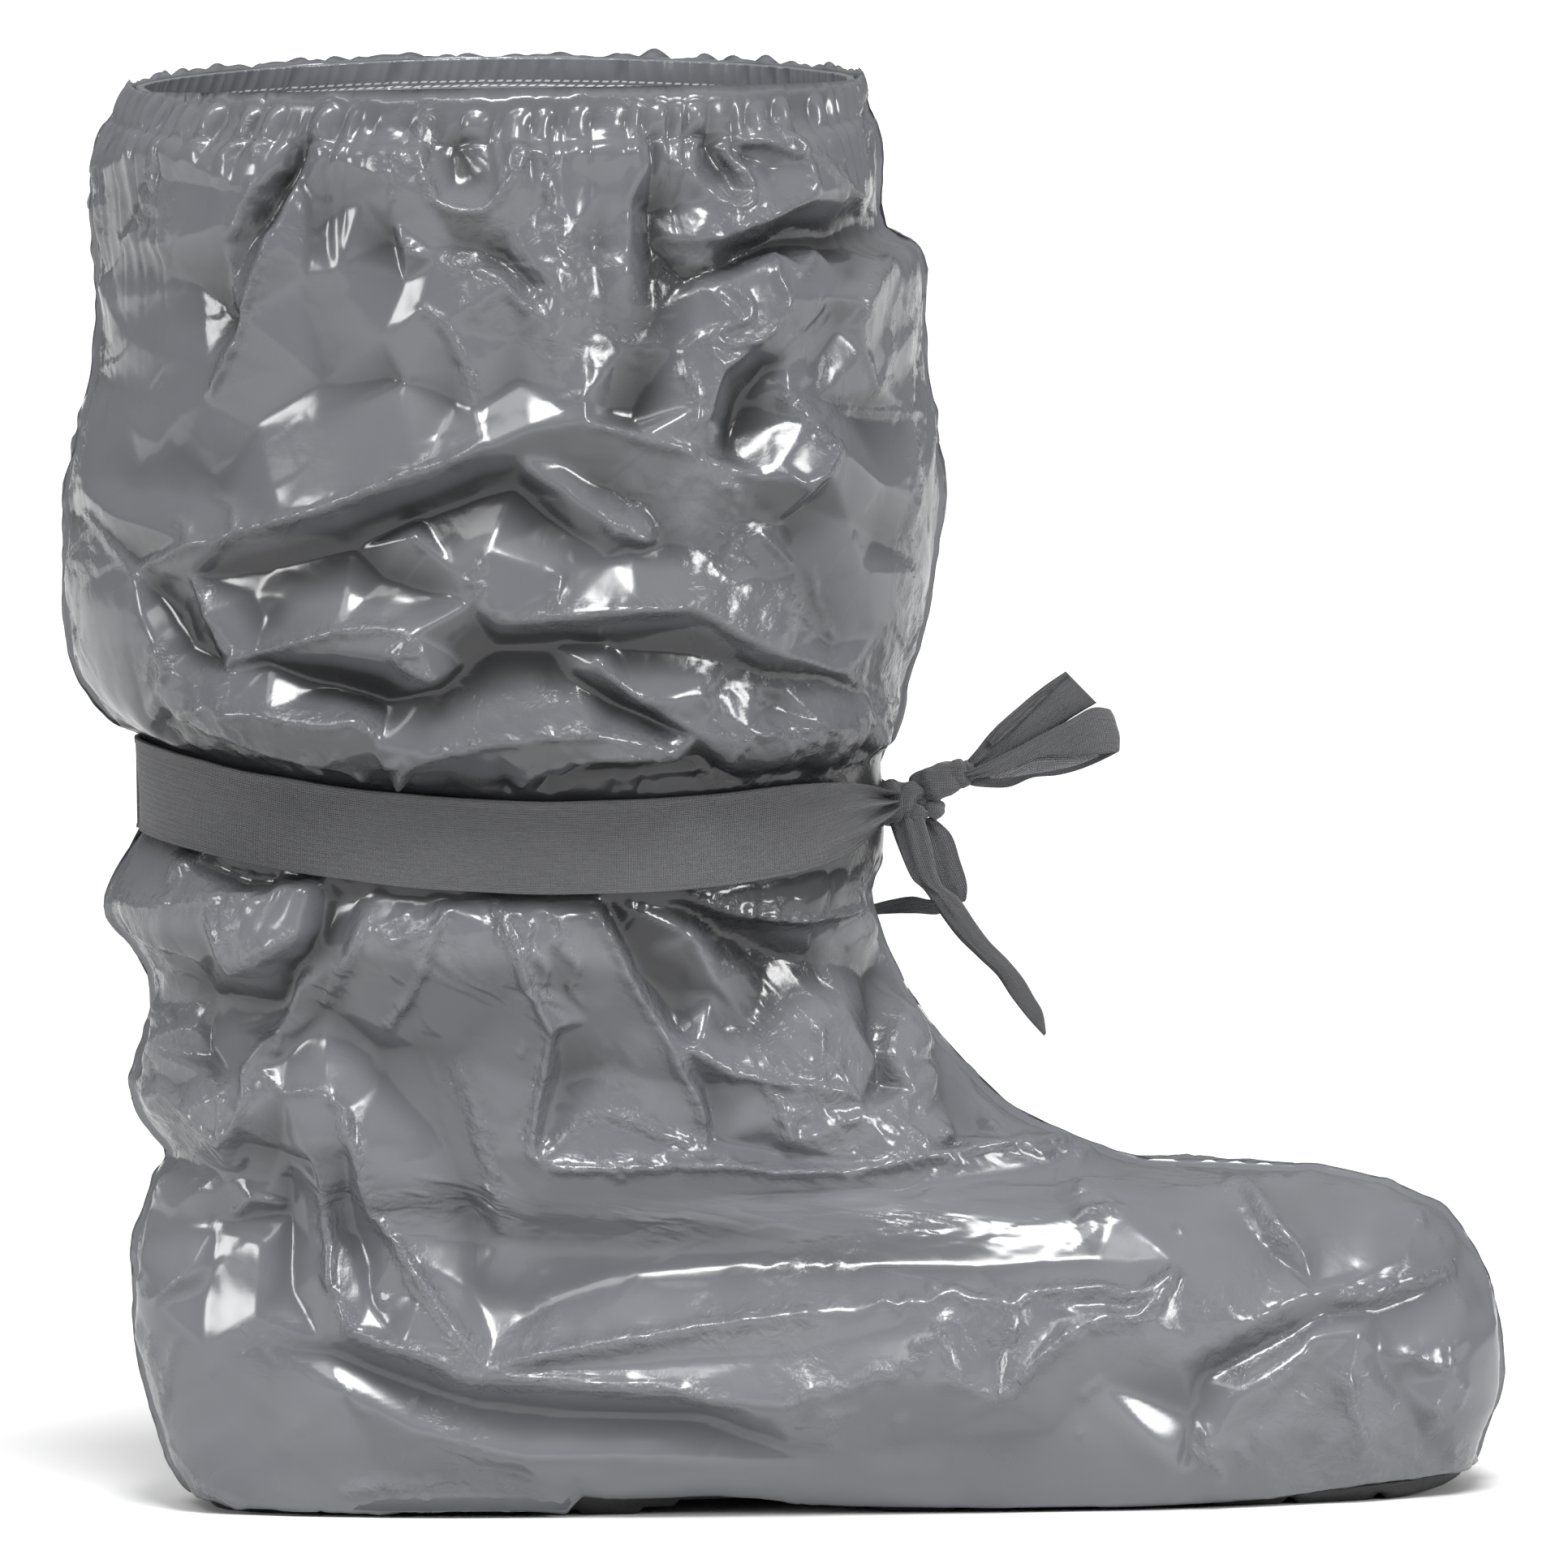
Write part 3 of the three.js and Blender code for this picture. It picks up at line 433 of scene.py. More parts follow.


# Creases of the near side, read off: x, z and height in millimetres, ridges up and valleys down.
SHAFT_CREASES = [
    [(-20.5, 377, -3), (-24.5, 367, -4.5), (-28, 357, -5), (-32.5, 347, -4), (-39.5, 337.5, -1.5)],
    [(-25.5, 373.5, 1), (-29.5, 364.5, 1.8), (-31, 359.5, 2), (-37, 351.5, 2.2), (-41, 344.5, 2),
     (-44, 338.5, 1.2)],
    [(-18.5, 377.5, 1), (-22.5, 367.5, .5), (-27.5, 352.5, 2.5), (-30.5, 343, 4), (-34.5, 332.5, 4.2),
     (-38.5, 320, 3.8), (-41, 312, 3.4), (-43.5, 306.5, 3), (-49.5, 297.5, 1.2)],
    [(-49.5, 306.5, 1), (-44, 306, 2.6)],
    [(-76.5, 358.5, 1.5), (-62, 365, 2), (-64, 356, 0), (-67, 345.5, -1.5), (-74, 336.5, -1.5)],
    [(-76.5, 358.5, 1.5), (-72.5, 350, -1.2), (-74, 336.5, -1.5)],
    [(-44, 338.5, 1.2), (-43.5, 328, -.5), (-43, 319.5, -2.5)],
    [(-61, 337.5, .8), (-52.5, 327.5, -.5), (-43, 319.5, -2.5)],
    [(-26.5, 353.5, -1), (-23.5, 343, -1.6), (-25, 331, .6)],
    [(-22.5, 367.5, .5), (-18, 363, 2), (-11, 370.5, 2)],
    [(-9.5, 350.5, .5), (-4.5, 342.5, -1), (-1, 339.5, -2)],
    [(-2, 370.5, 2), (-1, 364.5, 2.8), (-1, 355.5, 2.6), (-3, 347, 1.5)],
    [(-1, 344, 1.2), (-.5, 339.5, 1.6), (1, 337, 2.6), (4.5, 336, 2.8), (8.5, 336.5, 1.5)],
    [(9.5, 335, 1.8), (17, 331, 1.5)],
    [(8, 377.5, 0), (5, 367.5, 1.5), (6.5, 357.5, 2.4), (9.5, 349.5, 3.2), (15.5, 347, 3.8),
     (20.5, 347.5, 3.8), (25, 351, 3.6), (26.5, 359, 3.4), (30, 366.5, 3.4)],
    [(14, 377, -2), (16, 367.5, -3), (18, 357, -2)],
    [(23.5, 348, 3.4), (27.5, 342, 2.6), (31, 337, 2.6), (35.5, 331, 3), (40, 328, 3.4)],
    [(19.5, 333, 2), (26, 328.5, 3), (31.5, 323, 3.4), (38.5, 318, 3.8)],
    [(13.5, 339, 0), (19, 337.5, -.5), (26.5, 334, -1.4), (33, 327, -.5)],
    [(41.5, 340.5, 3), (40.5, 335, 3), (39.5, 329, 3.4)],
    [(40, 328, 3.4), (38.5, 317.5, 3.8), (39, 307.5, 3), (39.5, 304, 2.6), (45.5, 309, 2)],
    [(36, 364, 2.5), (35.5, 354.5, 2.4), (35.5, 344.5, 1.6)],
    [(40, 362, 2.4), (38, 353, 2.4), (39.5, 346.5, 2.2), (43, 341.5, 2.2)],
    [(37, 357.5, .4), (36.5, 349, .2)],
    [(39, 298, 2.4), (43.5, 299, 2.8), (46.5, 299, 3.2), (46.5, 292.5, 3.8)],
    [(5.5, 322.5, 2.4), (10, 318, 2.8), (16, 307.5, 2.6), (18.5, 296, 2.2)],
    [(10, 318, 2.8), (12.5, 309.5, 1.4), (18.5, 296, 2.2)],
    [(65.5, 377.5, -2.5), (65.5, 361, -4), (66, 346, -4.5), (66, 331.5, -3.8), (67.5, 320.5, -2.5),
     (71, 310.5, -.5)],
    [(55, 368, 2.2), (60, 364, 2.6), (64.5, 360.5, 2.6), (63.5, 370.5, 1.6), (55, 368, 2.2)],
    [(58.5, 348.5, 1.6), (58.5, 332, 1.2), (58, 323, .4)],
    [(71, 310.5, -.5), (64.5, 302, -2.8), (60, 290.5, -3)],
    [(57.5, 311, -.5), (54.5, 292.5, -2)],
    [(84, 363, 1.8), (87.5, 357.5, 2.6), (90, 351, 3.2), (86.5, 348, 3.2), (82, 349, 2.6),
     (75.5, 355.5, 2), (69.5, 361, 2)],
    [(76, 372.5, -1), (81.5, 365.5, -3.4), (85, 357, -3.4), (87, 350.5, 0)],
    [(86.5, 366.5, 0), (90, 361, -2.4), (96, 356.5, -.5)],
    [(93, 369, 2), (97.5, 365.5, 2.8), (104.5, 359, 3.4), (104.5, 354, 3.6), (104, 348.5, 4.6),
     (98, 345.5, 5), (92.5, 342.5, 5), (87, 339.5, 4.6), (82, 337.5, 3.6), (74, 338, 2), (68.5, 340, 0)],
    [(90.5, 366.5, 1.6), (97, 362.5, 2.6), (104.5, 359, 3.4)],
    [(67, 337.5, -4), (72, 333, -4.4), (76.5, 329, -4.6), (86, 333.5, -4), (98, 337, -3.6),
     (110, 335.5, -3), (120, 332.5, -1)],
    [(78.5, 327, 0), (87, 328, 1.6), (92.5, 330.5, 1.8), (96.5, 333.5, 1.4), (97, 328.5, 2.6),
     (100, 323, 3.6), (97.5, 318, 3.6), (94.5, 315, 3.6), (87.5, 311, 3), (81.5, 305.5, 3),
     (79, 297.5, 3), (77, 292, 3), (71, 287, 2.4)],
    [(78.5, 327, 0), (81.5, 322.5, 1.4), (88, 319.5, 2.4), (94.5, 315, 3.6)],
    [(72.5, 310.5, 2), (74, 303, 2.4), (75, 295.5, 2.6), (71, 287, 2.4)],
    [(77.5, 316.5, 1.2), (81.5, 318, 2), (86.5, 319, 2.4)],
    [(96.5, 333.5, 1.4), (102, 330, 1.6), (104, 327, 2.2), (108.5, 334, 1)],
    [(108, 322.5, 2.6), (104, 316.5, 2.8), (98, 307, 2.4)],
    [(108.5, 334, 1), (114, 328.5, .5), (118.5, 326, 0)],
    [(96, 304, -1.6), (88.5, 295, -3.8), (86.5, 287.5, -4), (84.5, 281.5, -2)],
    [(97.5, 300.5, 2.4), (105, 291, 3.4), (110.5, 282, 4.6), (106.5, 276.5, 5), (102.5, 272, 5.6),
     (92.5, 276, 4), (84, 280, 3), (71.5, 283.5, 2.6), (61, 289, 2.8), (46.5, 292.5, 3.8)],
    [(88, 273.5, 1.4), (86, 265.5, -.6), (99.5, 264.5, -2), (104.5, 268.5, -1)],
    [(92.5, 273.5, 2), (94.5, 267, -1)],
    [(133.5, 332, 0), (125, 325.5, 2), (121, 321, 3), (117.5, 314.5, 3.2), (118.5, 306, 2.4),
     (123, 296.5, 1.4)],
    [(129.5, 324, .4), (128, 313.5, 0), (126.5, 305, .6), (123, 296.5, 1.4)],
    [(107, 295, .6), (120, 291.5, -1.6), (138, 289, -1)],
    [(120.5, 321.5, 3), (114, 314.5, 0), (108.5, 306.5, 0)],
    [(-70.5, 253, .5), (-54.5, 260.5, 2.6), (-42, 263.5, 3.4), (-29.5, 267, 3.8), (-16.5, 270.5, 4.4),
     (4.5, 278, 5), (21, 285.5, 5), (32, 290.5, 4.6), (46.5, 292.5, 3.8)],
    [(-78, 262, -.5), (-70.5, 254, -2.4), (-65.5, 246, -3), (-61, 239, -2.4)],
    [(-53, 251.5, -1.6), (-36, 254.5, -3.4), (-15, 259.5, -4.2), (4, 267.5, -4.4), (19, 273, -4.2),
     (29, 275.5, -3.6)],
    [(29, 275.5, -3.6), (38, 267, -3.4), (44.5, 262, -2), (54, 256.5, -.8)],
    [(30, 284, 2.4), (40.5, 282, 0), (51.5, 275, -2.2), (63, 269.5, -1.8)],
    [(32, 280, 2.6), (42.5, 273, 2.2), (52.5, 266.5, 2.2), (62.5, 260.5, 3)],
    [(59, 259, -.8), (67.5, 260, -2), (76, 258.5, -1)],
    [(-15, 257, -2.8), (-6.5, 251.5, -2.6), (6, 247.5, -2), (11.5, 247, -.5)],
    [(2, 264, 1.2), (12.5, 254.5, 1.6), (16.5, 245.5, 2.6), (23.5, 241, 4), (42, 242.5, 4.6),
     (59, 244, 4.6), (71.5, 243.5, 4), (80.5, 237.5, 3.4), (93, 231, 3.2), (112.5, 223, 2.4)],
    [(21, 259, 2.2), (19.5, 251.5, 2.6), (16.5, 245.5, 2.6)],
    [(37, 254, 2.6), (42, 245.5, 3.4), (43, 243, 4.4)],
    [(9, 222.5, -3.6), (15.5, 228.5, -4.2), (23, 233, -4.4), (37.5, 233.5, -4), (54.5, 232.5, -3.4),
     (74, 230.5, -2.8), (85.5, 227.5, -2), (93, 224, -2), (112, 222.5, -1.2)],
    [(74, 238.5, .5), (78, 239, 1), (85.5, 233.5, 1)],
    [(-40, 247, -1.5), (-37, 241, -1.2), (-32, 247, -.6)],
    [(-38.5, 232.5, 1.4), (-27.5, 236, 2.6), (-16, 239.5, 4), (-6.5, 240, 4.2), (3.5, 239, 4.6),
     (8, 226.5, 5.4)],
    [(-36, 232, 1.5), (-17, 234, 3.6), (-5, 233, 4.4), (-.5, 231, 5), (8, 226.5, 5.4)],
    [(-1, 234.5, 5), (3.5, 239, 4.6)],
    [(-36, 229.5, -1.4), (-21.5, 223, -3.4), (-7, 218.5, -4), (9, 222.5, -3.6)],
    [(-54, 253, 2), (-50.5, 243, 2.2), (-46.5, 229.5, 1.4)],
    [(-46.5, 229.5, 1.4), (-43, 233, 2.4)],
    [(-61, 239, -2.4), (-56, 232.5, -2.4), (-48.5, 229, -2.6)],
    [(-54, 253, 2), (-58, 241, -2.6)],
    [(-73.5, 265.5, 1.6), (-70.5, 254, -2.4)],
    [(-69, 250, 1.4), (-66.5, 240.5, 2), (-63.5, 235, 2.6), (-60, 227.5, 3), (-62, 223, 2.4)],
    [(-63.5, 235, 2.6), (-65.5, 222, 1.4)],
    [(-75.5, 213.5, 1), (-67.5, 217, 1.2)],
    [(-62, 221.5, 3), (-53, 225, 3), (-42.5, 228, 2), (-38.5, 232.5, 1.4)],
    [(-62, 221.5, 3), (-66, 211.5, 1.4), (-67, 204.5, 0)],
    [(-62, 221.5, 3), (-60.5, 214.5, -1), (-60.5, 205, -1.5)],
    [(-56.5, 216.5, 4), (-51.5, 220, 5), (-42.5, 219.5, 5.6), (-33, 219, 5.8), (-21.5, 217, 5.8),
     (-13, 217.5, 5.6), (-8, 215, 5), (-6, 210.5, 4.6), (-2.5, 206, 4.4), (1, 205, 4)],
    [(-47, 212.5, 5), (-44.5, 218, 5.6), (-38.5, 211, 5), (-29.5, 208, 5), (-21.5, 206, 4.6),
     (-12, 201, 3), (-6, 194.5, 0)],
    [(-51.5, 220, 5), (-49, 214, 5), (-47, 212.5, 5)],
    [(-59, 213.5, 0), (-50.5, 212, -1.5), (-41.5, 208, -3), (-26, 201, -3), (-15, 197, -2)],
    [(1, 205, 4), (-1, 200.5, 3.6), (-2.5, 193.5, 1.4)],
    [(1, 205, 4), (9, 207, 3.6), (20.5, 210.5, 4), (37.5, 212.5, 4.6), (48.5, 212, 4.6), (59, 209.5, 4.6),
     (65.5, 207, 4.6), (68.5, 204, 4.4)],
    [(28, 196.5, 0), (32, 201.5, 2), (40.5, 205, 4), (50.5, 206, 4.8), (63.5, 205, 4.8), (68.5, 204, 4.4)],
    [(31, 192.5, -2.6), (37.5, 197.5, -4.4), (49, 201, -5.2), (63, 201, -5.2), (77.5, 201.5, -5),
     (90, 193.5, -4), (103.5, 194, -3.6)],
    [(28, 196.5, 0), (35, 191, 0)],
    [(46.5, 228, 2.8), (49, 232, 3.4), (53.5, 225.5, 3.6), (61, 220, 3.6), (68, 214.5, 3.6),
     (73.5, 210.5, 3.6)],
    [(42, 226, -1.4), (55, 217, -3), (66.5, 212, -2.4), (73.5, 210.5, 3.6)],
    [(75.5, 221.5, 2.2), (77.5, 215.5, 2.2)],
    [(80.5, 203, 3.8), (84.5, 208.5, 4.2), (86.5, 212.5, 4), (96, 210, 4.6), (106.5, 211.5, 4.4),
     (111.5, 210, 4)],
    [(80.5, 203, 3.8), (93.5, 203.5, 4.4), (106.5, 207, 4.4), (118, 208, 3.6)],
    [(96, 210, 4.6), (96.5, 205.5, 4.8), (100, 208.5, 4.6)],
    [(91, 222, .5), (95, 215, -.4), (98.5, 219.5, .5)],
    [(118, 208, 3.6), (119.5, 200.5, -1), (106.5, 191.5, -3)],
    [(107.5, 190, .6), (113.5, 194.5, 1.6), (118.5, 197, 2.4), (125.5, 195, 2)],
    [(98, 265, .4), (103, 251.5, -1), (108, 241.5, -1.2), (111, 231.5, -1)],
    [(126.5, 271, .4), (125, 257.5, -2)],
    [(115.5, 263.5, .6), (119.5, 250.5, .8), (123, 232.5, .6)],
    [(119.5, 217.5, .6), (121, 209.5, 1), (125.5, 200.5, 1.6)],
    [(-62.5, 291.5, .6), (-59.5, 283, -.5), (-48, 275, 0)],
    [(-37.5, 291, .8), (-20.5, 292.5, 1.2), (.5, 303, 1.4), (13.5, 307.5, .6)],
    [(-20.5, 303, .5), (-.5, 303, -.6), (13, 297, .2)],
    [(-73, 294.5, 0), (-67, 287, .6), (-70.5, 277, -.5)],
    [(-52.5, 272, .6), (-46, 270, 1), (-42, 265, 3)],
    [(-16, 333, .8), (1, 329.5, .6), (-5.5, 314, 1)],
    [(76.5, 270, 1.2), (74, 253, .6), (84.5, 248.5, .6)],
    [(30, 313.5, 1), (30, 303, .4), (21.5, 297, 1.2)],
    [(52, 353, .6), (50.5, 338.5, -.6), (52.5, 323.5, -.2)],
]
FOOT_CREASES = [
    [(-55.5, 179, 2.4), (-56.5, 172.5, 2), (-61.5, 166.5, .6)],
    [(-66, 180.5, 1.6), (-65, 178.5, .5)],
    [(-48.5, 175, -3), (-34.5, 172, -3.6), (-26.5, 171.5, -2)],
    [(-45, 174.5, -1.4), (-43, 168, -1.6)],
    [(-75, 162, 1.4), (-61, 162.5, 1.8), (-45.5, 166.5, 2.6), (-34.5, 166, 3.2), (-28, 170, 4),
     (-23, 173, 4.4)],
    [(-51.5, 162, 2.6), (-48.5, 164, 3), (-46.5, 159, 3), (-44, 155, 3.4), (-34.5, 165, 3.4)],
    [(-51.5, 162, 2.6), (-47.5, 155.5, 3), (-44, 151, 4.2), (-36.5, 153, 4.6), (-27, 157, 4.8),
     (-23, 173, 4.4)],
    [(-21.5, 171, -3), (-24.5, 157.5, -4.2), (-28, 148.5, -3.6), (-31.5, 136.5, -2)],
    [(-73.5, 155.5, .8), (-63.5, 153.5, 1.8), (-52.5, 148.5, 2)],
    [(-59, 150.5, -1.4), (-52.5, 143.5, -2.4)],
    [(-51.5, 154, .6), (-52, 138, -2.4), (-52.5, 122.5, -2.8)],
    [(-51.5, 125, .6), (-43.5, 129, 1), (-33.5, 132.5, 1)],
    [(-65.5, 137.5, 0), (-61.5, 148.5, 1), (-63.5, 134, 2), (-60.5, 129, 2.4), (-54, 130.5, 1)],
    [(-71, 117.5, .4), (-65.5, 122.5, 2), (-60, 126.5, 3), (-55, 129, 2.4)],
    [(-68, 116.5, -1), (-64, 113, -2), (-60.5, 101.5, -2.4)],
    [(-64.5, 112.5, 2), (-58, 108.5, 2.4), (-50, 102.5, 2)],
    [(-51.5, 118, 1), (-48, 112, 2.8), (-47.5, 101, 3.2)],
    [(-45, 117, 1.4), (-48, 112, 2.8)],
    [(-47.5, 101, 3.2), (-43, 106.5, 3.4), (-41, 112.5, 3.8), (-40.5, 119, 3.8), (-37, 125, 3.4),
     (-34, 129, 3.2), (-33, 124, 2.8), (-37, 119.5, 3.2)],
    [(-34, 129, 3.2), (-31, 136.5, 2), (-28.5, 143.5, 1.6)],
    [(-37, 119.5, 3.2), (-31.5, 114, 3.2), (-25.5, 115, 3.8), (-20, 115, 4.4), (-16, 109.5, 4.6),
     (-14.5, 102.5, 4.6), (-11.5, 93.5, 4.6), (-6.5, 82.5, 5), (-1.5, 70.5, 5), (4.5, 60.5, 4.8),
     (11, 51.5, 4.4), (19.5, 40.5, 4.8)],
    [(-44, 99.5, -1.4), (-35.5, 96.5, -3), (-25.5, 96, -1)],
    [(-47.5, 101, 3.2), (-44, 91, .6), (-38, 86.5, .8), (-32, 83.5, -2.6)],
    [(-47.5, 80, -1), (-41.5, 84.5, 1.2), (-34, 83.5, 1)],
    [(-44, 79.5, -3), (-33.5, 81, -3.4)],
    [(-31.5, 114, 3.2), (-31.5, 123.5, .5)],
    [(-32, 95, -1), (-32, 80, -2.6), (-32.5, 61.5, -2)],
    [(-25.5, 98.5, 3.2), (-21.5, 91, 4), (-21, 80, 4), (-20.5, 67, 4), (-20.5, 62, 4), (-17.5, 57.5, 3.8),
     (-15, 50, 4), (-2, 45.5, 4.6), (8.5, 42, 4.6), (14, 38.5, 4.6)],
    [(-16.5, 96, .6), (-14.5, 76, 0), (-11.5, 59, .6), (-6.5, 50.5, 1.6)],
    [(-20.5, 67, 4), (-14.5, 66, 1.4), (-10.5, 67.5, 1)],
    [(-55, 61, -1.6), (-52.5, 77, -1.2), (-49, 89.5, 0)],
    [(-71.5, 77, .4), (-61, 75, -1.2)],
    [(-69.5, 82, .6), (-65, 86, 1.4), (-62, 89, 1.4)],
    [(-65.5, 55.5, 2), (-60.5, 61.5, 2.4), (-55.5, 66, 2)],
    [(-38, 73.5, .6), (-40.5, 54, .4)],
    [(19.5, 40.5, 4.8), (30, 43.5, 4.8), (44.5, 46, 4.8), (62, 48.5, 4.8), (79, 51, 4.6), (96, 52.5, 4.8),
     (105.5, 53.5, 5), (115, 53.5, 4.6), (123.5, 55.5, 5), (134.5, 54.5, 4.8), (141.5, 58, 5.2),
     (147, 56, 5), (155, 55, 5), (160.5, 57, 5), (179.5, 57.5, 4.8), (188, 56, 4.4), (197, 58.5, 4.4),
     (200.5, 63, 3.6)],
    [(14, 38.5, 4.6), (29.5, 38.5, 5), (51, 37, 5.4), (68, 36, 5.6), (78.5, 33.5, 5.8), (89, 32, 5.8),
     (97.5, 31.5, 6), (104, 34.5, 6), (115, 36.5, 5.6), (121, 38.5, 5.6), (128, 41, 5.4),
     (136.5, 47.5, 4.8), (144, 50, 4.4)],
    [(19.5, 40.5, 4.8), (14, 38.5, 4.6)],
    [(27.5, 40, 3.6), (61.5, 41.5, 3), (93.5, 43.5, 3.2), (125.5, 48.5, 3.4)],
    [(157, 53, 5), (156.5, 45, 4.6), (153.5, 32, 5.6), (160, 38.5, 5.8), (168.5, 45.5, 5.4),
     (179, 50, 5.2), (189, 50.5, 5), (194.5, 55.5, 4.6), (200, 61, 4)],
    [(136, 37, 4.8), (144.5, 36, 4.8), (153.5, 32, 5.6)],
    [(149.5, 49.5, 3.6), (150.5, 41, 3.4)],
    [(164, 52, 3.6), (166, 47, 4)],
    [(173, 54, 3.4), (188, 53, 3.4)],
    [(-66, 45.5, -.4), (-55.5, 44.5, -.8), (-38.5, 46, -1.2), (-23.5, 45, -1.8), (-12.5, 40.5, -2.4),
     (2, 35.5, -2.8), (19, 30.5, -3), (40, 28, -3), (61.5, 27.5, -2.8), (76.5, 27.5, -2.4),
     (89, 22, -1.8), (98, 18.5, -.8)],
    [(-23.5, 47.5, .6), (-15, 47, 1.6)],
    [(-19.5, 36, 1.6), (2, 24.5, 2), (27.5, 18, 2.2), (61.5, 18.5, 2.2), (82.5, 16.5, 1.8), (100, 15.5, 1)],
    [(-20.5, 7.5, .4), (-7, 9, -1.6), (10.5, 11, -2.4), (27.5, 10, -2.4), (36, 6.5, -1)],
    [(-45, 28, -.6), (-40.5, 23.5, -1.2), (-37.5, 15.5, -.6)],
    [(-65.5, 20, .6), (-59.5, 14, 1.2), (-56, 8.5, 1), (-51, 5.5, .6)],
    [(-62.5, 13.5, -1), (-58.5, 8.5, -1.4)],
    [(21.5, 169, 2.8), (25.5, 157.5, 3.4), (29, 148.5, 4), (34, 140.5, 4.6), (37, 135, 5), (36, 126, 5),
     (34.5, 119, 4.8), (32.5, 110.5, 4.8), (31.5, 102, 5), (31.5, 98, 5.2), (35, 95, 5.2),
     (45.5, 94.5, 5.4), (62.5, 94, 5.6), (69, 94.5, 5.6), (84, 93.5, 5.2), (94.5, 91, 4.8), (114, 90, 4),
     (127, 91.5, 3.6), (144.5, 93.5, 3.4), (160, 92.5, 3.4), (175.5, 91.5, 3), (185, 89, 2)],
    [(47.5, 167, 2), (51, 159, 3.6), (56.5, 147.5, 4.2), (62.5, 136.5, 4.4), (67, 127, 4.4),
     (72.5, 116.5, 4.2), (76, 107.5, 3.6), (76.5, 98.5, 2.6)],
    [(51.5, 164, -3.4), (57, 153, -3), (62.5, 142, -2.4), (70.5, 128.5, -.6), (77, 115, .6),
     (79, 100, 1)],
    [(39, 132.5, 2.4), (39, 117, 1), (34.5, 101, 2.4)],
    [(33.5, 97.5, 4), (41, 104, 2.8), (48.5, 110, 3.6), (62.5, 104.5, 3.4), (76.5, 98.5, 2.6)],
    [(48.5, 110, 3.6), (53, 123.5, 1.6), (55, 132.5, 2.4)],
    [(31, 161.5, 2.2), (41.5, 164, 3.2), (45, 150.5, 4), (46.5, 135.5, 3.6), (41.5, 142.5, 2.4)],
    [(28.5, 163.5, 3), (34, 155, 3.4), (39.5, 157, 3.8)],
    [(28, 59, -.6), (53.5, 65.5, -1), (83.5, 67.5, -1.4), (115.5, 67, -1.2), (147.5, 65.5, -.6),
     (179.5, 66, .4)],
    [(21.5, 46.5, 2), (30, 54.5, 0), (40.5, 61, -.8)],
    [(32.5, 85, 2.4), (62.5, 82, 2), (94.5, 80, 1.4), (126.5, 80.5, 1), (159, 80, 1)],
    [(138, 90, 2), (148.5, 86.5, 1.8), (157, 84.5, 1.6), (167.5, 81.5, .6)],
    [(-8.5, 159, 2), (-4, 156, 2.8), (6.5, 159, 3), (12, 164.5, 2.6)],
    [(-8.5, 159, 2), (-1, 162.5, 1.4), (5.5, 160.5, 1.8)],
    [(12, 164.5, 2.6), (6.5, 152.5, 2.4), (.5, 143, 2.4), (-5.5, 132, 2)],
    [(-5.5, 132, 2), (-8, 124, -1.2), (-6.5, 117.5, -1)],
    [(-13.5, 166.5, -1.4), (-10.5, 170, -1.4), (3.5, 168, -1.6), (18, 166.5, -1)],
    [(-21, 137, -.4), (-16, 151, .4)],
    [(3, 126, 0), (8, 102.5, -1), (15.5, 80.5, -1.2), (16, 61, -.8)],
    [(12.5, 124, .6), (20, 98, .8), (24, 76, 1.2)],
    [(51, 165.5, -2), (63, 165, -1.4), (73.5, 162, -4.6), (84.5, 155, -5.4), (97.5, 148.5, -5.2),
     (106, 146.5, -4), (110, 147, -1)],
    [(71.5, 166.5, .6), (82, 161.5, 2.4), (97.5, 158.5, 3), (111.5, 158, 3.2), (117, 158, 2.6)],
    [(57.5, 163.5, 1.2), (73.5, 155.5, 1.4), (80.5, 141, .8)],
    [(59.5, 145.5, -2.4), (71.5, 140, -3), (80, 139.5, -1)],
    [(84, 129, -1.2), (90.5, 129, -1)],
    [(117, 158, 2.6), (122, 151, 2), (124.5, 148.5, 1.6)],
    [(125, 150, -1.6), (124, 140.5, -3.6), (124.5, 124, -4.2), (125, 113, -4.6)],
    [(110, 147, -1), (115, 133.5, .6), (122.5, 118, 1.2), (125, 113, -4.6)],
    [(127, 124, 1.6), (126, 120, 1.8), (126.5, 114, 2)],
    [(99.5, 169, 1.6), (101, 163, 2.6), (103.5, 158.5, 3)],
    [(65.5, 131, 4), (73.5, 126, 4.4), (84, 120.5, 4.2), (95, 116.5, 4), (105.5, 114, 3.6),
     (117, 110, 3.2)],
    [(91, 117.5, 3.6), (94, 111.5, 4.2), (96, 106.5, 4.8), (97.5, 99, 4.8), (101, 102, 3.6)],
    [(105.5, 106, 4), (108, 102, 4.4), (117, 104.5, 3.4)],
    [(106.5, 130, 2.2), (106.5, 121.5, 3), (106.5, 113, 3.4)],
    [(110.5, 121, 2), (115, 110, 2.6)],
    [(79, 100, 1), (94.5, 96.5, 1.2), (115.5, 92, 2)],
    [(129.5, 131.5, 1.8), (132, 129, 2.4), (136, 126, 2.2), (136, 121, 2.4), (132.5, 122.5, 2.6)],
    [(130.5, 120.5, 2.4), (127.5, 114.5, 3), (131, 110, 3)],
    [(134, 115, 1.6), (137.5, 111.5, 2.2)],
    [(136, 105.5, 1.6), (133.5, 105, 2)],
    [(138, 100, 2.6), (142.5, 97, 3.2), (151, 94, 3.4)],
    [(139, 119, -1), (142.5, 108, -2), (143.5, 95.5, -2)],
    [(149, 109, .4), (150.5, 99.5, -1)],
    [(151.5, 100, 1.6), (155, 95.5, 2)],
    [(213, 81.5, .8), (221, 74, -1), (229.5, 65.5, -1.8), (237.5, 58.5, -2)],
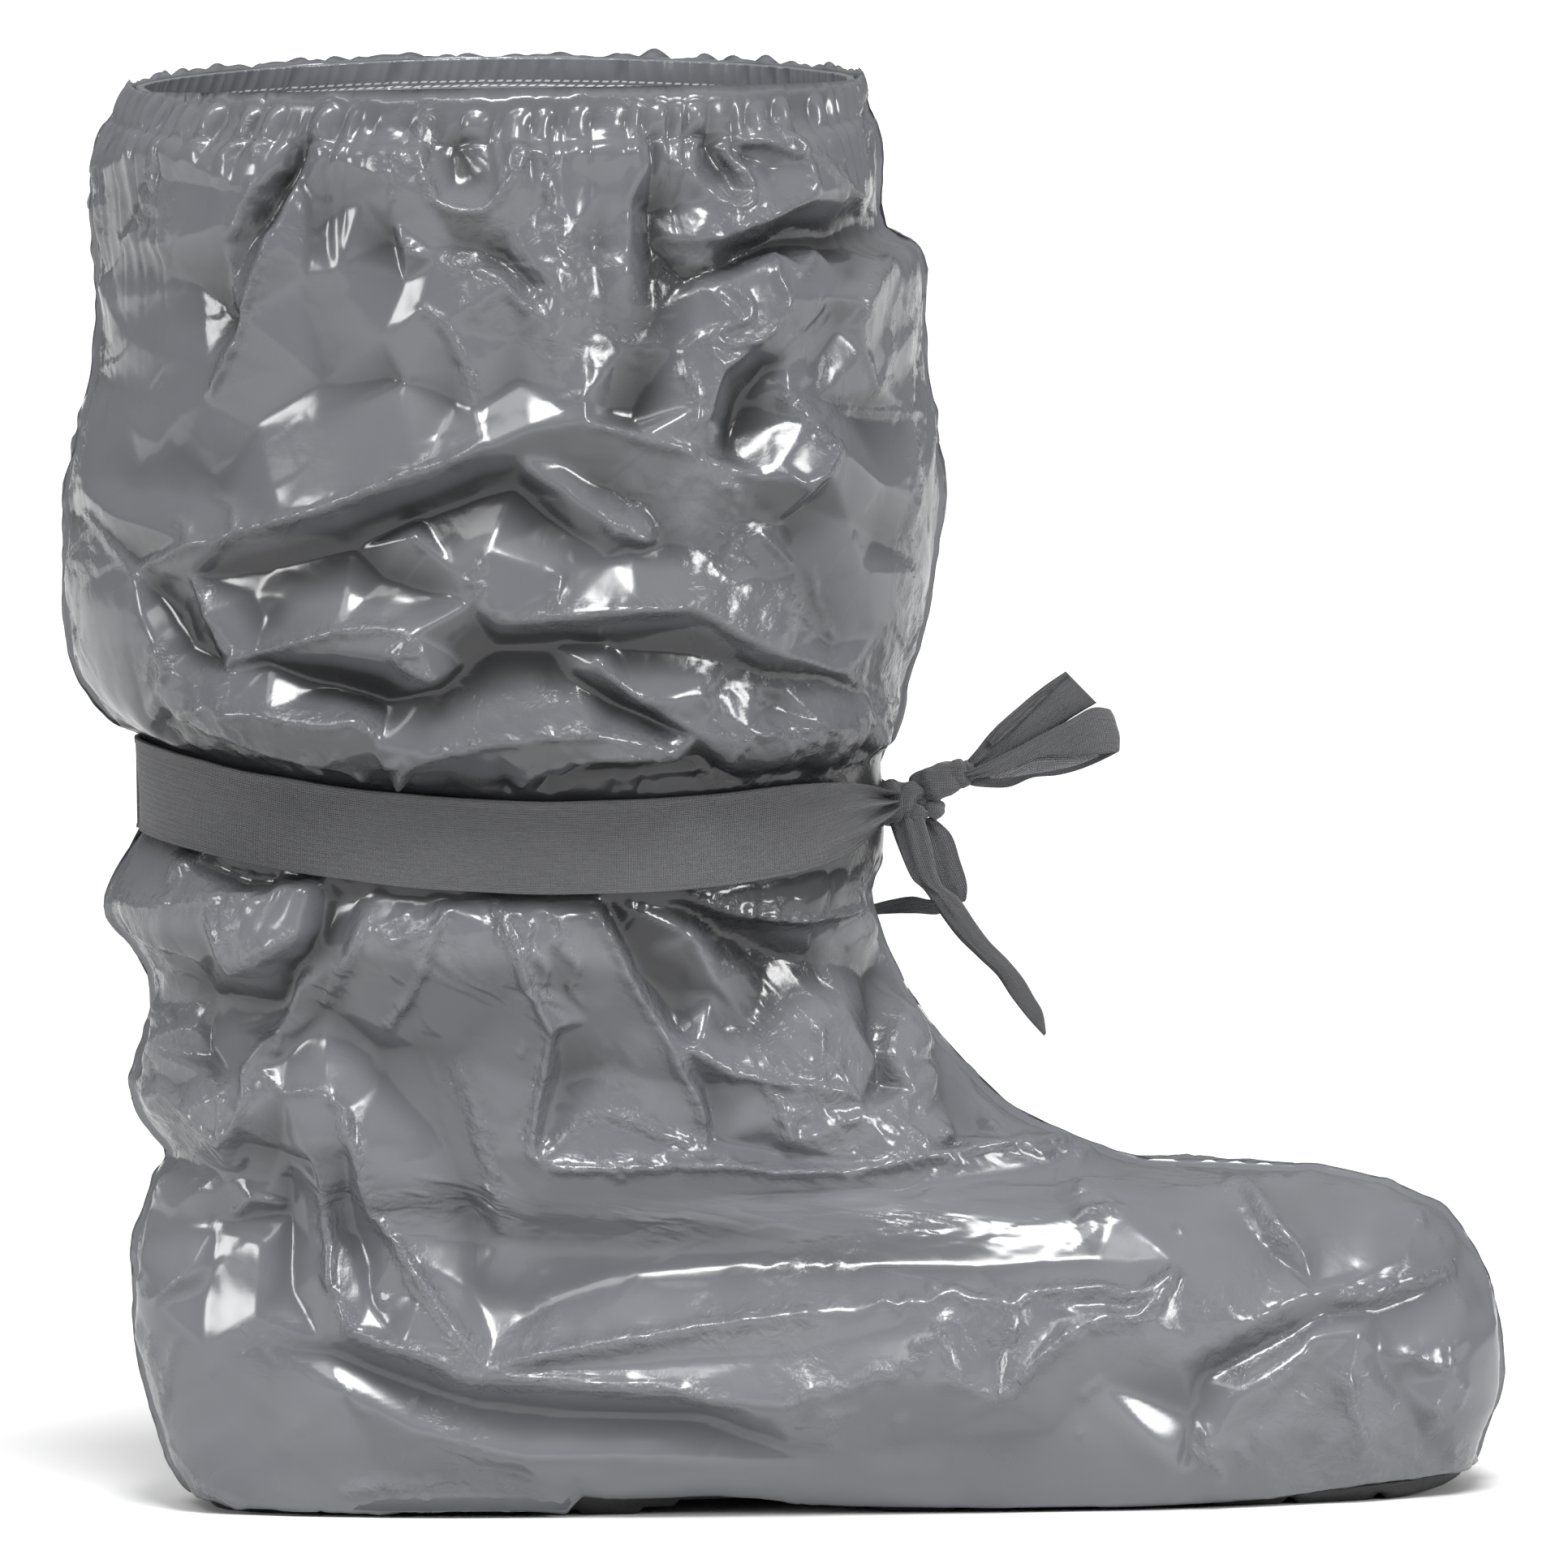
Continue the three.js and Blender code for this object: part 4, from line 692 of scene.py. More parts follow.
    [(220, 83, 1.4), (227.5, 73.5, 1.8), (235, 65.5, 1.6)],
    [(231, 86, 0), (232.5, 77.5, -1.4), (238.5, 69, -1.4)],
    [(202.5, 15.5, -1.6), (204.5, 26.5, -2.6), (207, 35, -3.2), (222, 42.5, -3.8), (234, 48, -4),
     (241, 52, -3.6), (255, 52, -3), (266.5, 54.5, -2.6), (275.5, 58.5, -2)],
    [(200.5, 39.5, 1.6), (220, 49.5, 1.8), (236, 56.5, 1.4), (255.5, 61.5, 1.2), (273.5, 64, .8)],
    [(211.5, 22, 1.8), (217.5, 32.5, 2), (233, 41, 2), (235.5, 45, 1.6), (248.5, 46.5, 1.6)],
    [(238, 38.5, -1), (243, 26.5, -1.4), (236, 12.5, -1)],
    [(254.5, 41, -1), (259.5, 32, -2), (268.5, 17, -1.6)],
    [(245.5, 34, 1.4), (248, 20.5, 1.2)],
    [(260.5, 38.5, 1.6), (263, 39.5, 1.2), (272, 34, 2.2), (273.5, 36.5, 1.6)],
    [(270, 43, 1.6), (274.5, 44.5, 2), (278.5, 42.5, 1.6), (274.5, 41.5, 2.4), (270, 43, 1.6)],
    [(276, 30.5, 1.8), (273.5, 24.5, 1.6), (273, 20, 1)],
    [(268, 26, 1.8), (268.5, 21, 1.6)],
    [(195, 8, 1.4), (199.5, 13.5, 2.4), (201.5, 11, 1.4), (195, 8, 1.4)],
    [(208, 22.5, 1.8), (208, 15, 2.2), (212, 8.5, 1.6)],
    [(219.5, 23, 1.4), (221.5, 18.5, 1.6)],
    [(216.5, 18.5, 1.4), (220, 12.5, 1.4)],
    [(174, 75, 1.2), (179, 77, 2.4), (184.5, 77.5, 2), (184, 80, 1.6)],
    [(200.5, 73.5, 1), (203, 71, 1.4)],
    [(265, 72.5, 1), (266, 74, 1.8), (266.5, 70.5, 1)],
    [(279, 56.5, -1), (283.5, 51.5, -1)],
    [(168, 23, .6), (136, 21.5, .6), (114.5, 17.5, .4)],
    [(174.5, 31.5, 1), (179.5, 35.5, 1.4)],
]


# Sharper folds on top of them: height, half width to the left and right, and the line, in millimetres.
SHAFT_STROKES = [
    (-1.6, 2, 3, [(-20, 377.5), (-22.5, 369.5), (-25.5, 364), (-28.5, 357), (-32.5, 350.5), (-37, 341.5),
     (-40, 337.5)]),
    (1.5, 1.3, 2.5, [(-29, 352.5), (-31, 347.5), (-33, 340), (-34.5, 334.5), (-36.5, 327), (-38.5, 318.5),
     (-40.5, 313.5), (-43.5, 307), (-49.5, 297.5)]),
    (1, 1.3, 2, [(-35, 355.5), (-38.5, 350.5), (-41, 345.5), (-43.5, 339)]),
    (.9, 1.3, 1.5, [(-43.5, 338.5), (-43, 328), (-43, 319.5)]),
    (-.9, 1.5, 2.5, [(-60.5, 337), (-52.5, 327.5), (-43, 319.5)]),
    (1, 1.2, 1.4, [(-35.5, 377), (-37.5, 370.5), (-39.5, 363.5)]),
    (1, 1.2, 1.4, [(-34.5, 376.5), (-36, 368.5), (-35.5, 360.5)]),
    (.8, 1.2, 1.5, [(-20.5, 370.5), (-19, 367.5), (-17, 364)]),
    (-.8, 1.5, 1.5, [(-27, 357.5), (-23.5, 354), (-24, 347), (-24.5, 339), (-25, 331)]),
    (1, 1.2, 1.5, [(-.5, 367.5), (-.5, 360), (-1, 353), (-3, 347)]),
    (1.3, 1.3, 2.2, [(8, 377.5), (6, 370.5), (5.5, 364), (6.5, 357), (9, 350.5), (10.5, 349), (16, 347),
     (20.5, 347), (24.5, 349.5), (25.5, 352.5)]),
    (-1.2, 3, 4, [(14, 368.5), (19.5, 360), (24.5, 352)]),
    (1, 1.2, 1.5, [(-1, 344), (0, 339), (4, 338.5)]),
    (.7, 1.2, 1.3, [(.5, 337), (8.5, 336)]),
    (.7, 1.2, 1.3, [(9.5, 334.5), (16.5, 331)]),
    (.9, 1.2, 1.5, [(19.5, 333), (26, 330)]),
    (.9, 1.3, 2.5, [(5, 323), (10.5, 319.5), (14.5, 312.5), (17.5, 304), (19, 297)]),
    (-.6, 2, 3, [(-24.5, 300.5), (-14, 302), (-5.5, 304), (-.5, 303), (7, 302), (12.5, 300.5)]),
    (.9, 1.3, 2, [(-62, 365), (-64, 358), (-66, 349.5), (-69.5, 341), (-74.5, 336)]),
    (-.8, 1.5, 2, [(-76.5, 358.5), (-70, 362.5), (-62, 365.5)]),
    (1.3, 1.3, 2.5, [(28, 367), (33.5, 364.5), (31, 360.5), (27.5, 353.5), (23.5, 349.5)]),
    (.9, 1.2, 1.4, [(33.5, 364.5), (37, 362.5), (38.5, 359.5), (37.5, 353), (39.5, 346.5), (42.5, 343.5)]),
    (-.9, 1.5, 2, [(23.5, 349), (28.5, 341), (32.5, 334.5), (36, 329.5)]),
    (1.2, 1.3, 2.2, [(22, 332.5), (27, 329), (31.5, 322.5), (36.5, 328)]),
    (.6, 1.2, 1.2, [(38.5, 317), (39, 307), (40, 303.5)]),
    (.8, 1.2, 1.4, [(39, 298), (46.5, 299), (46.5, 292.5)]),
    (-.8, 1.5, 1.5, [(47.5, 309), (46.5, 292.5)]),
    (-.8, 1.5, 1.5, [(55, 309), (53.5, 293)]),
    (-.9, 2, 2, [(63, 310.5), (60, 290.5)]),
    (-1.2, 1.2, 2.5, [(66, 369), (66, 359), (66, 346.5), (66.5, 339.5), (67, 329.5), (66, 317),
     (62.5, 308.5)]),
    (-1.4, 3, 3, [(68.5, 366), (75.5, 358.5), (82, 352), (87.5, 348)]),
    (1, 1.2, 1.4, [(84.5, 361.5), (87.5, 357), (89.5, 352.5), (88.5, 347.5), (84.5, 347), (80, 349)]),
    (1, 1.2, 1.6, [(91.5, 369), (89.5, 365.5), (94, 365), (102, 359.5), (104.5, 356), (105, 348.5)]),
    (1.4, 1.3, 3, [(105, 348.5), (102.5, 346.5), (97, 344.5), (90.5, 341.5), (82, 337.5)]),
    (-1.4, 3, 3, [(67, 339.5), (73, 335.5), (77.5, 333.5), (86, 338), (95, 340.5), (108, 340),
     (120.5, 333.5)]),
    (1.3, 1.3, 2, [(90, 377), (94.5, 372.5), (98.5, 368), (105, 360), (109.5, 355.5), (116, 349.5),
     (122, 343.5), (128.5, 337.5), (134.5, 332.5)]),
    (1.2, 1.2, 1.5, [(97, 334), (96, 328.5), (98.5, 322.5), (96, 317), (91, 312), (83.5, 311), (78, 314)]),
    (.9, 1.2, 1.4, [(79, 326.5), (83.5, 321.5), (86.5, 317)]),
    (.9, 1.2, 1.4, [(87, 324.5), (89.5, 322), (89, 318), (79, 314.5), (72, 310.5)]),
    (1.1, 1.2, 1.5, [(71.5, 310.5), (73.5, 303), (75, 297.5), (74.5, 291.5), (71, 287)]),
    (1, 1.2, 1.4, [(89, 310), (82, 305), (79.5, 299.5), (78.5, 293.5), (76.5, 290.5)]),
    (.8, 1.2, 1.3, [(78, 314), (80, 308), (82, 305)]),
    (.8, 1.2, 1.3, [(81, 326), (84.5, 327), (88.5, 322)]),
    (.9, 1.2, 1.4, [(108.5, 334), (106, 331), (103, 328), (98.5, 333)]),
    (.7, 1.2, 1.2, [(108, 324), (106.5, 319.5), (102, 315), (98.5, 311.5), (96.5, 307.5)]),
    (-1.5, 3, 5, [(121, 330.5), (110, 315), (99.5, 305), (90.5, 294), (85, 283.5)]),
    (1.1, 1.2, 2, [(97.5, 301), (99, 295), (103.5, 290), (110, 283), (106.5, 276), (101, 273.5)]),
    (1.2, 1.2, 2, [(117.5, 315), (119.5, 321.5), (124, 326.5), (130, 332)]),
    (.9, 1.2, 1.5, [(117.5, 315), (118.5, 308), (121.5, 301.5), (123.5, 296.5), (126.5, 302), (128, 309),
     (129, 317.5), (132, 323.5)]),
    (.8, 1.2, 1.3, [(107.5, 294), (118, 292), (129, 290.5), (139.5, 289)]),
    (1, 1.3, 2.5, [(46.5, 292), (55.5, 290), (64, 286.5), (73.5, 284), (84.5, 282)]),
    (1, 1.3, 2, [(-84, 267), (-78, 261), (-70.5, 253.5), (-66.5, 248)]),
    (1, 1.3, 2.2, [(-70.5, 253.5), (-61, 257), (-52.5, 260.5), (-42, 262.5), (-41, 266)]),
    (1.1, 1.3, 2.5, [(-41, 264), (-29.5, 267), (-16.5, 271.5), (0, 279), (13, 283), (21.5, 288.5)]),
    (.8, 1.2, 1.5, [(-54, 260.5), (-54.5, 264.5), (-58.5, 266.5)]),
    (.8, 1.2, 1.5, [(-42, 262.5), (-43.5, 270), (-50, 273)]),
    (1.2, 1.2, 1.6, [(-54.5, 253), (-52, 246.5), (-49.5, 239), (-48, 229.5)]),
    (1, 1.2, 1.4, [(-43, 233), (-44.5, 230), (-46, 228)]),
    (1.2, 1.3, 2.2, [(-38.5, 232.5), (-30, 235.5), (-16, 239.5), (-6.5, 240), (.5, 240)]),
    (1.2, 1.2, 1.8, [(3, 239), (.5, 235), (-1, 232), (2.5, 229.5), (8, 226.5)]),
    (1, 1.2, 1.4, [(-4.5, 233.5), (-.5, 233.5), (5, 234)]),
    (.9, 1.2, 1.4, [(-64.5, 233), (-65, 227.5), (-65.5, 222)]),
    (1.1, 1.2, 1.6, [(-63.5, 234), (-62, 231), (-60, 227.5), (-62, 223.5)]),
    (.8, 1.2, 1.4, [(-56, 226.5), (-51, 228), (-45.5, 229), (-42.5, 231), (-38.5, 232.5)]),
    (1.3, 1.2, 1.5, [(-56, 216.5), (-53, 218.5), (-49, 220)]),
    (1.4, 1.2, 1.6, [(-46, 218), (-40.5, 219.5), (-33, 219), (-26, 217.5), (-17.5, 216.5), (-12, 217.5),
     (-8.5, 215), (-7, 213), (-5, 211.5)]),
    (1.3, 1.2, 1.6, [(-44.5, 218), (-42, 214.5), (-38.5, 211), (-33, 210), (-27, 208.5), (-19, 206)]),
    (.9, 1.2, 1.4, [(-42.5, 218.5), (-39, 215.5), (-37.5, 211.5)]),
    (1.1, 1.2, 1.5, [(-25, 208), (-21.5, 209), (-19, 206.5), (-15.5, 209.5)]),
    (1, 1.2, 1.5, [(-16.5, 210.5), (-13, 204), (-10, 199), (-6, 194.5)]),
    (1.2, 1.2, 1.5, [(-5, 211), (-6.5, 208.5), (-4.5, 206), (-.5, 207), (1.5, 205), (-1, 203), (-2, 199.5),
     (-2.5, 194.5)]),
    (.9, 1.2, 1.3, [(-6.5, 203), (-4.5, 205), (-.5, 206)]),
    (.9, 1.3, 2, [(2.5, 206), (12, 209), (25, 211), (31, 212)]),
    (1.2, 1.2, 1.6, [(31.5, 212.5), (41.5, 212.5), (50.5, 212.5), (59, 210.5), (65, 208.5), (68.5, 204)]),
    (1.4, 1.2, 1.4, [(41, 205), (48, 206), (56.5, 206), (64, 205), (68, 204)]),
    (1, 1.3, 1.6, [(28, 196.5), (32, 201.5), (37.5, 204), (41, 205)]),
    (1.1, 1.2, 1.6, [(46.5, 228.5), (49, 231.5), (50.5, 227.5), (56.5, 222), (63, 217.5), (69.5, 213.5),
     (73.5, 211)]),
    (.9, 1.2, 1.4, [(37.5, 213.5), (37, 211.5)]),
    (.8, 1.2, 1.5, [(75.5, 221.5), (76.5, 218.5), (78, 216.5)]),
    (1.1, 1.2, 1.5, [(81, 203), (83.5, 206.5), (88, 211), (91, 209)]),
    (1.1, 1.2, 1.4, [(88, 211), (93, 210.5), (96.5, 211.5), (103, 211.5), (111, 209.5)]),
    (1.1, 1.2, 1.3, [(95.5, 210.5), (96, 205.5), (98, 207.5), (99.5, 206), (101, 208.5), (104, 209.5)]),
    (1, 1.3, 1.6, [(107.5, 190), (113.5, 194.5), (118, 197), (122, 197)]),
    (1.2, 1.2, 1.3, [(121, 205), (123, 201), (125.5, 195)]),
    (1.2, 1.2, 1.3, [(132.5, 215.5), (130, 211), (128, 207), (124, 203), (122.5, 202.5)]),
    (1.1, 1.2, 1.3, [(131.5, 210), (129.5, 204), (128, 200.5)]),
    (.9, 1.2, 1.2, [(118.5, 217.5), (120.5, 212), (121.5, 207)]),
    (.9, 1.2, 1.2, [(126, 220), (125, 214.5), (128, 208.5)]),
    (-1.2, 2, 3, [(32, 274), (38, 267), (44.5, 262.5), (50.5, 260.5)]),
    (-1.2, 2, 3, [(29.5, 277.5), (40.5, 280.5), (51, 275), (63, 270)]),
    (1, 1.2, 1.5, [(51, 269), (52.5, 264.5), (57, 262), (62.5, 260)]),
    (.9, 1.2, 1.3, [(36, 254), (40, 253), (37.5, 245.5), (42, 243.5)]),
    (1, 1.2, 1.3, [(21, 259), (19.5, 254.5), (16.5, 251.5), (20, 250.5), (17, 245.5)]),
    (.8, 1.2, 1.3, [(23.5, 245.5), (23, 243.5)]),
    (.8, 1.2, 1.3, [(1.5, 263.5), (5, 259)]),
    (1.2, 2, 3, [(26, 240.5), (42, 242.5), (59, 244), (69.5, 244), (71.5, 242)]),
    (-1, 1.5, 2.5, [(71.5, 238.5), (78, 239), (82.5, 235.5), (85.5, 231)]),
    (.7, 1.2, 1.5, [(80.5, 274), (86, 273.5), (85, 265.5)]),
    (-.8, 1.5, 2, [(86, 265.5), (93.5, 265), (100, 264.5)]),
    (.9, 1.2, 1.5, [(95, 278), (98, 275.5), (101, 273)]),
    (.8, 1.2, 1.8, [(92.5, 262), (98, 256.5), (102, 251.5)]),
    (.7, 1.3, 2, [(106.5, 253.5), (108.5, 243), (113, 231.5)]),
    (.7, 1.3, 2, [(134.5, 302), (135, 287), (136, 270), (135, 253)]),
]
FOOT_STROKES = [
    (1, 1.3, 2, [(-54.5, 180.5), (-54.5, 177), (-56.5, 173), (-61.5, 168)]),
    (1.8, 1.5, 2.1, [(-74, 162.5), (-66.5, 162), (-58, 163.5), (-45.5, 166), (-34.5, 166)]),
    (1.2, 1.2, 1.5, [(-51.5, 162.5), (-48.5, 164.5), (-47, 160), (-44, 155)]),
    (1, 1.2, 1.4, [(-41, 161), (-38, 164.5), (-34.5, 166)]),
    (1.2, 1.2, 1.8, [(-34.5, 166), (-28.5, 170), (-22.5, 173.5)]),
    (2.1, 1.4, 1.7, [(-51.5, 162), (-48.5, 156.5), (-44, 151), (-39, 153.5), (-33, 155), (-27, 157)]),
    (1.1, 1.2, 1.4, [(-73.5, 156), (-68.5, 154), (-63.5, 153.5), (-59, 151)]),
    (1, 1.2, 1.4, [(-68.5, 152), (-64.5, 146.5), (-61.5, 149)]),
    (1.1, 1.2, 1.4, [(-65.5, 137.5), (-63, 134.5), (-63.5, 129.5)]),
    (.9, 1.2, 1.4, [(-63, 134.5), (-60, 132.5), (-58.5, 129.5)]),
    (1.2, 1.2, 1.5, [(-71, 116.5), (-68, 121), (-63.5, 125), (-59.5, 128), (-56, 129)]),
    (.9, 1.2, 1.4, [(-68, 117.5), (-64, 113.5), (-60, 105)]),
    (1.2, 1.2, 1.5, [(-64.5, 112.5), (-58, 108.5), (-50, 102.5), (-47.5, 101)]),
    (1.2, 1.2, 1.4, [(-51.5, 118), (-48, 112), (-47.5, 101)]),
    (1.1, 1.2, 1.4, [(-45, 117), (-48, 112)]),
    (2.1, 1.4, 1.7, [(-47.5, 101), (-43, 106.5), (-41, 112.5), (-40.5, 119), (-37, 125), (-34, 129),
     (-33, 124)]),
    (.9, 1.2, 1.5, [(-34, 129), (-31, 136.5), (-28.5, 145)]),
    (1, 1.2, 1.5, [(-40, 119), (-37, 119), (-31.5, 114), (-25.5, 115), (-20, 115)]),
    (2.4, 1.7, 2.3, [(-20, 115), (-16, 109.5), (-14.5, 102.5), (-11.5, 93.5), (-6.5, 82.5), (-1.5, 70.5),
     (4.5, 60.5), (11, 51.5), (19.5, 40.5)]),
    (1, 1.2, 1.4, [(-1.5, 69.5), (-1, 63), (2.5, 59), (5.5, 60)]),
    (1, 1.2, 1.4, [(1.5, 66.5), (4.5, 63), (7.5, 58)]),
    (1.1, 1.2, 1.8, [(-25.5, 98.5), (-23, 94.5), (-21.5, 91)]),
    (2.2, 1.5, 1.7, [(-21.5, 91), (-21, 80), (-20.5, 67), (-20.5, 62), (-18, 59)]),
    (2.2, 1.5, 1.8, [(-18.5, 58.5), (-17, 53.5), (-15, 50), (-8.5, 47), (-2, 45.5), (8.5, 42), (14, 38.5)]),
    (.9, 1.2, 1.3, [(-9, 59.5), (-7, 57.5), (-5, 59)]),
    (-1.2, 1.5, 2.5, [(-32, 95), (-32, 80), (-33.5, 61.5)]),
    (-.9, 1.5, 2.5, [(-55, 61), (-53, 75), (-52, 83.5)]),
    (-1.2, 1.5, 2.5, [(-47, 94.5), (-44, 91), (-38, 86.5), (-32, 83.5)]),
    (1, 1.3, 1.6, [(-47.5, 80), (-41.5, 84.5), (-34, 83.5)]),
    (1.1, 1.2, 1.4, [(-68, 83), (-65, 86), (-62.5, 89)]),
    (.9, 1.2, 1.4, [(-65.5, 56), (-63, 59.5), (-57, 65)]),
    (1, 1.2, 1.3, [(-45, 93), (-43.5, 97.5)]),
    (.9, 1.2, 1.3, [(-72, 57.5), (-70, 62.5)]),
    (2.1, 1.5, 2.3, [(19.5, 40.5), (30, 43.5), (44.5, 46), (62, 48.5), (79, 51), (96, 52.5),
     (105.5, 53.5)]),
    (1.2, 1.2, 1.5, [(119, 54.5), (123.5, 56.5), (127, 54), (130, 56.5), (134.5, 54.5)]),
    (1.3, 1.2, 1.6, [(134.5, 54.5), (137.5, 56.5), (141.5, 58), (145, 56.5), (148, 55.5), (155, 55)]),
    (1.1, 1.2, 1.4, [(155, 55), (157.5, 53.5), (160.5, 56.5), (162.5, 57)]),
    (2.1, 1.5, 1.8, [(162.5, 57), (171, 57), (179.5, 57.5), (188, 56), (192.5, 56.5), (197, 59),
     (200.5, 62.5)]),
    (1.1, 1.2, 1.4, [(134.5, 60), (136.5, 60.5), (136.5, 58)]),
    (2.1, 1.5, 2.3, [(14, 38.5), (29.5, 38.5), (51, 37), (68, 36), (78.5, 33.5), (88, 32)]),
    (1.2, 1.2, 1.5, [(96.5, 31.5), (101, 33.5), (104, 35.5), (108.5, 34.5), (115, 36.5)]),
    (1.2, 1.2, 1.5, [(115, 36.5), (119, 38), (121.5, 40), (125.5, 38), (127, 41)]),
    (1.1, 1.2, 1.5, [(126.5, 40), (130, 42), (132, 39.5), (134, 44.5), (136.5, 47.5)]),
    (1, 1.2, 1.5, [(129, 44.5), (132, 46.5), (136.5, 47.5), (138.5, 50.5), (142.5, 51)]),
    (1, 1.2, 1.5, [(136.5, 47.5), (139.5, 44), (141.5, 39), (139.5, 37)]),
    (.9, 1.2, 1.5, [(145, 51.5), (148, 48.5), (150, 49.5), (152.5, 46)]),
    (1.3, 1.2, 1.5, [(155.5, 53), (157, 49), (156, 44), (154.5, 37.5), (153.5, 32)]),
    (2.2, 1.6, 2.1, [(153.5, 32), (157, 35.5), (160, 39), (164, 42.5), (168.5, 46), (173.5, 48)]),
    (1.1, 1.2, 1.5, [(164, 52), (167.5, 53.5), (175, 52), (179, 52), (185.5, 50)]),
    (1.9, 1.4, 1.8, [(173.5, 48), (179, 50), (185.5, 50), (189, 50.5), (192, 52.5), (195.5, 55.5),
     (200.5, 61.5)]),
    (1, 1.2, 1.4, [(136, 37), (144.5, 36), (153.5, 32)]),
    (1.2, 1.2, 1.4, [(196.5, 60.5), (198.5, 58.5), (200, 61)]),
    (.8, 1.3, 2, [(100, 27.5), (108.5, 28.5), (117, 30)]),
    (.8, 1.2, 1.6, [(104, 22), (110.5, 23)]),
    (.7, 1.2, 1.6, [(125.5, 26), (129.5, 27)]),
    (.8, 1.2, 1.4, [(78, 22), (79, 19.5)]),
    (.8, 1.2, 1.4, [(-17.5, 35.5), (-15, 31), (-11.5, 29)]),
    (.7, 1.2, 1.4, [(-1, 30), (1, 31.5)]),
    (2.4, 1.6, 1.8, [(21.5, 168), (25.5, 157.5), (29, 148.5), (33, 143), (36, 137), (37, 134.5), (36, 126),
     (34.5, 119), (32.5, 110.5), (31.5, 102), (31.5, 98), (35, 95)]),
    (2.4, 1.5, 1.8, [(35, 95), (45.5, 94.5), (54, 94.5), (62.5, 94)]),
    (1.2, 1.2, 1.5, [(49.5, 95), (54, 92), (58, 95.5), (62.5, 93.5), (65, 96), (66.5, 92.5)]),
    (2.2, 1.5, 1.7, [(62.5, 94), (69, 94.5), (84, 93.5), (94.5, 91), (114, 90)]),
    (1.4, 1.5, 2.5, [(114, 90), (127, 91.5), (144.5, 93.5)]),
    (2.1, 1.5, 1.7, [(144.5, 93.5), (160, 92.5), (175.5, 91.5), (181, 90), (185, 89)]),
    (1, 1.2, 1.4, [(160, 91.5), (165.5, 90), (171, 90), (176, 88), (181, 90)]),
    (2.2, 1.7, 2.3, [(47.5, 167), (51, 159), (56.5, 147.5), (62.5, 136.5), (67, 127), (72.5, 116.5),
     (76, 107.5), (76.5, 98.5)]),
    (1, 1.3, 1.8, [(33.5, 97.5), (41, 104), (48.5, 110)]),
    (1.4, 1.5, 2.5, [(48.5, 110), (56, 107.5), (62.5, 104.5), (71, 101), (76.5, 98.5)]),
    (.9, 1.2, 1.4, [(28.5, 126), (30.5, 130.5)]),
    (1, 1.2, 1.5, [(-9, 159), (-5.5, 157), (-3, 156), (1, 158), (5.5, 158.5), (7, 160)]),
    (1, 1.2, 1.4, [(-8.5, 159), (-4, 160.5), (0, 163), (2, 160.5), (5.5, 161), (7.5, 164), (12, 164.5)]),
    (1.8, 1.4, 1.6, [(12, 164.5), (8.5, 161.5), (6.5, 155.5), (3, 148.5), (.5, 143), (-5.5, 132)]),
    (1.3, 1.5, 3.5, [(-22.5, 137), (-19, 146), (-13.5, 157.5), (-11.5, 164)]),
    (-.8, 2, 3, [(3, 126), (8, 102.5), (15.5, 80.5), (16, 61)]),
    (1.3, 2.3, 3.5, [(12.5, 124), (20, 98), (24, 76)]),
    (-.9, 1.5, 3, [(-8, 115.5), (-8.5, 124), (-5.5, 131.5)]),
    (1.8, 1.5, 1.8, [(71.5, 166.5), (78, 163), (82, 161.5), (91, 160), (97.5, 158.5), (111.5, 158),
     (117, 158)]),
    (1, 1.3, 1.8, [(117, 158), (122, 151), (125, 148)]),
    (-1.4, 1.5, 2.5, [(124.5, 150.5), (123.5, 140.5), (124.5, 124), (125, 113)]),
    (1.9, 1.5, 3.5, [(65.5, 131), (73.5, 126), (84, 120.5), (95, 116.5), (105.5, 114), (117, 110)]),
    (1.1, 1.2, 1.4, [(82, 121.5), (84, 118), (83, 116.5)]),
    (1.3, 1.2, 1.5, [(91, 116), (92.5, 112.5), (95.5, 109.5), (95, 105.5), (97, 103.5), (97.5, 99),
     (99, 101.5)]),
    (1, 1.2, 1.4, [(110.5, 105), (112, 103), (117, 104.5)]),
    (1.1, 1.2, 1.4, [(106.5, 130), (106, 121.5), (106.5, 113)]),
    (.8, 1.2, 1.6, [(110.5, 121), (113.5, 113.5), (115, 110), (110, 111.5)]),
    (1.1, 1.2, 1.3, [(130, 120.5), (132, 119), (131, 117.5)]),
    (1.2, 1.2, 1.3, [(135, 116), (136.5, 114.5), (138, 112)]),
    (1, 1.2, 1.3, [(133, 104.5), (135.5, 106), (136.5, 108.5)]),
    (1.2, 1.2, 1.4, [(138, 100), (141.5, 97.5), (144, 96), (149, 95), (150.5, 93.5)]),
    (1, 1.2, 1.3, [(151.5, 100.5), (153.5, 97.5), (155, 95.5)]),
    (-1, 1.5, 2.5, [(141.5, 118), (143, 108), (143.5, 95.5)]),
    (-.8, 1.5, 2.5, [(149, 109), (150.5, 99.5)]),
    (.9, 1.2, 1.4, [(129, 100), (132.5, 97.5), (136, 94)]),
    (-1, 2, 3, [(213, 81.5), (221, 74), (229.5, 65.5), (237.5, 58.5)]),
    (.9, 1.3, 2.5, [(220, 83), (227.5, 73.5), (235, 65.5)]),
    (-.9, 1.5, 2.5, [(231, 86), (232.5, 77.5), (238.5, 69)]),
    (1.1, 1.3, 1.8, [(213.5, 81.5), (218, 84), (222.5, 84.5)]),
    (1.2, 1.3, 1.6, [(201.5, 86.5), (209, 86.5), (215.5, 84.5)]),
    (-1.3, 2, 4, [(202.5, 15.5), (204.5, 26.5), (207, 35), (222, 42.5), (234, 48), (241, 52), (255, 52),
     (266.5, 54.5), (275.5, 58.5)]),
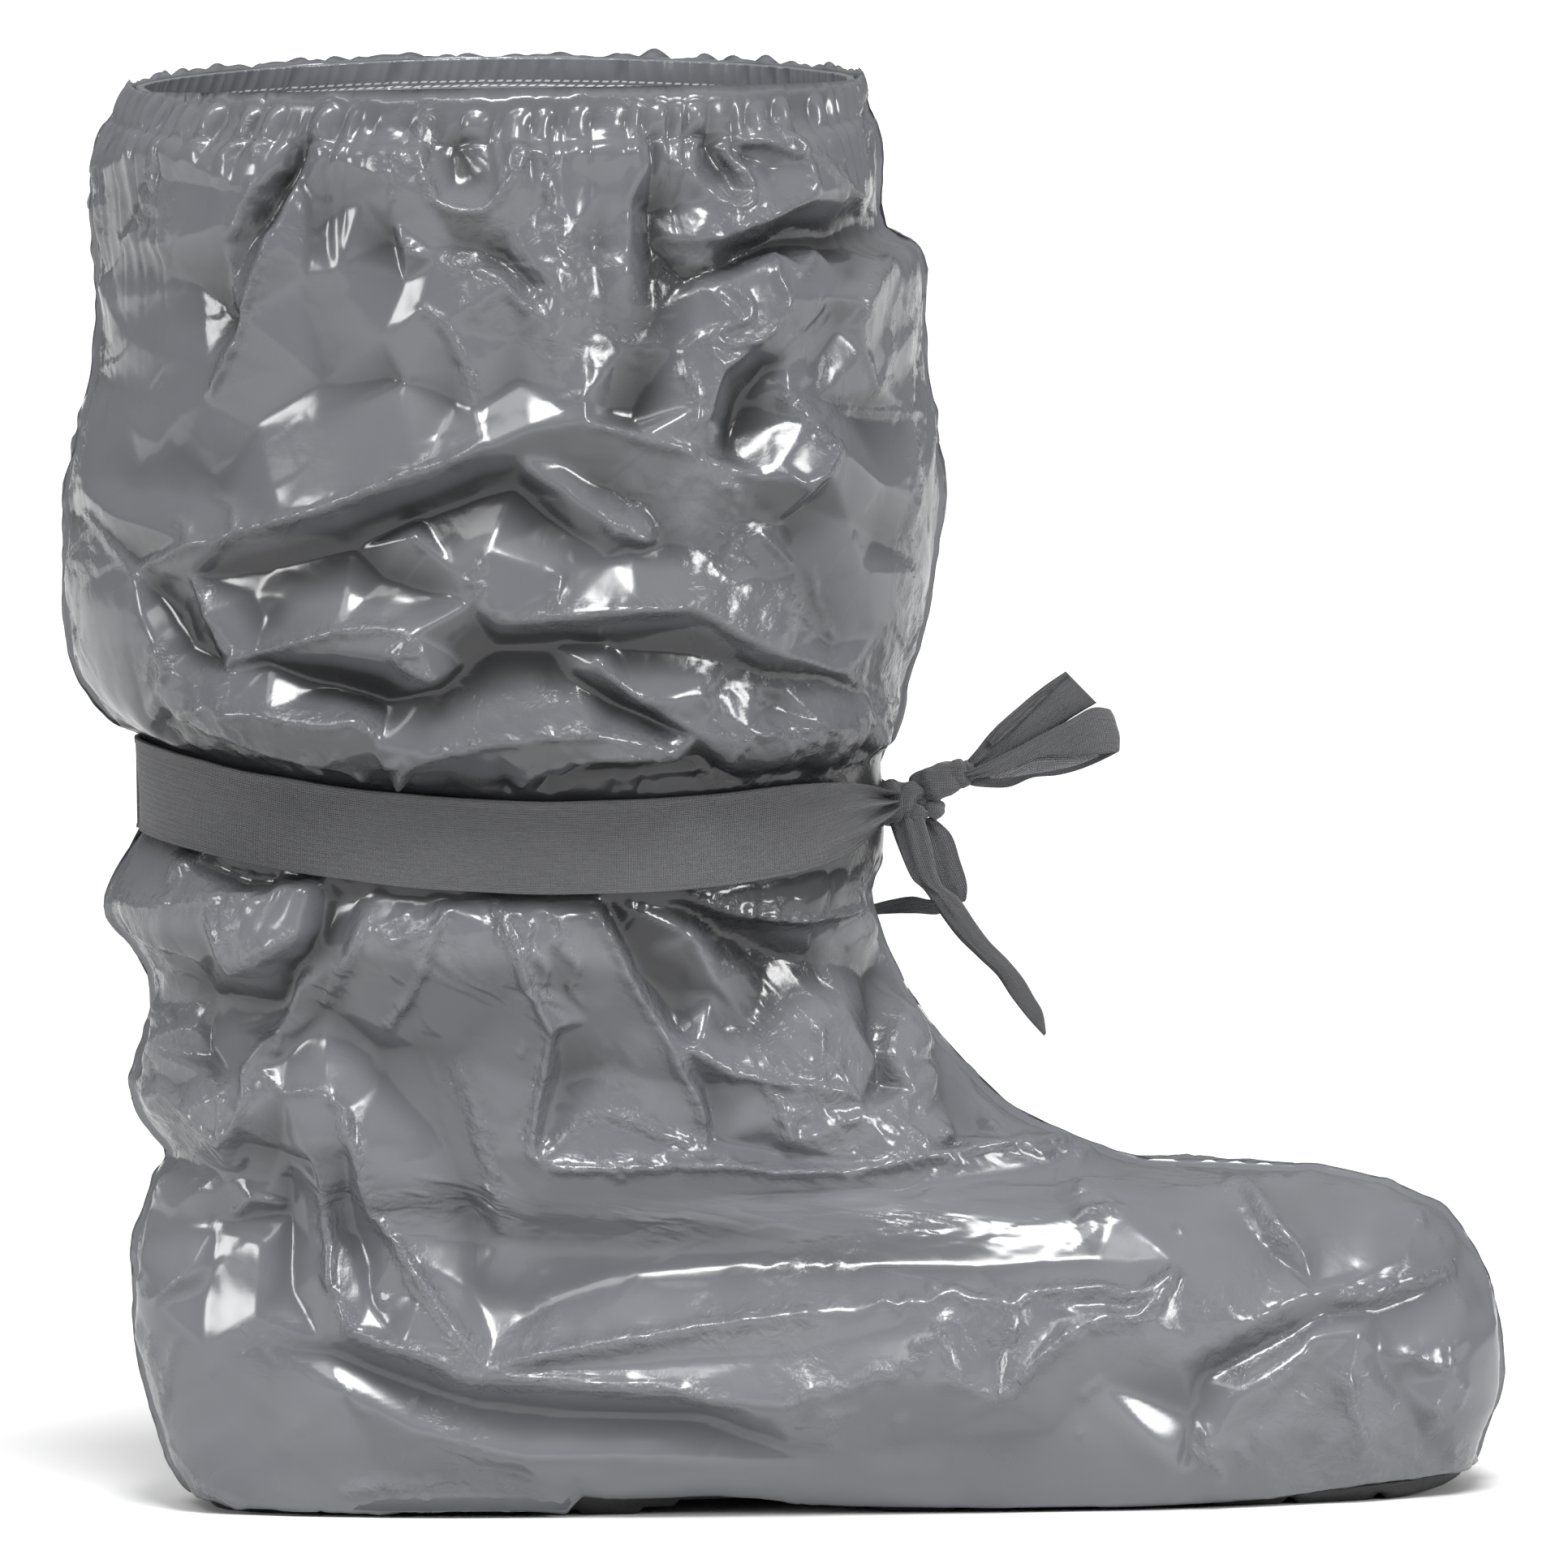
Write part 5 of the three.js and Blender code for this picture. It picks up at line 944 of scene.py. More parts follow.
    (1.4, 1.5, 2.9, [(242, 55), (255, 56.5), (264, 59), (277, 61.5)]),
    (-.9, 1.5, 3, [(235, 45), (239, 36.5), (243.5, 27.5), (241.5, 19), (236, 12.5)]),
    (-1, 1.5, 2.5, [(250, 45.5), (254.5, 37.5), (259.5, 32), (264.5, 24), (268.5, 17)]),
    (.9, 1.3, 2, [(245.5, 36), (246.5, 25), (250, 18.5), (248.5, 11.5)]),
    (1.1, 1.2, 1.3, [(260.5, 38.5), (263, 39.5), (266.5, 36.5), (269.5, 35.5)]),
    (1.2, 1.2, 1.3, [(271, 42), (272, 37.5), (271, 35), (273.5, 36.5)]),
    (1, 1.2, 1.3, [(276, 30.5), (274.5, 27.5), (273.5, 24.5)]),
    (1.1, 1.2, 1.3, [(268, 27), (268, 21.5)]),
    (.9, 1.2, 1.4, [(274, 59), (276, 61), (276, 55), (278, 48.5)]),
    (.9, 1.2, 1.3, [(264.5, 73.5), (266, 74), (266.5, 70.5)]),
    (.9, 1.2, 1.3, [(270, 66), (271, 68)]),
    (.8, 1.2, 1.3, [(261.5, 64), (263.5, 68)]),
    (1.1, 1.2, 1.4, [(208, 22.5), (208.5, 18), (207.5, 15), (211, 12), (212, 8.5)]),
    (.9, 1.2, 1.4, [(203.5, 14.5), (207, 17.5)]),
    (.9, 1.2, 1.4, [(219.5, 23), (221.5, 18.5)]),
    (.9, 1.2, 1.4, [(215.5, 18.5), (217.5, 15), (220, 12)]),
    (.9, 1.2, 1.3, [(273.5, 14.5), (275, 10)]),
    (1.1, 1.2, 1.5, [(174, 75), (177, 76.5), (180, 76.5), (183.5, 77.5), (183.5, 80)]),
    (.9, 1.2, 1.4, [(174.5, 81), (178, 82)]),
    (.9, 1.2, 1.4, [(170.5, 86), (172, 84.5)]),
    (.9, 1.2, 1.4, [(200.5, 73.5), (203, 71)]),
    (.8, 1.2, 1.4, [(174.5, 31.5), (179.5, 35.5), (181, 34.5)]),
    (.8, 1.2, 1.4, [(173.5, 22.5), (175.5, 22)]),
    (.9, 1.2, 1.4, [(141, 91.5), (142.5, 88.5)]),
    (-.8, 1.5, 2.5, [(279, 55.5), (284.5, 58.5)]),
    (1, 1.2, 1.6, [(-65, 20), (-61, 15), (-55.5, 8.5), (-51.5, 5)]),
    (1.3, 1.5, 2.9, [(-20.5, 7.5), (-7, 9), (10.5, 11), (19, 11), (29.5, 9), (36, 6.5)]),
    (.9, 1.2, 1.6, [(-59, 5.5), (-56, 8), (-48.5, 4), (-44, 1.5)]),
    (1.3, 1.4, 1.8, [(-68, 48.5), (-70, 39.5), (-66, 29), (-65, 22)]),
    (.8, 1.2, 1.6, [(-61.5, 49), (-65, 38), (-65.5, 27)]),
    (1.5, 1.4, 1.8, [(23, 165.5), (26, 157.5), (30, 149.5), (33.5, 141.5), (36, 134.5), (34.5, 119.5),
     (31.5, 101)]),
    (1.1, 1.2, 1.4, [(27, 164), (31, 159.5), (29.5, 155), (35.5, 151), (33.5, 145), (39, 141)]),
    (1.1, 1.2, 1.4, [(34.5, 165), (39.5, 160), (37.5, 155), (43, 151), (41, 144.5), (45, 140)]),
]


# Materials.
def node_kit(name):
    material = bpy.data.materials.new(name)
    material.use_nodes = True
    net = material.node_tree
    net.nodes.clear()
    out = add(net, "OutputMaterial")
    shader = add(net, "BsdfPrincipled")
    net.links.new(shader.outputs["BSDF"], out.inputs["Surface"])
    return material, net, shader


def add(net, kind, values=None, **settings):
    node = net.nodes.new("ShaderNode" + kind)
    for key, value in settings.items():
        setattr(node, key, value)
    for key, value in (values or {}).items():
        node.inputs[key].default_value = value
    return node


def math_node(net, operation, a, b=None):
    node = add(net, "Math", operation=operation)
    for k, value in enumerate((a, b)):
        if value is None:
            continue
        if isinstance(value, (int, float)):
            node.inputs[k].default_value = value
        else:
            net.links.new(value, node.inputs[k])
    return node.outputs[0]


def ramp(net, value, stops):
    node = add(net, "ValToRGB")
    while len(node.color_ramp.elements) < len(stops):
        node.color_ramp.elements.new(.5)
    for element, (place, color) in zip(node.color_ramp.elements, stops):
        element.position = place
        element.color = (*color, 1)
    net.links.new(value, node.inputs["Fac"])
    return node.outputs["Color"]


def grey(level, tint=0.0):
    return (level * (1 - .35 * tint), level, level * (1 + 1.5 * tint))


def film_material(name, level, stitched=False):
    """Thin grey film: soft colour change, painted shade, crackled creases, uneven gloss."""
    material, net, shader = node_kit(name)
    place = add(net, "TexCoord").outputs["Object"]
    cloud = add(net, "TexNoise", {"Scale": 14, "Detail": 4, "Roughness": .55})
    net.links.new(place, cloud.inputs["Vector"])
    color = ramp(net, cloud.outputs["Fac"], [(.3, grey(level * .88, .07)), (.7, grey(level * 1.1, .05))])
    if stitched:
        color = mixed_in_stitches(net, color)
    # Painted shade: the panels' shade attribute darkens the colour to as little as a fifth.
    painted_shade = add(net, "Attribute", attribute_name="painted_shade")
    shade = ramp(net, painted_shade.outputs["Fac"], [(0, grey(1)), (.5, grey(.62)), (1, grey(.2))])
    color = mixed_color(net, 1.0, color, shade, "MULTIPLY")
    # Colour darker from about 0.15 m up, over the shaft, than on the foot.
    height = add(net, "SeparateXYZ")
    net.links.new(place, height.inputs[0])
    fade = ramp(net, height.outputs["Z"],
                [(.06, grey(1)), (.15, grey(1)), (.2, grey(.8)), (.37, grey(.88))])
    color = mixed_color(net, 1.0, color, fade, "MULTIPLY")
    net.links.new(color, shader.inputs["Base Color"])
    bend = add(net, "TexNoise", {"Scale": 90, "Detail": 2})
    net.links.new(place, bend.inputs["Vector"])
    mixed = add(net, "Mix", {"Factor": .01}, data_type="VECTOR")
    net.links.new(place, mixed.inputs[4])
    net.links.new(bend.outputs["Color"], mixed.inputs[5])
    patch = add(net, "TexNoise", {"Scale": 30, "Detail": 2})
    net.links.new(place, patch.inputs["Vector"])
    height = None
    for scale, turn, strong in ((150, .6, .55), (330, 1.3, .3), (760, 2.1, .13)):
        turned = add(net, "Mapping", {"Rotation": (turn, 1.7 * turn, .8)})
        net.links.new(mixed.outputs[1], turned.inputs["Vector"])
        cells = add(net, "TexVoronoi", {"Scale": scale}, distance="CHEBYCHEV")
        net.links.new(turned.outputs["Vector"], cells.inputs["Vector"])
        part = math_node(net, "MULTIPLY", cells.outputs["Distance"], strong)
        height = part if height is None else math_node(net, "ADD", height, part)
    worn = add(net, "Attribute", attribute_name="crackle")
    near_fold = math_node(net, "MULTIPLY", worn.outputs["Fac"], 1.6)
    near_fold = math_node(net, "ADD", near_fold, .08)
    height = math_node(net, "MULTIPLY", height, near_fold)
    bump = add(net, "Bump", {"Strength": 1, "Distance": .001})
    net.links.new(height, bump.inputs["Height"])
    net.links.new(bump.outputs["Normal"], shader.inputs["Normal"])
    rough = ramp(net, patch.outputs["Fac"], [(.3, (.3, .3, .3)), (.7, (.2, .2, .2))])
    net.links.new(rough, shader.inputs["Roughness"])
    shader.inputs["Specular IOR Level"].default_value = .2
    facing = add(net, "LayerWeight", {"Blend": .5})
    coat = ramp(net, facing.outputs["Facing"], [(.35, (.6, .6, .6)), (.8, (.1, .1, .1))])
    net.links.new(coat, shader.inputs["Coat Weight"])
    shader.inputs["Coat Roughness"].default_value = .15
    return material


def mixed_color(net, factor, a, b, how="MIX"):
    mixed = add(net, "Mix", data_type="RGBA", blend_type=how)
    if isinstance(factor, float):
        mixed.inputs[0].default_value = factor
    else:
        net.links.new(factor, mixed.inputs[0])
    net.links.new(a, mixed.inputs[6])
    if isinstance(b, tuple):
        mixed.inputs[7].default_value = (*b, 1)
    else:
        net.links.new(b, mixed.inputs[7])
    return mixed.outputs[2]


def mixed_in_stitches(net, color):
    """Two rows of pale dashes along the lower edge of the hem."""
    uv = add(net, "UVMap", uv_map="UVMap")
    split = add(net, "SeparateXYZ")
    net.links.new(uv.outputs["UV"], split.inputs[0])
    dash = math_node(net, "FRACT", math_node(net, "MULTIPLY", split.outputs["X"], 360))
    dash = math_node(net, "LESS_THAN", dash, .62)
    both = None
    for row in (.0062, .0074):
        line = math_node(net, "SUBTRACT", split.outputs["Y"], row)
        line = math_node(net, "ABSOLUTE", line)
        line = math_node(net, "LESS_THAN", line, .00024)
        both = line if both is None else math_node(net, "ADD", both, line)
    return mixed_color(net, math_node(net, "MULTIPLY", both, dash), color, (.7, .7, .72))


# How finely the twill and the ribs of the ribbon run, in turns of a sine a metre, times two pi.
TWILL = 7600
RIBS = 11000


def ribbon_material(name, wide=0.0, dark=.05, pale=.14):
    """Woven ribbon: a fine diamond twill with lengthwise lines, streaks, and a paler selvedge where wide is
    its full width."""
    material, net, shader = node_kit(name)
    uv = add(net, "UVMap", uv_map="UVMap")
    split = add(net, "SeparateXYZ")
    net.links.new(uv.outputs["UV"], split.inputs[0])
    x = split.outputs["X"]
    y = split.outputs["Y"]
    high = None
    for a, b in ((1, 1), (1, -1)):
        slant = [math_node(net, "MULTIPLY", at, way * TWILL) for at, way in ((x, a), (y, b))]
        wave = math_node(net, "SINE", math_node(net, "ADD", *slant))
        high = wave if high is None else math_node(net, "MULTIPLY", high, wave)
    lines = math_node(net, "SINE", math_node(net, "MULTIPLY", x, RIBS))
    height = math_node(net, "ADD", high, math_node(net, "MULTIPLY", lines, .4))
    bump = add(net, "Bump", {"Strength": 1, "Distance": .0005})
    net.links.new(height, bump.inputs["Height"])
    net.links.new(bump.outputs["Normal"], shader.inputs["Normal"])
    stretch = add(net, "Mapping", {"Scale": (2600, 160, 1)})
    net.links.new(uv.outputs["UV"], stretch.inputs["Vector"])
    streak = add(net, "TexNoise", {"Scale": 1, "Detail": 3})
    net.links.new(stretch.outputs["Vector"], streak.inputs["Vector"])
    tone = math_node(net, "MULTIPLY", math_node(net, "ADD", height, 1.4), .24)
    streaks = math_node(net, "MULTIPLY", streak.outputs["Fac"], .9)
    tone = math_node(net, "ADD", tone, streaks)
    if wide:
        edge = math_node(net, "ABSOLUTE", math_node(net, "SUBTRACT", x, wide / 2))
        edge = math_node(net, "GREATER_THAN", edge, wide / 2 - .0007)
        tone = math_node(net, "ADD", tone, math_node(net, "MULTIPLY", edge, .35))
    color = ramp(net, tone, [(.25, grey(dark, .05)), (1, grey(pale, .04))])
    net.links.new(color, shader.inputs["Base Color"])
    shader.inputs["Roughness"].default_value = .55
    shader.inputs["Sheen Weight"].default_value = .2
    shader.inputs["Sheen Roughness"].default_value = .4
    return material


def sole_material():
    material, net, shader = node_kit("sole_rubber")
    place = add(net, "TexCoord").outputs["Object"]
    grain = add(net, "TexNoise", {"Scale": 900, "Detail": 3, "Roughness": .6})
    net.links.new(place, grain.inputs["Vector"])
    color = ramp(net, grain.outputs["Fac"], [(.3, grey(.004)), (.75, grey(.014))])
    net.links.new(color, shader.inputs["Base Color"])
    bump = add(net, "Bump", {"Strength": .4, "Distance": .0004})
    net.links.new(grain.outputs["Fac"], bump.inputs["Height"])
    net.links.new(bump.outputs["Normal"], shader.inputs["Normal"])
    shader.inputs["Roughness"].default_value = .6
    return material


def floor_material():
    material, net, shader = node_kit("pale_floor")
    shader.inputs["Base Color"].default_value = (.92, .92, .92, 1)
    shader.inputs["Roughness"].default_value = .9
    shader.inputs["Specular IOR Level"].default_value = .1
    return material


FILM = film_material("film", .13)
HEM = film_material("hem_film", .2, True)
RIBBON = ribbon_material("ribbon_weave")
TIE_RIBBON = ribbon_material("tie_weave", TIE_WIDE * MM)
# A paler copy of the ribbon with light and sheen painted in, for strips that stand in shade.
PAINTED_LIGHT_RIBBON = ribbon_material("ribbon_painted_light", 0.0, .16, .42)
SOLE = sole_material()


# Mesh builders.
def new_piece(name, bm, material):
    """Puts a finished bmesh in the scene as a piece that rides on the shoe."""
    mesh = bpy.data.meshes.new(name)
    bm.to_mesh(mesh)
    bm.free()
    mesh.polygons.foreach_set("use_smooth", [True] * len(mesh.polygons))
    mesh.materials.append(material)
    piece = bpy.data.objects.new(name, mesh)
    bpy.context.collection.objects.link(piece)
    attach(piece, "root")
    return piece


def lay_grid(bm, points, across=None, up=None, marks=None):
    """A grid of the operator with its vertices moved to points (R, C, 3) in millimetres."""
    rows, columns = points.shape[:2]
    layer = bm.loops.layers.uv.get("UVMap") or bm.loops.layers.uv.new("UVMap")
    if marks:
        layers = [bm.verts.layers.float.new(key) for key in marks]
    made = bmesh.ops.create_grid(bm, x_segments=columns - 1, y_segments=rows - 1, size=.5)
    verts = list(made["verts"])
    flat = points.reshape(-1, 3) * MM
    place = {}
    for k, (vert, co) in enumerate(zip(verts, flat.tolist())):
        vert.co = co
        place[vert] = k
    if marks:
        for mark, values in zip(layers, marks.values()):
            for vert, value in zip(verts, np.ravel(values).tolist()):
                vert[mark] = value
    if across is not None:
        us = np.ravel(across).tolist()
        vs = np.ravel(up).tolist()
        for face in {face for vert in verts for face in vert.link_faces}:
            for loop in face.loops:
                k = place[loop.vert]
                loop[layer].uv = (us[k], vs[k])
    return [verts[r * columns:(r + 1) * columns] for r in range(rows)]


def chain(bm, verts):
    return [bm.edges.get((a, b)) for a, b in zip(verts, verts[1:])]


def sides_of(rows):
    return [rows[0], rows[-1], [row[0] for row in rows], [row[-1] for row in rows]]


def close_sides(bm, outer, inner):
    """Bridges the four sides of two grids that lie over each other, so that they close one thin body."""
    for a, b in zip(sides_of(outer), sides_of(inner)):
        bmesh.ops.bridge_loops(bm, edges=chain(bm, a) + chain(bm, b))


def flip(bm, rows):
    faces = {face for row in rows for vert in row for face in vert.link_faces}
    bmesh.ops.reverse_faces(bm, faces=list(faces))


def thin_body(outer, inner, across, up, marks):
    """A closed thin body between an outer grid and a coarser inner one."""
    bm = bmesh.new()
    top = lay_grid(bm, outer, across, up, marks)
    step_r = (outer.shape[0] - 1) // (inner.shape[0] - 1)
    step_c = (outer.shape[1] - 1) // (inner.shape[1] - 1)
    under = lay_grid(bm, inner, across[::step_r, ::step_c], up[::step_r, ::step_c])
    flip(bm, under)
    close_sides(bm, top, under)
    return bm


def arc_lengths(grid):
    """Running length across and up a grid of points, in millimetres."""
    across = np.linalg.norm(np.diff(grid, axis=1), axis=2)
    up = np.linalg.norm(np.diff(grid, axis=0), axis=2)
    u = np.concatenate([np.zeros((len(grid), 1)), np.cumsum(across, axis=1)], axis=1)
    v = np.concatenate([np.zeros((1, grid.shape[1])), np.cumsum(up, axis=0)])
    return u, v


# The film: four panels, near and far, over the foot and up the shaft, that meet at the seams.
def panel_keys(name, start, stop, columns):
    if name == "foot":
        keys = [even_loop(lambda a: lifted(outline(a, MARGIN_WIDE)), start, stop, columns),
                even_loop(lambda a: lifted(outline(a, 0)), start, stop, columns),
                even_loop(hanging, start, stop, columns)]
        rows = foot_rows() + [tie_row(-TIE_WIDE / 2), tie_row(TIE_WIDE / 6 + GAP)]
    else:
        keys = []
        rows = [tie_row(TIE_WIDE / 6), tie_row(TIE_WIDE / 2)] + shaft_rows()
        rows += [collar_row(below) for below in (CASING_HIGH, CASING_HIGH / 2, 0)]
    keys += [even_loop(lambda a, row=row: level_points(row, a), start, stop, columns) for row in rows]
    return np.array(keys)


# How low the film hangs over the sole's edge, along the shoe: x and z.
HANG = [(-76, 6), (-49, 2.9), (-32, 2), (-9, .7), (40, .7), (44, 5.4), (80, 5.2), (108, 2), (150, 1.4),
        (194, 1.5), (226, 2.2), (252, 5), (280, 6), (296, 8.6)]


def hanging(angles):
    """The film where it hangs over the edge of the sole."""
    points = outline(angles, -1.5)
    low = np.interp(points[:, 0], [x for x, z in HANG], [z for x, z in HANG])
    points[:, 2] = np.minimum(points[:, 2] - 1.2, low)
    return points


def lifted(points):
    points[..., 2] += GAP
    return points


# Where the height maps lie: x and z from, x and z to. Their still points are a step apart.
SHAFT_BOX = (-120, 180, 170, 385)
FOOT_BOX = (-100, -10, 310, 200)
ANCHOR_STEP = 6


def anchor_line(x0, z0, x1, z1):
    count = max(int(math.hypot(x1 - x0, z1 - z0) / ANCHOR_STEP), 1)
    return [(lerp(x0, x1, k / count), lerp(z0, z1, k / count)) for k in range(count + 1)]


def anchors_along(rows):
    """Still points down the front and back of the film, a little outside it."""
    points = []
    for a, b in zip(rows, rows[1:]):
        points += anchor_line(a[0] - 5, a[1], b[0] - 5, b[1])
        points += anchor_line(a[2] + 5, a[3], b[2] + 5, b[3])
    return points


# How tall the creases and the strokes stand, and how much of their depth the valleys keep.
NET_GAIN = 1.7
STROKE_GAIN = .95
NET_VALLEY = .62
STROKE_VALLEY = .35


def tie_anchors(row, sag):
    """Still points along the edge of the tie, which sags between the back and the front."""
    back_x, back_z, front_x, front_z = row[:4]
    middle_z = back_z - sag
    return (anchor_line(back_x, back_z, SHAFT_MID, middle_z)
            + anchor_line(SHAFT_MID, middle_z, front_x, front_z))


def film_maps(creases, strokes, anchors, box):
    """Heights of the folds over x and z, and beside them how crackled the film is."""
    net = crease_map(creases, anchors, box)
    net = np.where(net < 0, NET_VALLEY * net, net)
    values = NET_GAIN * (.4 * spread(net, 4.5) + .6 * spread(net, 1.1))
    sharp = stroke_map(strokes, box, values.shape)
    sharp = np.where(sharp < 0, STROKE_VALLEY * sharp, sharp)
    worn = spread(np.clip(sharp, 0, 1.6), 3.4) * 1.6 + .5 * spread(np.clip(np.abs(sharp), 0, 1), 1.4)
    return values + spread(STROKE_GAIN * sharp, .7), np.clip(worn, 0, 1)


def shaft_map():
    top = tie_row(TIE_WIDE / 2)
    rows = [top] + shaft_rows() + [collar_row(0)]
    anchors = anchors_along(rows) + anchor_line(-75, 381, 130, 381) + tie_anchors(top, 6)
    return film_maps(SHAFT_CREASES, SHAFT_STROKES, anchors, SHAFT_BOX)


def foot_map():
    low = tie_row(-TIE_WIDE / 2)
    rows = foot_rows() + [low]
    anchors = anchors_along(rows) + anchor_line(-75, 0, 300, 0) + tie_anchors(low, 9)
    return film_maps(FOOT_CREASES, FOOT_STROKES, anchors, FOOT_BOX)


FILM_MAPS = {"foot": foot_map(), "shaft": shaft_map()}
FILM_BOXES = {"foot": FOOT_BOX, "shaft": SHAFT_BOX}


def film_relief(name, near, base, normal, u, v):
    """How far every point of a panel stands out from its smooth base."""
    x = base[..., 0]
    z = base[..., 2]
    long = u[:, -1:]
    to_seam = np.minimum(u, long - u)
    flat_on = smooth(np.abs(normal[..., 1]), .08, .4)
    seed = {"foot": 11, "shaft": 23}[name] + (0 if near else 40)
    folds, cracks = FILM_MAPS[name]
    own = read_map(folds, FILM_BOXES[name], x, z) * flat_on
    worn = read_map(cracks, FILM_BOXES[name], x, z) * flat_on
    if not near:
        own = .55 * own + 3 * facets(u, v, 26, .5, seed, 1.6)
    patch = smooth(waves(u, v, 24, seed + 12), .05, .6)
    turned = (1 - flat_on) * smooth(waves(u, v, 11, seed + 14), -.2, .5)
    worn = np.clip(worn + .5 * patch + .6 * turned, 0, 1)
    own = own + (.3 + 1.5 * (1 - flat_on)) * facets(u, v, 13, .7, seed + 3, 1.5)
    own = own + (.05 + .5 * worn + .35 * (1 - flat_on)) * facets(u, v, 5.5, -.5, seed + 6, 1.5)
    own = own + (.02 + .42 * worn) * facets(u, v, 2.8, .3, seed + 9, 1.4)
    shared = .8 * waves(v, 0 * v, 9, 5) + .4 * waves(v, 0 * v, 3.7, 6)
    part = smooth(to_seam, 1.5, 12)
    relief = own * part + shared * (1 - part)
    fin = np.exp(-(to_seam / 1.1) ** 2)
    relief += SEAM_RISE * fin - .5 * np.exp(-((to_seam - 2.6) / 1.2) ** 2)
    return relief, worn


def pleats(u, below, seed, spacing, reach):
    """Gathers that run out from a drawn-in line: uneven puffs, sharp valleys, each fading at its own length."""
    draw = np.random.default_rng(seed)
    starts = np.cumsum(draw.uniform(.45, 1.75, 900) * spacing)
    tall = draw.uniform(.25, 1.3, 900)
    far = reach * draw.uniform(.25, 1.9, 900) ** 1.3
    skew = draw.uniform(.7, 1.5, 900)
    drift = (u + below * .22 * waves(u, 0 * u, 5 * spacing, seed + 1)
             + .12 * spacing * waves(u, below, 6, seed + 2))
    k = np.clip(np.searchsorted(starts, drift + starts[4]) - 1, 0, 898)
    part = (drift + starts[4] - starts[k]) / (starts[k + 1] - starts[k])
    width = (starts[k + 1] - starts[k]) / spacing
    puff = np.sin(math.pi * np.clip(part, 0, 1) ** skew[k]) ** .8 * width * tall[k] - .35
    fade = lerp(np.exp(-(below / far[k]) ** 1.3), np.exp(-(below / far[k + 1]) ** 1.3), part)
    return puff * fade


# Cells of the panels across and up, and how many of them one cell of the inner skin covers each way.
NEAR_CELLS = {"foot": (432, 216), "shaft": (396, 234)}
FAR_CELLS = (240, 144)
INNER_STEP = 6
RIM_DROP = 3.6


def rim_drop(points):
    """How much lower the near half of the rim stands than the far half, in millimetres."""
    return RIM_DROP * smooth(-points[..., 1], 4, 60)


def tie_middle(x):
    """Height of the tie's middle line along the shoe."""
    back = tie_row(0)[0]
    front = tie_row(0)[2]
    share = np.clip((x - back) / (front - back), 0, 1)
    return lerp(TIE_BACK, TIE_FRONT, share) - TIE_SAG * 4 * share * (1 - share)


def collar_gathers(rim, below):
    return pleats(rim, below, 3, 5.6, 14)


def gather_collar(relief, rim, below):
    """The relief with the gathers under the collar and the puffed hem over its elastic."""
    relief = relief * smooth(below, 2, 14)
    out = collar_gathers(rim, np.clip(below - CASING_HIGH, 0, None))
    relief += 1.9 * out * smooth(below, CASING_HIGH - 1, CASING_HIGH + 1.5)
    puff = np.sin(math.pi * np.clip(below / CASING_HIGH, 0, 1)) ** .6
    relief += (.2 + 1.9 * collar_gathers(rim, 0 * rim)) * puff * (below < CASING_HIGH)
    return relief - .3 * np.exp(-((below - CASING_HIGH) / .7) ** 2)


def paint_film_shade(relief, outer, base, away):
    """Painted shade on the film, 0 to 1: in deep folds, on faces that look down, faint near the floor, and a
    painted shadow by the tie.
    """
    x = base[..., 0]
    z = base[..., 2]
    # Painted shade in the creases, fine and broad, where the relief lies below its blurred surroundings.
    painted_shade = .55 * spread(np.clip((spread(relief, 16) - relief - .3) / 3.4, 0, 1), 1.5)
    painted_shade += .5 * np.clip((spread(relief, 30) - relief - .3) / 5, 0, 1)
    # Painted shade on faces that look down, as if lit from above.
    painted_shade += .5 * smooth(-normals_of(outer)[..., 2], .04, .6)
    # Painted shade kept faint near the floor and strongest from the ankle up.
    painted_shade = painted_shade * (.1 + .35 * smooth(z, 4, 34) + .55 * smooth(z, 95, 165))
    # Painted shadow in the strip next to the tie, reaching farthest between x 35 and 128 mm.
    tie_shadow_reach = 4 + 7 * smooth(x, 35, 60) * (1 - smooth(x, 112, 128))
    painted_shade += np.exp(-(away / tie_shadow_reach) ** 2)
    return np.clip(painted_shade, 0, 1)


def inner_skin(outer, base, normal, relief, u):
    """A coarser grid that stays behind the folds of the outer one and meets it at the panel's sides."""
    step = INNER_STEP
    still = spread(relief, 5)[::step, ::step]
    deep = relief[::step, ::step]
    for dr in (-step // 2, 0, step // 2):
        for dc in (-step // 2, 0, step // 2):
            deep = np.minimum(deep, np.roll(relief, (dr, dc), (0, 1))[::step, ::step])
    wall = np.minimum(still, deep) - .9
    edge = np.minimum(np.minimum(u, u[:, -1:] - u), 8)[::step, ::step] / 8
    inner = (outer[::step, ::step] * (1 - edge[..., None])
             + (base[::step, ::step] + normal[::step, ::step] * wall[..., None]) * edge[..., None])
    return inner - normal[::step, ::step] * .25


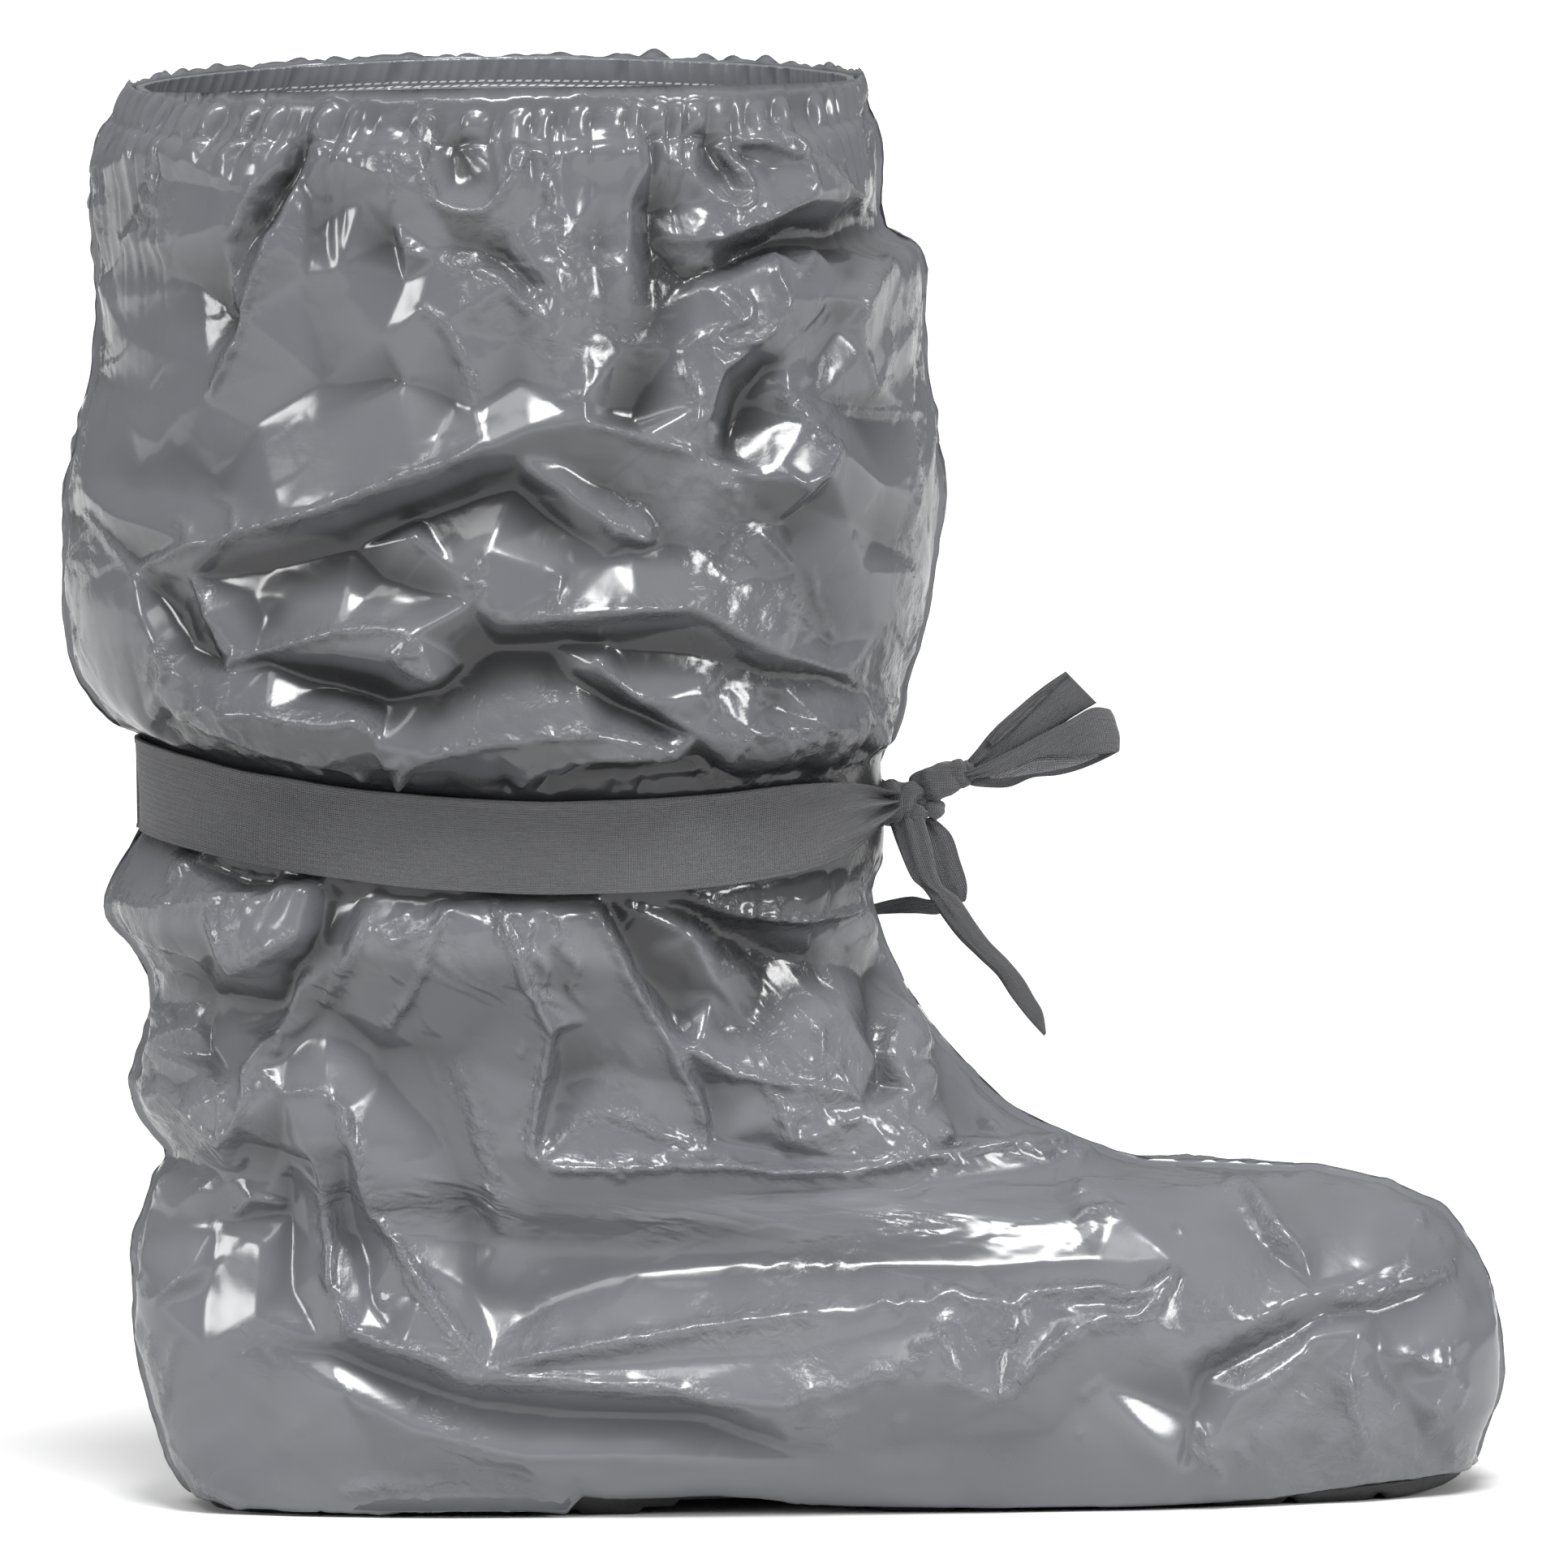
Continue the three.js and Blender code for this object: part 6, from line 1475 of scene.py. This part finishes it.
def film_panel(name, side):
    """One panel of the film, side -1 near and 1 far."""
    near = side < 0
    columns, rows = NEAR_CELLS[name] if near else FAR_CELLS
    start, stop = (-math.pi, 0) if near else (0, math.pi)
    keys = panel_keys(name, start, stop, columns)
    base = between(keys, even_rows(keys, rows))
    normal = normals_of(base)
    for grid in (base, normal):
        grid[:, 0, 1] = 0
        grid[:, -1, 1] = 0
    normal /= np.linalg.norm(normal, axis=2, keepdims=True)
    u, v = arc_lengths(base)
    relief, worn = film_relief(name, near, base, normal, u, v)
    z = base[..., 2]
    if name == "shaft":
        away = np.clip(z - tie_middle(base[..., 0]) - TIE_WIDE / 2, 0, None)
        below = np.clip(RIM_HIGH - z, 0, None)
        rim = u[-1:] + 0 * u
        relief = gather_collar(relief, rim, below)
        gathered = u[:1] + 0 * u
    else:
        away = np.clip(tie_middle(base[..., 0]) - TIE_WIDE / 2 - z, 0, None)
        relief *= smooth(np.clip(v - 6, 0, None), 2, 12)
        gathered = u[-1:] + 0 * u
    relief = relief * smooth(away, .2, 5) + 1.2 * pleats(gathered, away, 7, 9, 10) * smooth(away, .2, 3)
    outer = base + normal * relief[..., None]
    # Shade painted into the film's colour, kept on the mesh beside the crackle.
    painted_shade = paint_film_shade(relief, outer, base, away)
    if name == "shaft":
        wavy = 1.1 * waves(rim, 0 * u, 5.2, 14) + .8 * collar_gathers(rim, 0 * u) + (.6 if not near else 0)
        outer[..., 2] += wavy * smooth(12 - below, 0, 12) - rim_drop(base) * smooth(26 - below, 0, 24)
    inner = inner_skin(outer, base, normal, relief, u)
    bm = thin_body(outer, inner, u * MM, v * MM, {"crackle": worn, "painted_shade": painted_shade})
    piece = new_piece(name + ("_near_panel" if near else "_far_panel"), bm, FILM)
    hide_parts("upper")


# Ribbons of the knot, row by row: the point on one edge and the point on the other, as x, y and z from the
# knot's centre in millimetres.
UPPER_STRIP = [
    (14.7, -1.2, 9.3, 16.5, -1.2, 7.4), (17.9, -1.6, 12.8, 20.3, -1.6, 8.5),
    (22.2, -2.2, 18, 27.7, -1.6, 12.3), (29.4, -2.6, 24.5, 36.9, -1.6, 17.1),
    (36.2, -2.4, 29.8, 44.3, -1.8, 21.8), (42.1, -2.2, 33.7, 50.2, -2, 25.2)]
UPPER_HEM = [
    (20.8, -3.6, 16, 22.1, -3.4, 14.1), (23.8, -3.9, 19.9, 25.9, -3.5, 16.9),
    (29.7, -4.1, 24.5, 31.8, -3.5, 22.4), (36.2, -3.9, 29.5, 37.6, -3.3, 28.3),
    (42.1, -3.5, 33.5, 42.8, -3.1, 32.8)]
UPPER_BOW = [
    (14.3, -4, 7.6, 16.2, -4, 5.9), (19.5, -4.8, 9.3, 21.4, -5.4, 6.3), (27, -5.2, 13, 28.7, -6, 8.7),
    (34.6, -5.6, 16.9, 35.9, -6, 11.5), (42.1, -5.8, 20.7, 43.2, -5.6, 11.5),
    (48.6, -5.4, 24.1, 50.5, -5, 11.8), (52.7, -3, 23.7, 54.8, -2.6, 12),
    (53.5, -.2, 22.7, 55.5, .2, 11.7), (49.7, 2.6, 20.9, 50.7, 2.4, 9.1), (44.3, 3.4, 16.9, 45.3, 3, 7),
    (39.4, 3.2, 13.4, 39.7, 2.8, 5.7), (32.4, 2.4, 10.4, 33.1, 2, 5.2), (25.9, 1.8, 7.6, 26.8, 1.2, 2.9),
    (19.5, 1.2, 7, 19.1, .6, 3.1), (15, .6, 6.3, 15.4, .4, 4)]
TAIL = [
    (-5.1, -2.2, -5.7, 3.5, -3, -3.1), (-3.1, -3, -11.7, 5.7, -4, -10.7),
    (.5, -3.4, -20.3, 8.3, -4.2, -21.6), (4, -3.6, -24, 13, -4.2, -25.9),
    (8.5, -3.6, -30.9, 17.1, -4, -32.2), (12.8, -3.6, -36.7, 21.2, -4, -37.8),
    (18.4, -3.4, -42.3, 25.9, -3.8, -42.7), (22.9, -3.2, -46.8, 29.8, -3.8, -47.6),
    (26.4, -3.2, -52.2, 32.8, -3.4, -52.8), (30.9, -3, -58.2, 35, -3.2, -56.9),
    (35.2, -2.8, -63.1, 35.8, -2.8, -62.3)]
BOW_INSIDE = [
    (21, -1.8, 7, 22, -1.8, 5.4), (27, -2.2, 9.6, 27.5, -2.2, 5.8), (33, -2.4, 12.2, 33.5, -2.6, 6.7),
    (39, -2.4, 12.6, 39.5, -2.6, 7.6), (45, -2.2, 12.6, 45.5, -2.2, 9), (50, -1.8, 12.4, 50.6, -1.8, 11)]
LOWER_BOW = [
    (1.8, 1.2, -5.7, 6.3, .6, -4.6), (3.1, 1.4, -10.7, 11.3, .4, -9.4), (5, 1, -17.1, 13.7, .2, -16.5),
    (7.2, .8, -23.6, 15.4, .2, -22.7), (8.9, 1.6, -27, 15, 1.4, -27),
    (8.9, 3.4, -25.1, 13.9, 3.2, -25.3), (6.6, 4.4, -18.2, 11.3, 4.2, -19),
    (4, 4.2, -10.7, 8.3, 4, -11.3), (2.2, 4, -6.4, 5.5, 3.8, -6.4)]
FAR_STRIP = [
    (1.2, 4.3, -4.2, 3.5, 4.3, -3.4), (4, 7.4, -16, 7.2, 7.4, -15.2), (6.1, 9.2, -24.6, 10.9, 9.2, -25.1),
    (6.1, 11, -27.6, 8.9, 11, -31.1), (1.4, 15.6, -27, 2.2, 15, -31.5),
    (-3.4, 21, -28.1, -2.9, 20, -31.9), (-8.5, 29, -30, -8.1, 28, -32.8),
    (-12.8, 34, -31.1, -12.4, 33, -33.7)]
# Turns of the knot: centre, axis, ring radius, half width along the axis and half thickness.
KNOT_TURNS = [(-4.2, -.6, -.8, 1, .15, .1, 2.6, 5.6, 3.5), (.2, -1.2, -.4, .72, -.5, -.35, 3.4, 3.2, 2.2),
              (1.6, -.4, -2.6, .6, -.2, .75, 2.6, 2.6, 1.8),
              (8.4, -.7, 4.9, .92, .1, .36, 2, 5.4, 2.7), (13.2, -.8, 6.8, .93, 0, .34, 1.7, 3.4, 2.3),
              (16, -.8, 7.7, .9, 0, .4, 1.2, 1.7, 1.6), (6.6, -.3, -2.2, .5, .1, .8, 1.5, 2.6, 1.7)]
# Cores inside the turns: centre and half sizes.
KNOT_CORES = [(-1.6, -.4, -.4, 4.6, 3.8, 4.2), (7.2, -.4, 5.2, 7, 3, 3.2), (3.4, .2, .2, 4.4, 2.8, 3)]


def edge_grid(table, rings, sections, crown, pleat):
    """Middle surface of a ribbon between its two edges, with even steps along it."""
    rows = np.array(table, float)
    at = np.linspace(0, len(rows) - 1, 500)
    fine = between(rows, at)
    middle = (fine[:, :3] + fine[:, 3:]) / 2
    long = np.concatenate([[0], np.cumsum(np.linalg.norm(np.diff(middle, axis=0), axis=1))])
    even = between(rows, np.interp(np.linspace(0, long[-1], rings + 1), long, at))
    share = np.linspace(0, 1, sections + 1)[None, :, None]
    grid = even[:, None, :3] * (1 - share) + even[:, None, 3:] * share + np.array(KNOT)
    wide = np.linalg.norm(even[:, 3:] - even[:, :3], axis=1)
    run = np.linspace(0, long[-1], rings + 1)
    through = normals_of(grid)
    share = share[..., 0]
    bow = crown * wide[:, None] * 4 * share * (1 - share)
    bow = bow + pleat * np.sin(share * 15 + 1.3 * np.sin(run[:, None] / 9)) * np.exp(-run[:, None] / 26)
    bow = bow + .25 * waves(run[:, None] + 0 * share, share * wide[:, None], 5, 17)
    return grid + through * bow[..., None], through, run, wide, share


def ribbon(name, node, tables, crown=.08, pleat=.35, thick=.7, rings=80, sections=20, material=None):
    """Strips of ribbon between their edges, closed round their edges and ends, as one piece."""
    bm = bmesh.new()
    for k, table in enumerate(tables):
        middle, through, run, wide, share = edge_grid(table, rings, sections, crown, pleat)
        if k == 0:
            path = middle.mean(axis=1)
        u = share * wide[:, None] * MM
        v = (run[:, None] + 0 * share) * MM
        half = thick / 2 * np.sqrt(1 - .5 * (2 * share - 1) ** 8)[..., None]
        top = lay_grid(bm, middle + through * half, u, v)
        under = lay_grid(bm, middle - through * half, u, v)
        flip(bm, under)
        close_sides(bm, top, under)
    bmesh.ops.recalc_face_normals(bm, faces=bm.faces[:])
    piece = new_piece(name, bm, material or RIBBON)
    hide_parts(node)
    return piece, path


def knot_turn(bm, turn, k):
    """One wrap of the ribbon: a flattened ring round its own axis, with the ribbon's folds run along it."""
    x, y, z, ax, ay, az, radius, wide, thick = turn
    axis = Vector((ax, ay, az)).normalized()
    side = axis.cross(Vector((0, 1, 0))).normalized()
    start = bmesh.ops.create_circle(bm, segments=28, radius=1)["verts"]
    for vert in start:
        around = math.atan2(vert.co.y, vert.co.x)
        fold = 1 + .07 * math.cos(5 * around + k) + .04 * math.sin(9 * around + 2 * k)
        out = radius + thick * fold * math.cos(around)
        vert.co = side * out + axis * (wide * fold * math.sin(around))
    edges = list({edge for vert in start for edge in vert.link_edges})
    bmesh.ops.spin(bm, geom=start + edges, cent=(0, 0, 0), axis=axis, angle=2 * math.pi, steps=56,
                   use_merge=True)
    for vert in [vert for vert in bm.verts if not vert.tag]:
        vert.tag = True
        bend = 1 + .05 * math.sin(3 * math.atan2(vert.co.dot(side.cross(axis)), vert.co.dot(side)) + k)
        vert.co = (vert.co * bend + KNOT + Vector((x, y, z))) * MM


def make_knot():
    bm = bmesh.new()
    layer = bm.loops.layers.uv.new("UVMap")
    for k, turn in enumerate(KNOT_TURNS):
        knot_turn(bm, turn, k)
    for x, y, z, a, b, c in KNOT_CORES:
        core = bmesh.ops.create_uvsphere(bm, u_segments=32, v_segments=20, radius=1)["verts"]
        for vert in core:
            vert.tag = True
            size = Vector((vert.co.x * a, vert.co.y * b, vert.co.z * c))
            vert.co = (size + KNOT + Vector((x, y, z))) * MM
    for face in bm.faces:
        for loop in face.loops:
            loop[layer].uv = (loop.vert.co.z + .4 * loop.vert.co.y, loop.vert.co.x + .3 * loop.vert.co.y)
    bmesh.ops.remove_doubles(bm, verts=bm.verts[:], dist=1e-7)
    bmesh.ops.recalc_face_normals(bm, faces=bm.faces[:])
    piece = new_piece("tie_knot_turns", bm, RIBBON)
    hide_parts("tie_knot")
    return piece


def ring_grid(make_row, columns, shares):
    angles = np.linspace(-math.pi, math.pi, columns + 1)
    return np.array([make_row(angles, share) for share in shares])


def make_tie():
    """Ribbon round the ankle: a closed band with a thick selvedge, drawn together towards the knot."""
    columns = 480
    shares = np.linspace(-1, 1, 41)

    def face(offset):
        def row(angles, share):
            gather = 1 - .84 * np.exp(-(angles / .45) ** 2)
            gather -= .02 * waves(40 * angles, 0 * angles, 7, 3 if share > 0 else 9)
            low = level_points(tie_row(-TIE_WIDE / 2), angles)
            high = level_points(tie_row(TIE_WIDE / 2), angles)
            point = lerp(low, high, .5 + .5 * (1 - 2 * GAP / TIE_WIDE) * share * gather[:, None])
            draw = np.exp(-(angles / .42) ** 2)
            fold = 2.2 * (np.sin(share * 8 + 2 * angles) + .4) * draw
            bulge = .35 * waves(60 * angles, 6 * share + 0 * angles, 9, 21)
            bulge = bulge + .25 * waves(60 * angles, 11 * share + 0 * angles, 14, 27)
            rib = .25 * (abs(share) > .9)
            return point + outward(tie_row(0), angles) * (offset + (fold + bulge + rib)[:, None])
        return ring_grid(row, columns, shares)

    out = face(TIE_GAP + TIE_THICK + .35)
    inside = face(TIE_GAP)
    u, v = arc_lengths(out)
    bm = bmesh.new()
    outer = lay_grid(bm, out, v * MM, u * MM)
    inner = lay_grid(bm, inside, v * MM, u * MM)
    flip(bm, inner)
    close_sides(bm, outer, inner)
    bmesh.ops.remove_doubles(bm, verts=bm.verts[:], dist=1e-6)
    piece = new_piece("ankle_tie_ribbon", bm, TIE_RIBBON)
    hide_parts("ankle_tie")


def make_casing():
    """Hem inside the rim, gathered on its elastic."""
    columns = 900
    downs = np.linspace(0, CASING_HIGH, 19)
    angles = np.linspace(-math.pi, math.pi, columns + 1)
    along = 95 * angles

    def face(inset):
        rows = []
        for down in downs:
            row = collar_row(down)
            point = level_points(row, angles)
            middle = math.sin(math.pi * down / CASING_HIGH)
            gather = .9 * pleats(along, 0 * along, 31, 4, 10) * (.5 + .5 * middle)
            stitch = -.5 * math.exp(-((down - CASING_HIGH + .8) / .5) ** 2)
            drop = rim_drop(point)
            move = inset + .3 * middle * (inset > 2.5) - gather - stitch
            point = point - outward(row, angles) * move[:, None]
            point[:, 2] -= .3 + drop
            rows.append(point)
        return np.array(rows)

    out = face(2.3)
    inside = face(4.1)
    u, v = arc_lengths(out)
    bm = bmesh.new()
    outer = lay_grid(bm, out, u * MM, v * MM)
    inner = lay_grid(bm, inside, u * MM, v * MM)
    flip(bm, outer)
    close_sides(bm, outer, inner)
    bmesh.ops.remove_doubles(bm, verts=bm.verts[:], dist=1e-6)
    piece = new_piece("collar_hem", bm, HEM)
    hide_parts("collar_casing")


# The sole: a thin curled margin, a heel block with a ragged breast, an arch, and grooves across the tread.
ARCH_STEPS = [(.366, 0), (.366, .4), (.39, .45), (.39, .85), (.42, .9), (.45, 1), (.5, .95), (.545, 0)]
GROOVES = [(.125, .6), (.165, .6), (.235, .6), (.275, .6), (.315, .6), (.6, .6), (.64, .6), (.7, .6),
           (.74, .6), (.78, .6), (.838, 1), (.905, 1)]
GROOVE_DEEP = 1.9
# The sole's rows by how far they lie in from its edge, how far they take to run together inside its
# margin, and how far short of the two tips they end.
SOLE_INSETS = [0, .8, 2, 4, 6, 8, 11, 15, 20, 26, 33, 41, 50]
SOLE_INSIDE = 43
TIP_SHORT = 40


def under_height(x):
    share = (x - HEEL_BACK) / FOOT_LONG
    up = np.zeros_like(share)
    for (s0, u0), (s1, u1) in zip(ARCH_STEPS, ARCH_STEPS[1:]):
        if s1 > s0:
            inside = (share >= s0) & (share <= s1)
            up = np.where(inside, lerp(u0, u1, (share - s0) / (s1 - s0)), up)
    height = up * ARCH_RISE + spring_at(x) * (share > .9)
    for station, deep in GROOVES:
        away = np.abs(x - HEEL_BACK - station * FOOT_LONG)
        height = np.maximum(height, spring_at(x) * (share > .9) + GROOVE_DEEP * deep * (away < 1.6))
    return height


def make_sole():
    columns = 480
    angles = even_angles(lambda a: outline(a, 0), -math.pi, math.pi, columns)
    edge = outline(angles, 0)

    def ring(inset, under):
        point = outline(angles, min(inset, MARGIN_WIDE))
        if inset > MARGIN_WIDE:
            more = (inset - MARGIN_WIDE) / SOLE_INSIDE
            flat = point.copy()
            flat[:, 1] *= 1 - more
            short = np.clip(flat[:, 0], edge[:, 0].min() + TIP_SHORT, edge[:, 0].max() - TIP_SHORT)
            flat[:, 0] = lerp(flat[:, 0], short, more)
            flat[:, 2] = seat_height(flat[:, 0])
            point = flat
        if under:
            top = point[:, 2].copy()
            point[:, 2] = under_height(point[:, 0])
            if inset < MARGIN_WIDE:
                lift = max(0, 1 - inset / 6) ** 2
                point[:, 2] = lerp(point[:, 2], top - 2.4, lift)
        return point

    grid = [ring(inset, False) for inset in SOLE_INSETS[::-1]]
    grid = np.array(grid + [ring(inset, True) for inset in SOLE_INSETS])
    u, v = arc_lengths(grid)
    bm = bmesh.new()
    lay_grid(bm, grid[::-1], u * MM, v * MM)
    bmesh.ops.remove_doubles(bm, verts=bm.verts[:], dist=2e-5)
    bmesh.ops.recalc_face_normals(bm, faces=bm.faces[:])
    piece = new_piece("sole_sheet", bm, SOLE)
    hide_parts("sole")


def make_shoe():
    ends = [ribbon("tie_upper_strip", "tie_upper_end", [UPPER_STRIP, UPPER_HEM], rings=90)[0],
            ribbon("tie_upper_bow", "tie_upper_loop", [UPPER_BOW], rings=140, pleat=.25)[0],
            # The bow's inside and the far strip take the ribbon with painted light and sheen.
            ribbon("tie_bow_inside", "tie_upper_loop", [BOW_INSIDE], rings=60, pleat=.1, material=PAINTED_LIGHT_RIBBON)[0],
            ribbon("tie_lower_bow", "tie_lower_loop", [LOWER_BOW], crown=-.08, rings=90)[0],
            ribbon("tie_far_strip", "tie_far_end", [FAR_STRIP], crown=.03, pleat=.1, rings=70,
                   material=PAINTED_LIGHT_RIBBON)[0]]
    tail, path = ribbon("tie_tail", "tie_lower_tail", [TAIL], crown=-.16, pleat=-.5, rings=120)
    knot = make_knot()
    for name in ("shaft", "foot"):
        for side in (-1, 1):
            film_panel(name, side)
    make_tie()
    make_casing()
    make_sole()


make_shoe()


# Floor and light.
FLOOR_HALF = 12
SUN_AWAY = 3
# Soft lights: azimuth, elevation and apparent width in degrees, and strength.
LIGHTS = {"key": (7, 58, 18, 2.6), "fill": (-30, 50, 20, .5), "right_strip": (56, 18, 14, 1.4),
          "left_strip": (-60, 14, 14, .9)}


def make_floor():
    bm = bmesh.new()
    bmesh.ops.create_grid(bm, x_segments=1, y_segments=1, size=FLOOR_HALF)
    mesh = bpy.data.meshes.new("floor")
    bm.to_mesh(mesh)
    bm.free()
    mesh.materials.append(floor_material())
    obj = bpy.data.objects.new("floor", mesh)
    bpy.context.collection.objects.link(obj)


def sun_light(name, azimuth, elevation, width, strength):
    data = bpy.data.lights.new(name, "SUN")
    data.angle = math.radians(width)
    data.energy = strength
    light = bpy.data.objects.new(name, data)
    away = direction(azimuth, elevation)
    light.location = SUN_AWAY * away
    light.rotation_euler = away.to_track_quat("Z", "Y").to_euler()
    bpy.context.collection.objects.link(light)


def light_studio():
    world = bpy.data.worlds.new("studio")
    world.use_nodes = True
    net = world.node_tree
    way = add(net, "TexCoord")
    split = add(net, "SeparateXYZ")
    net.links.new(way.outputs["Generated"], split.inputs[0])
    sky = ramp(net, split.outputs["Z"], [(0, grey(.2)), (.35, grey(.4)), (1, grey(1))])
    background = net.nodes["Background"].inputs
    net.links.new(sky, background["Color"])
    background["Strength"].default_value = .85
    bpy.context.scene.world = world
    for name, values in LIGHTS.items():
        sun_light(name, *values)
    bpy.context.scene.view_settings.view_transform = "Standard"


make_floor()
light_studio()
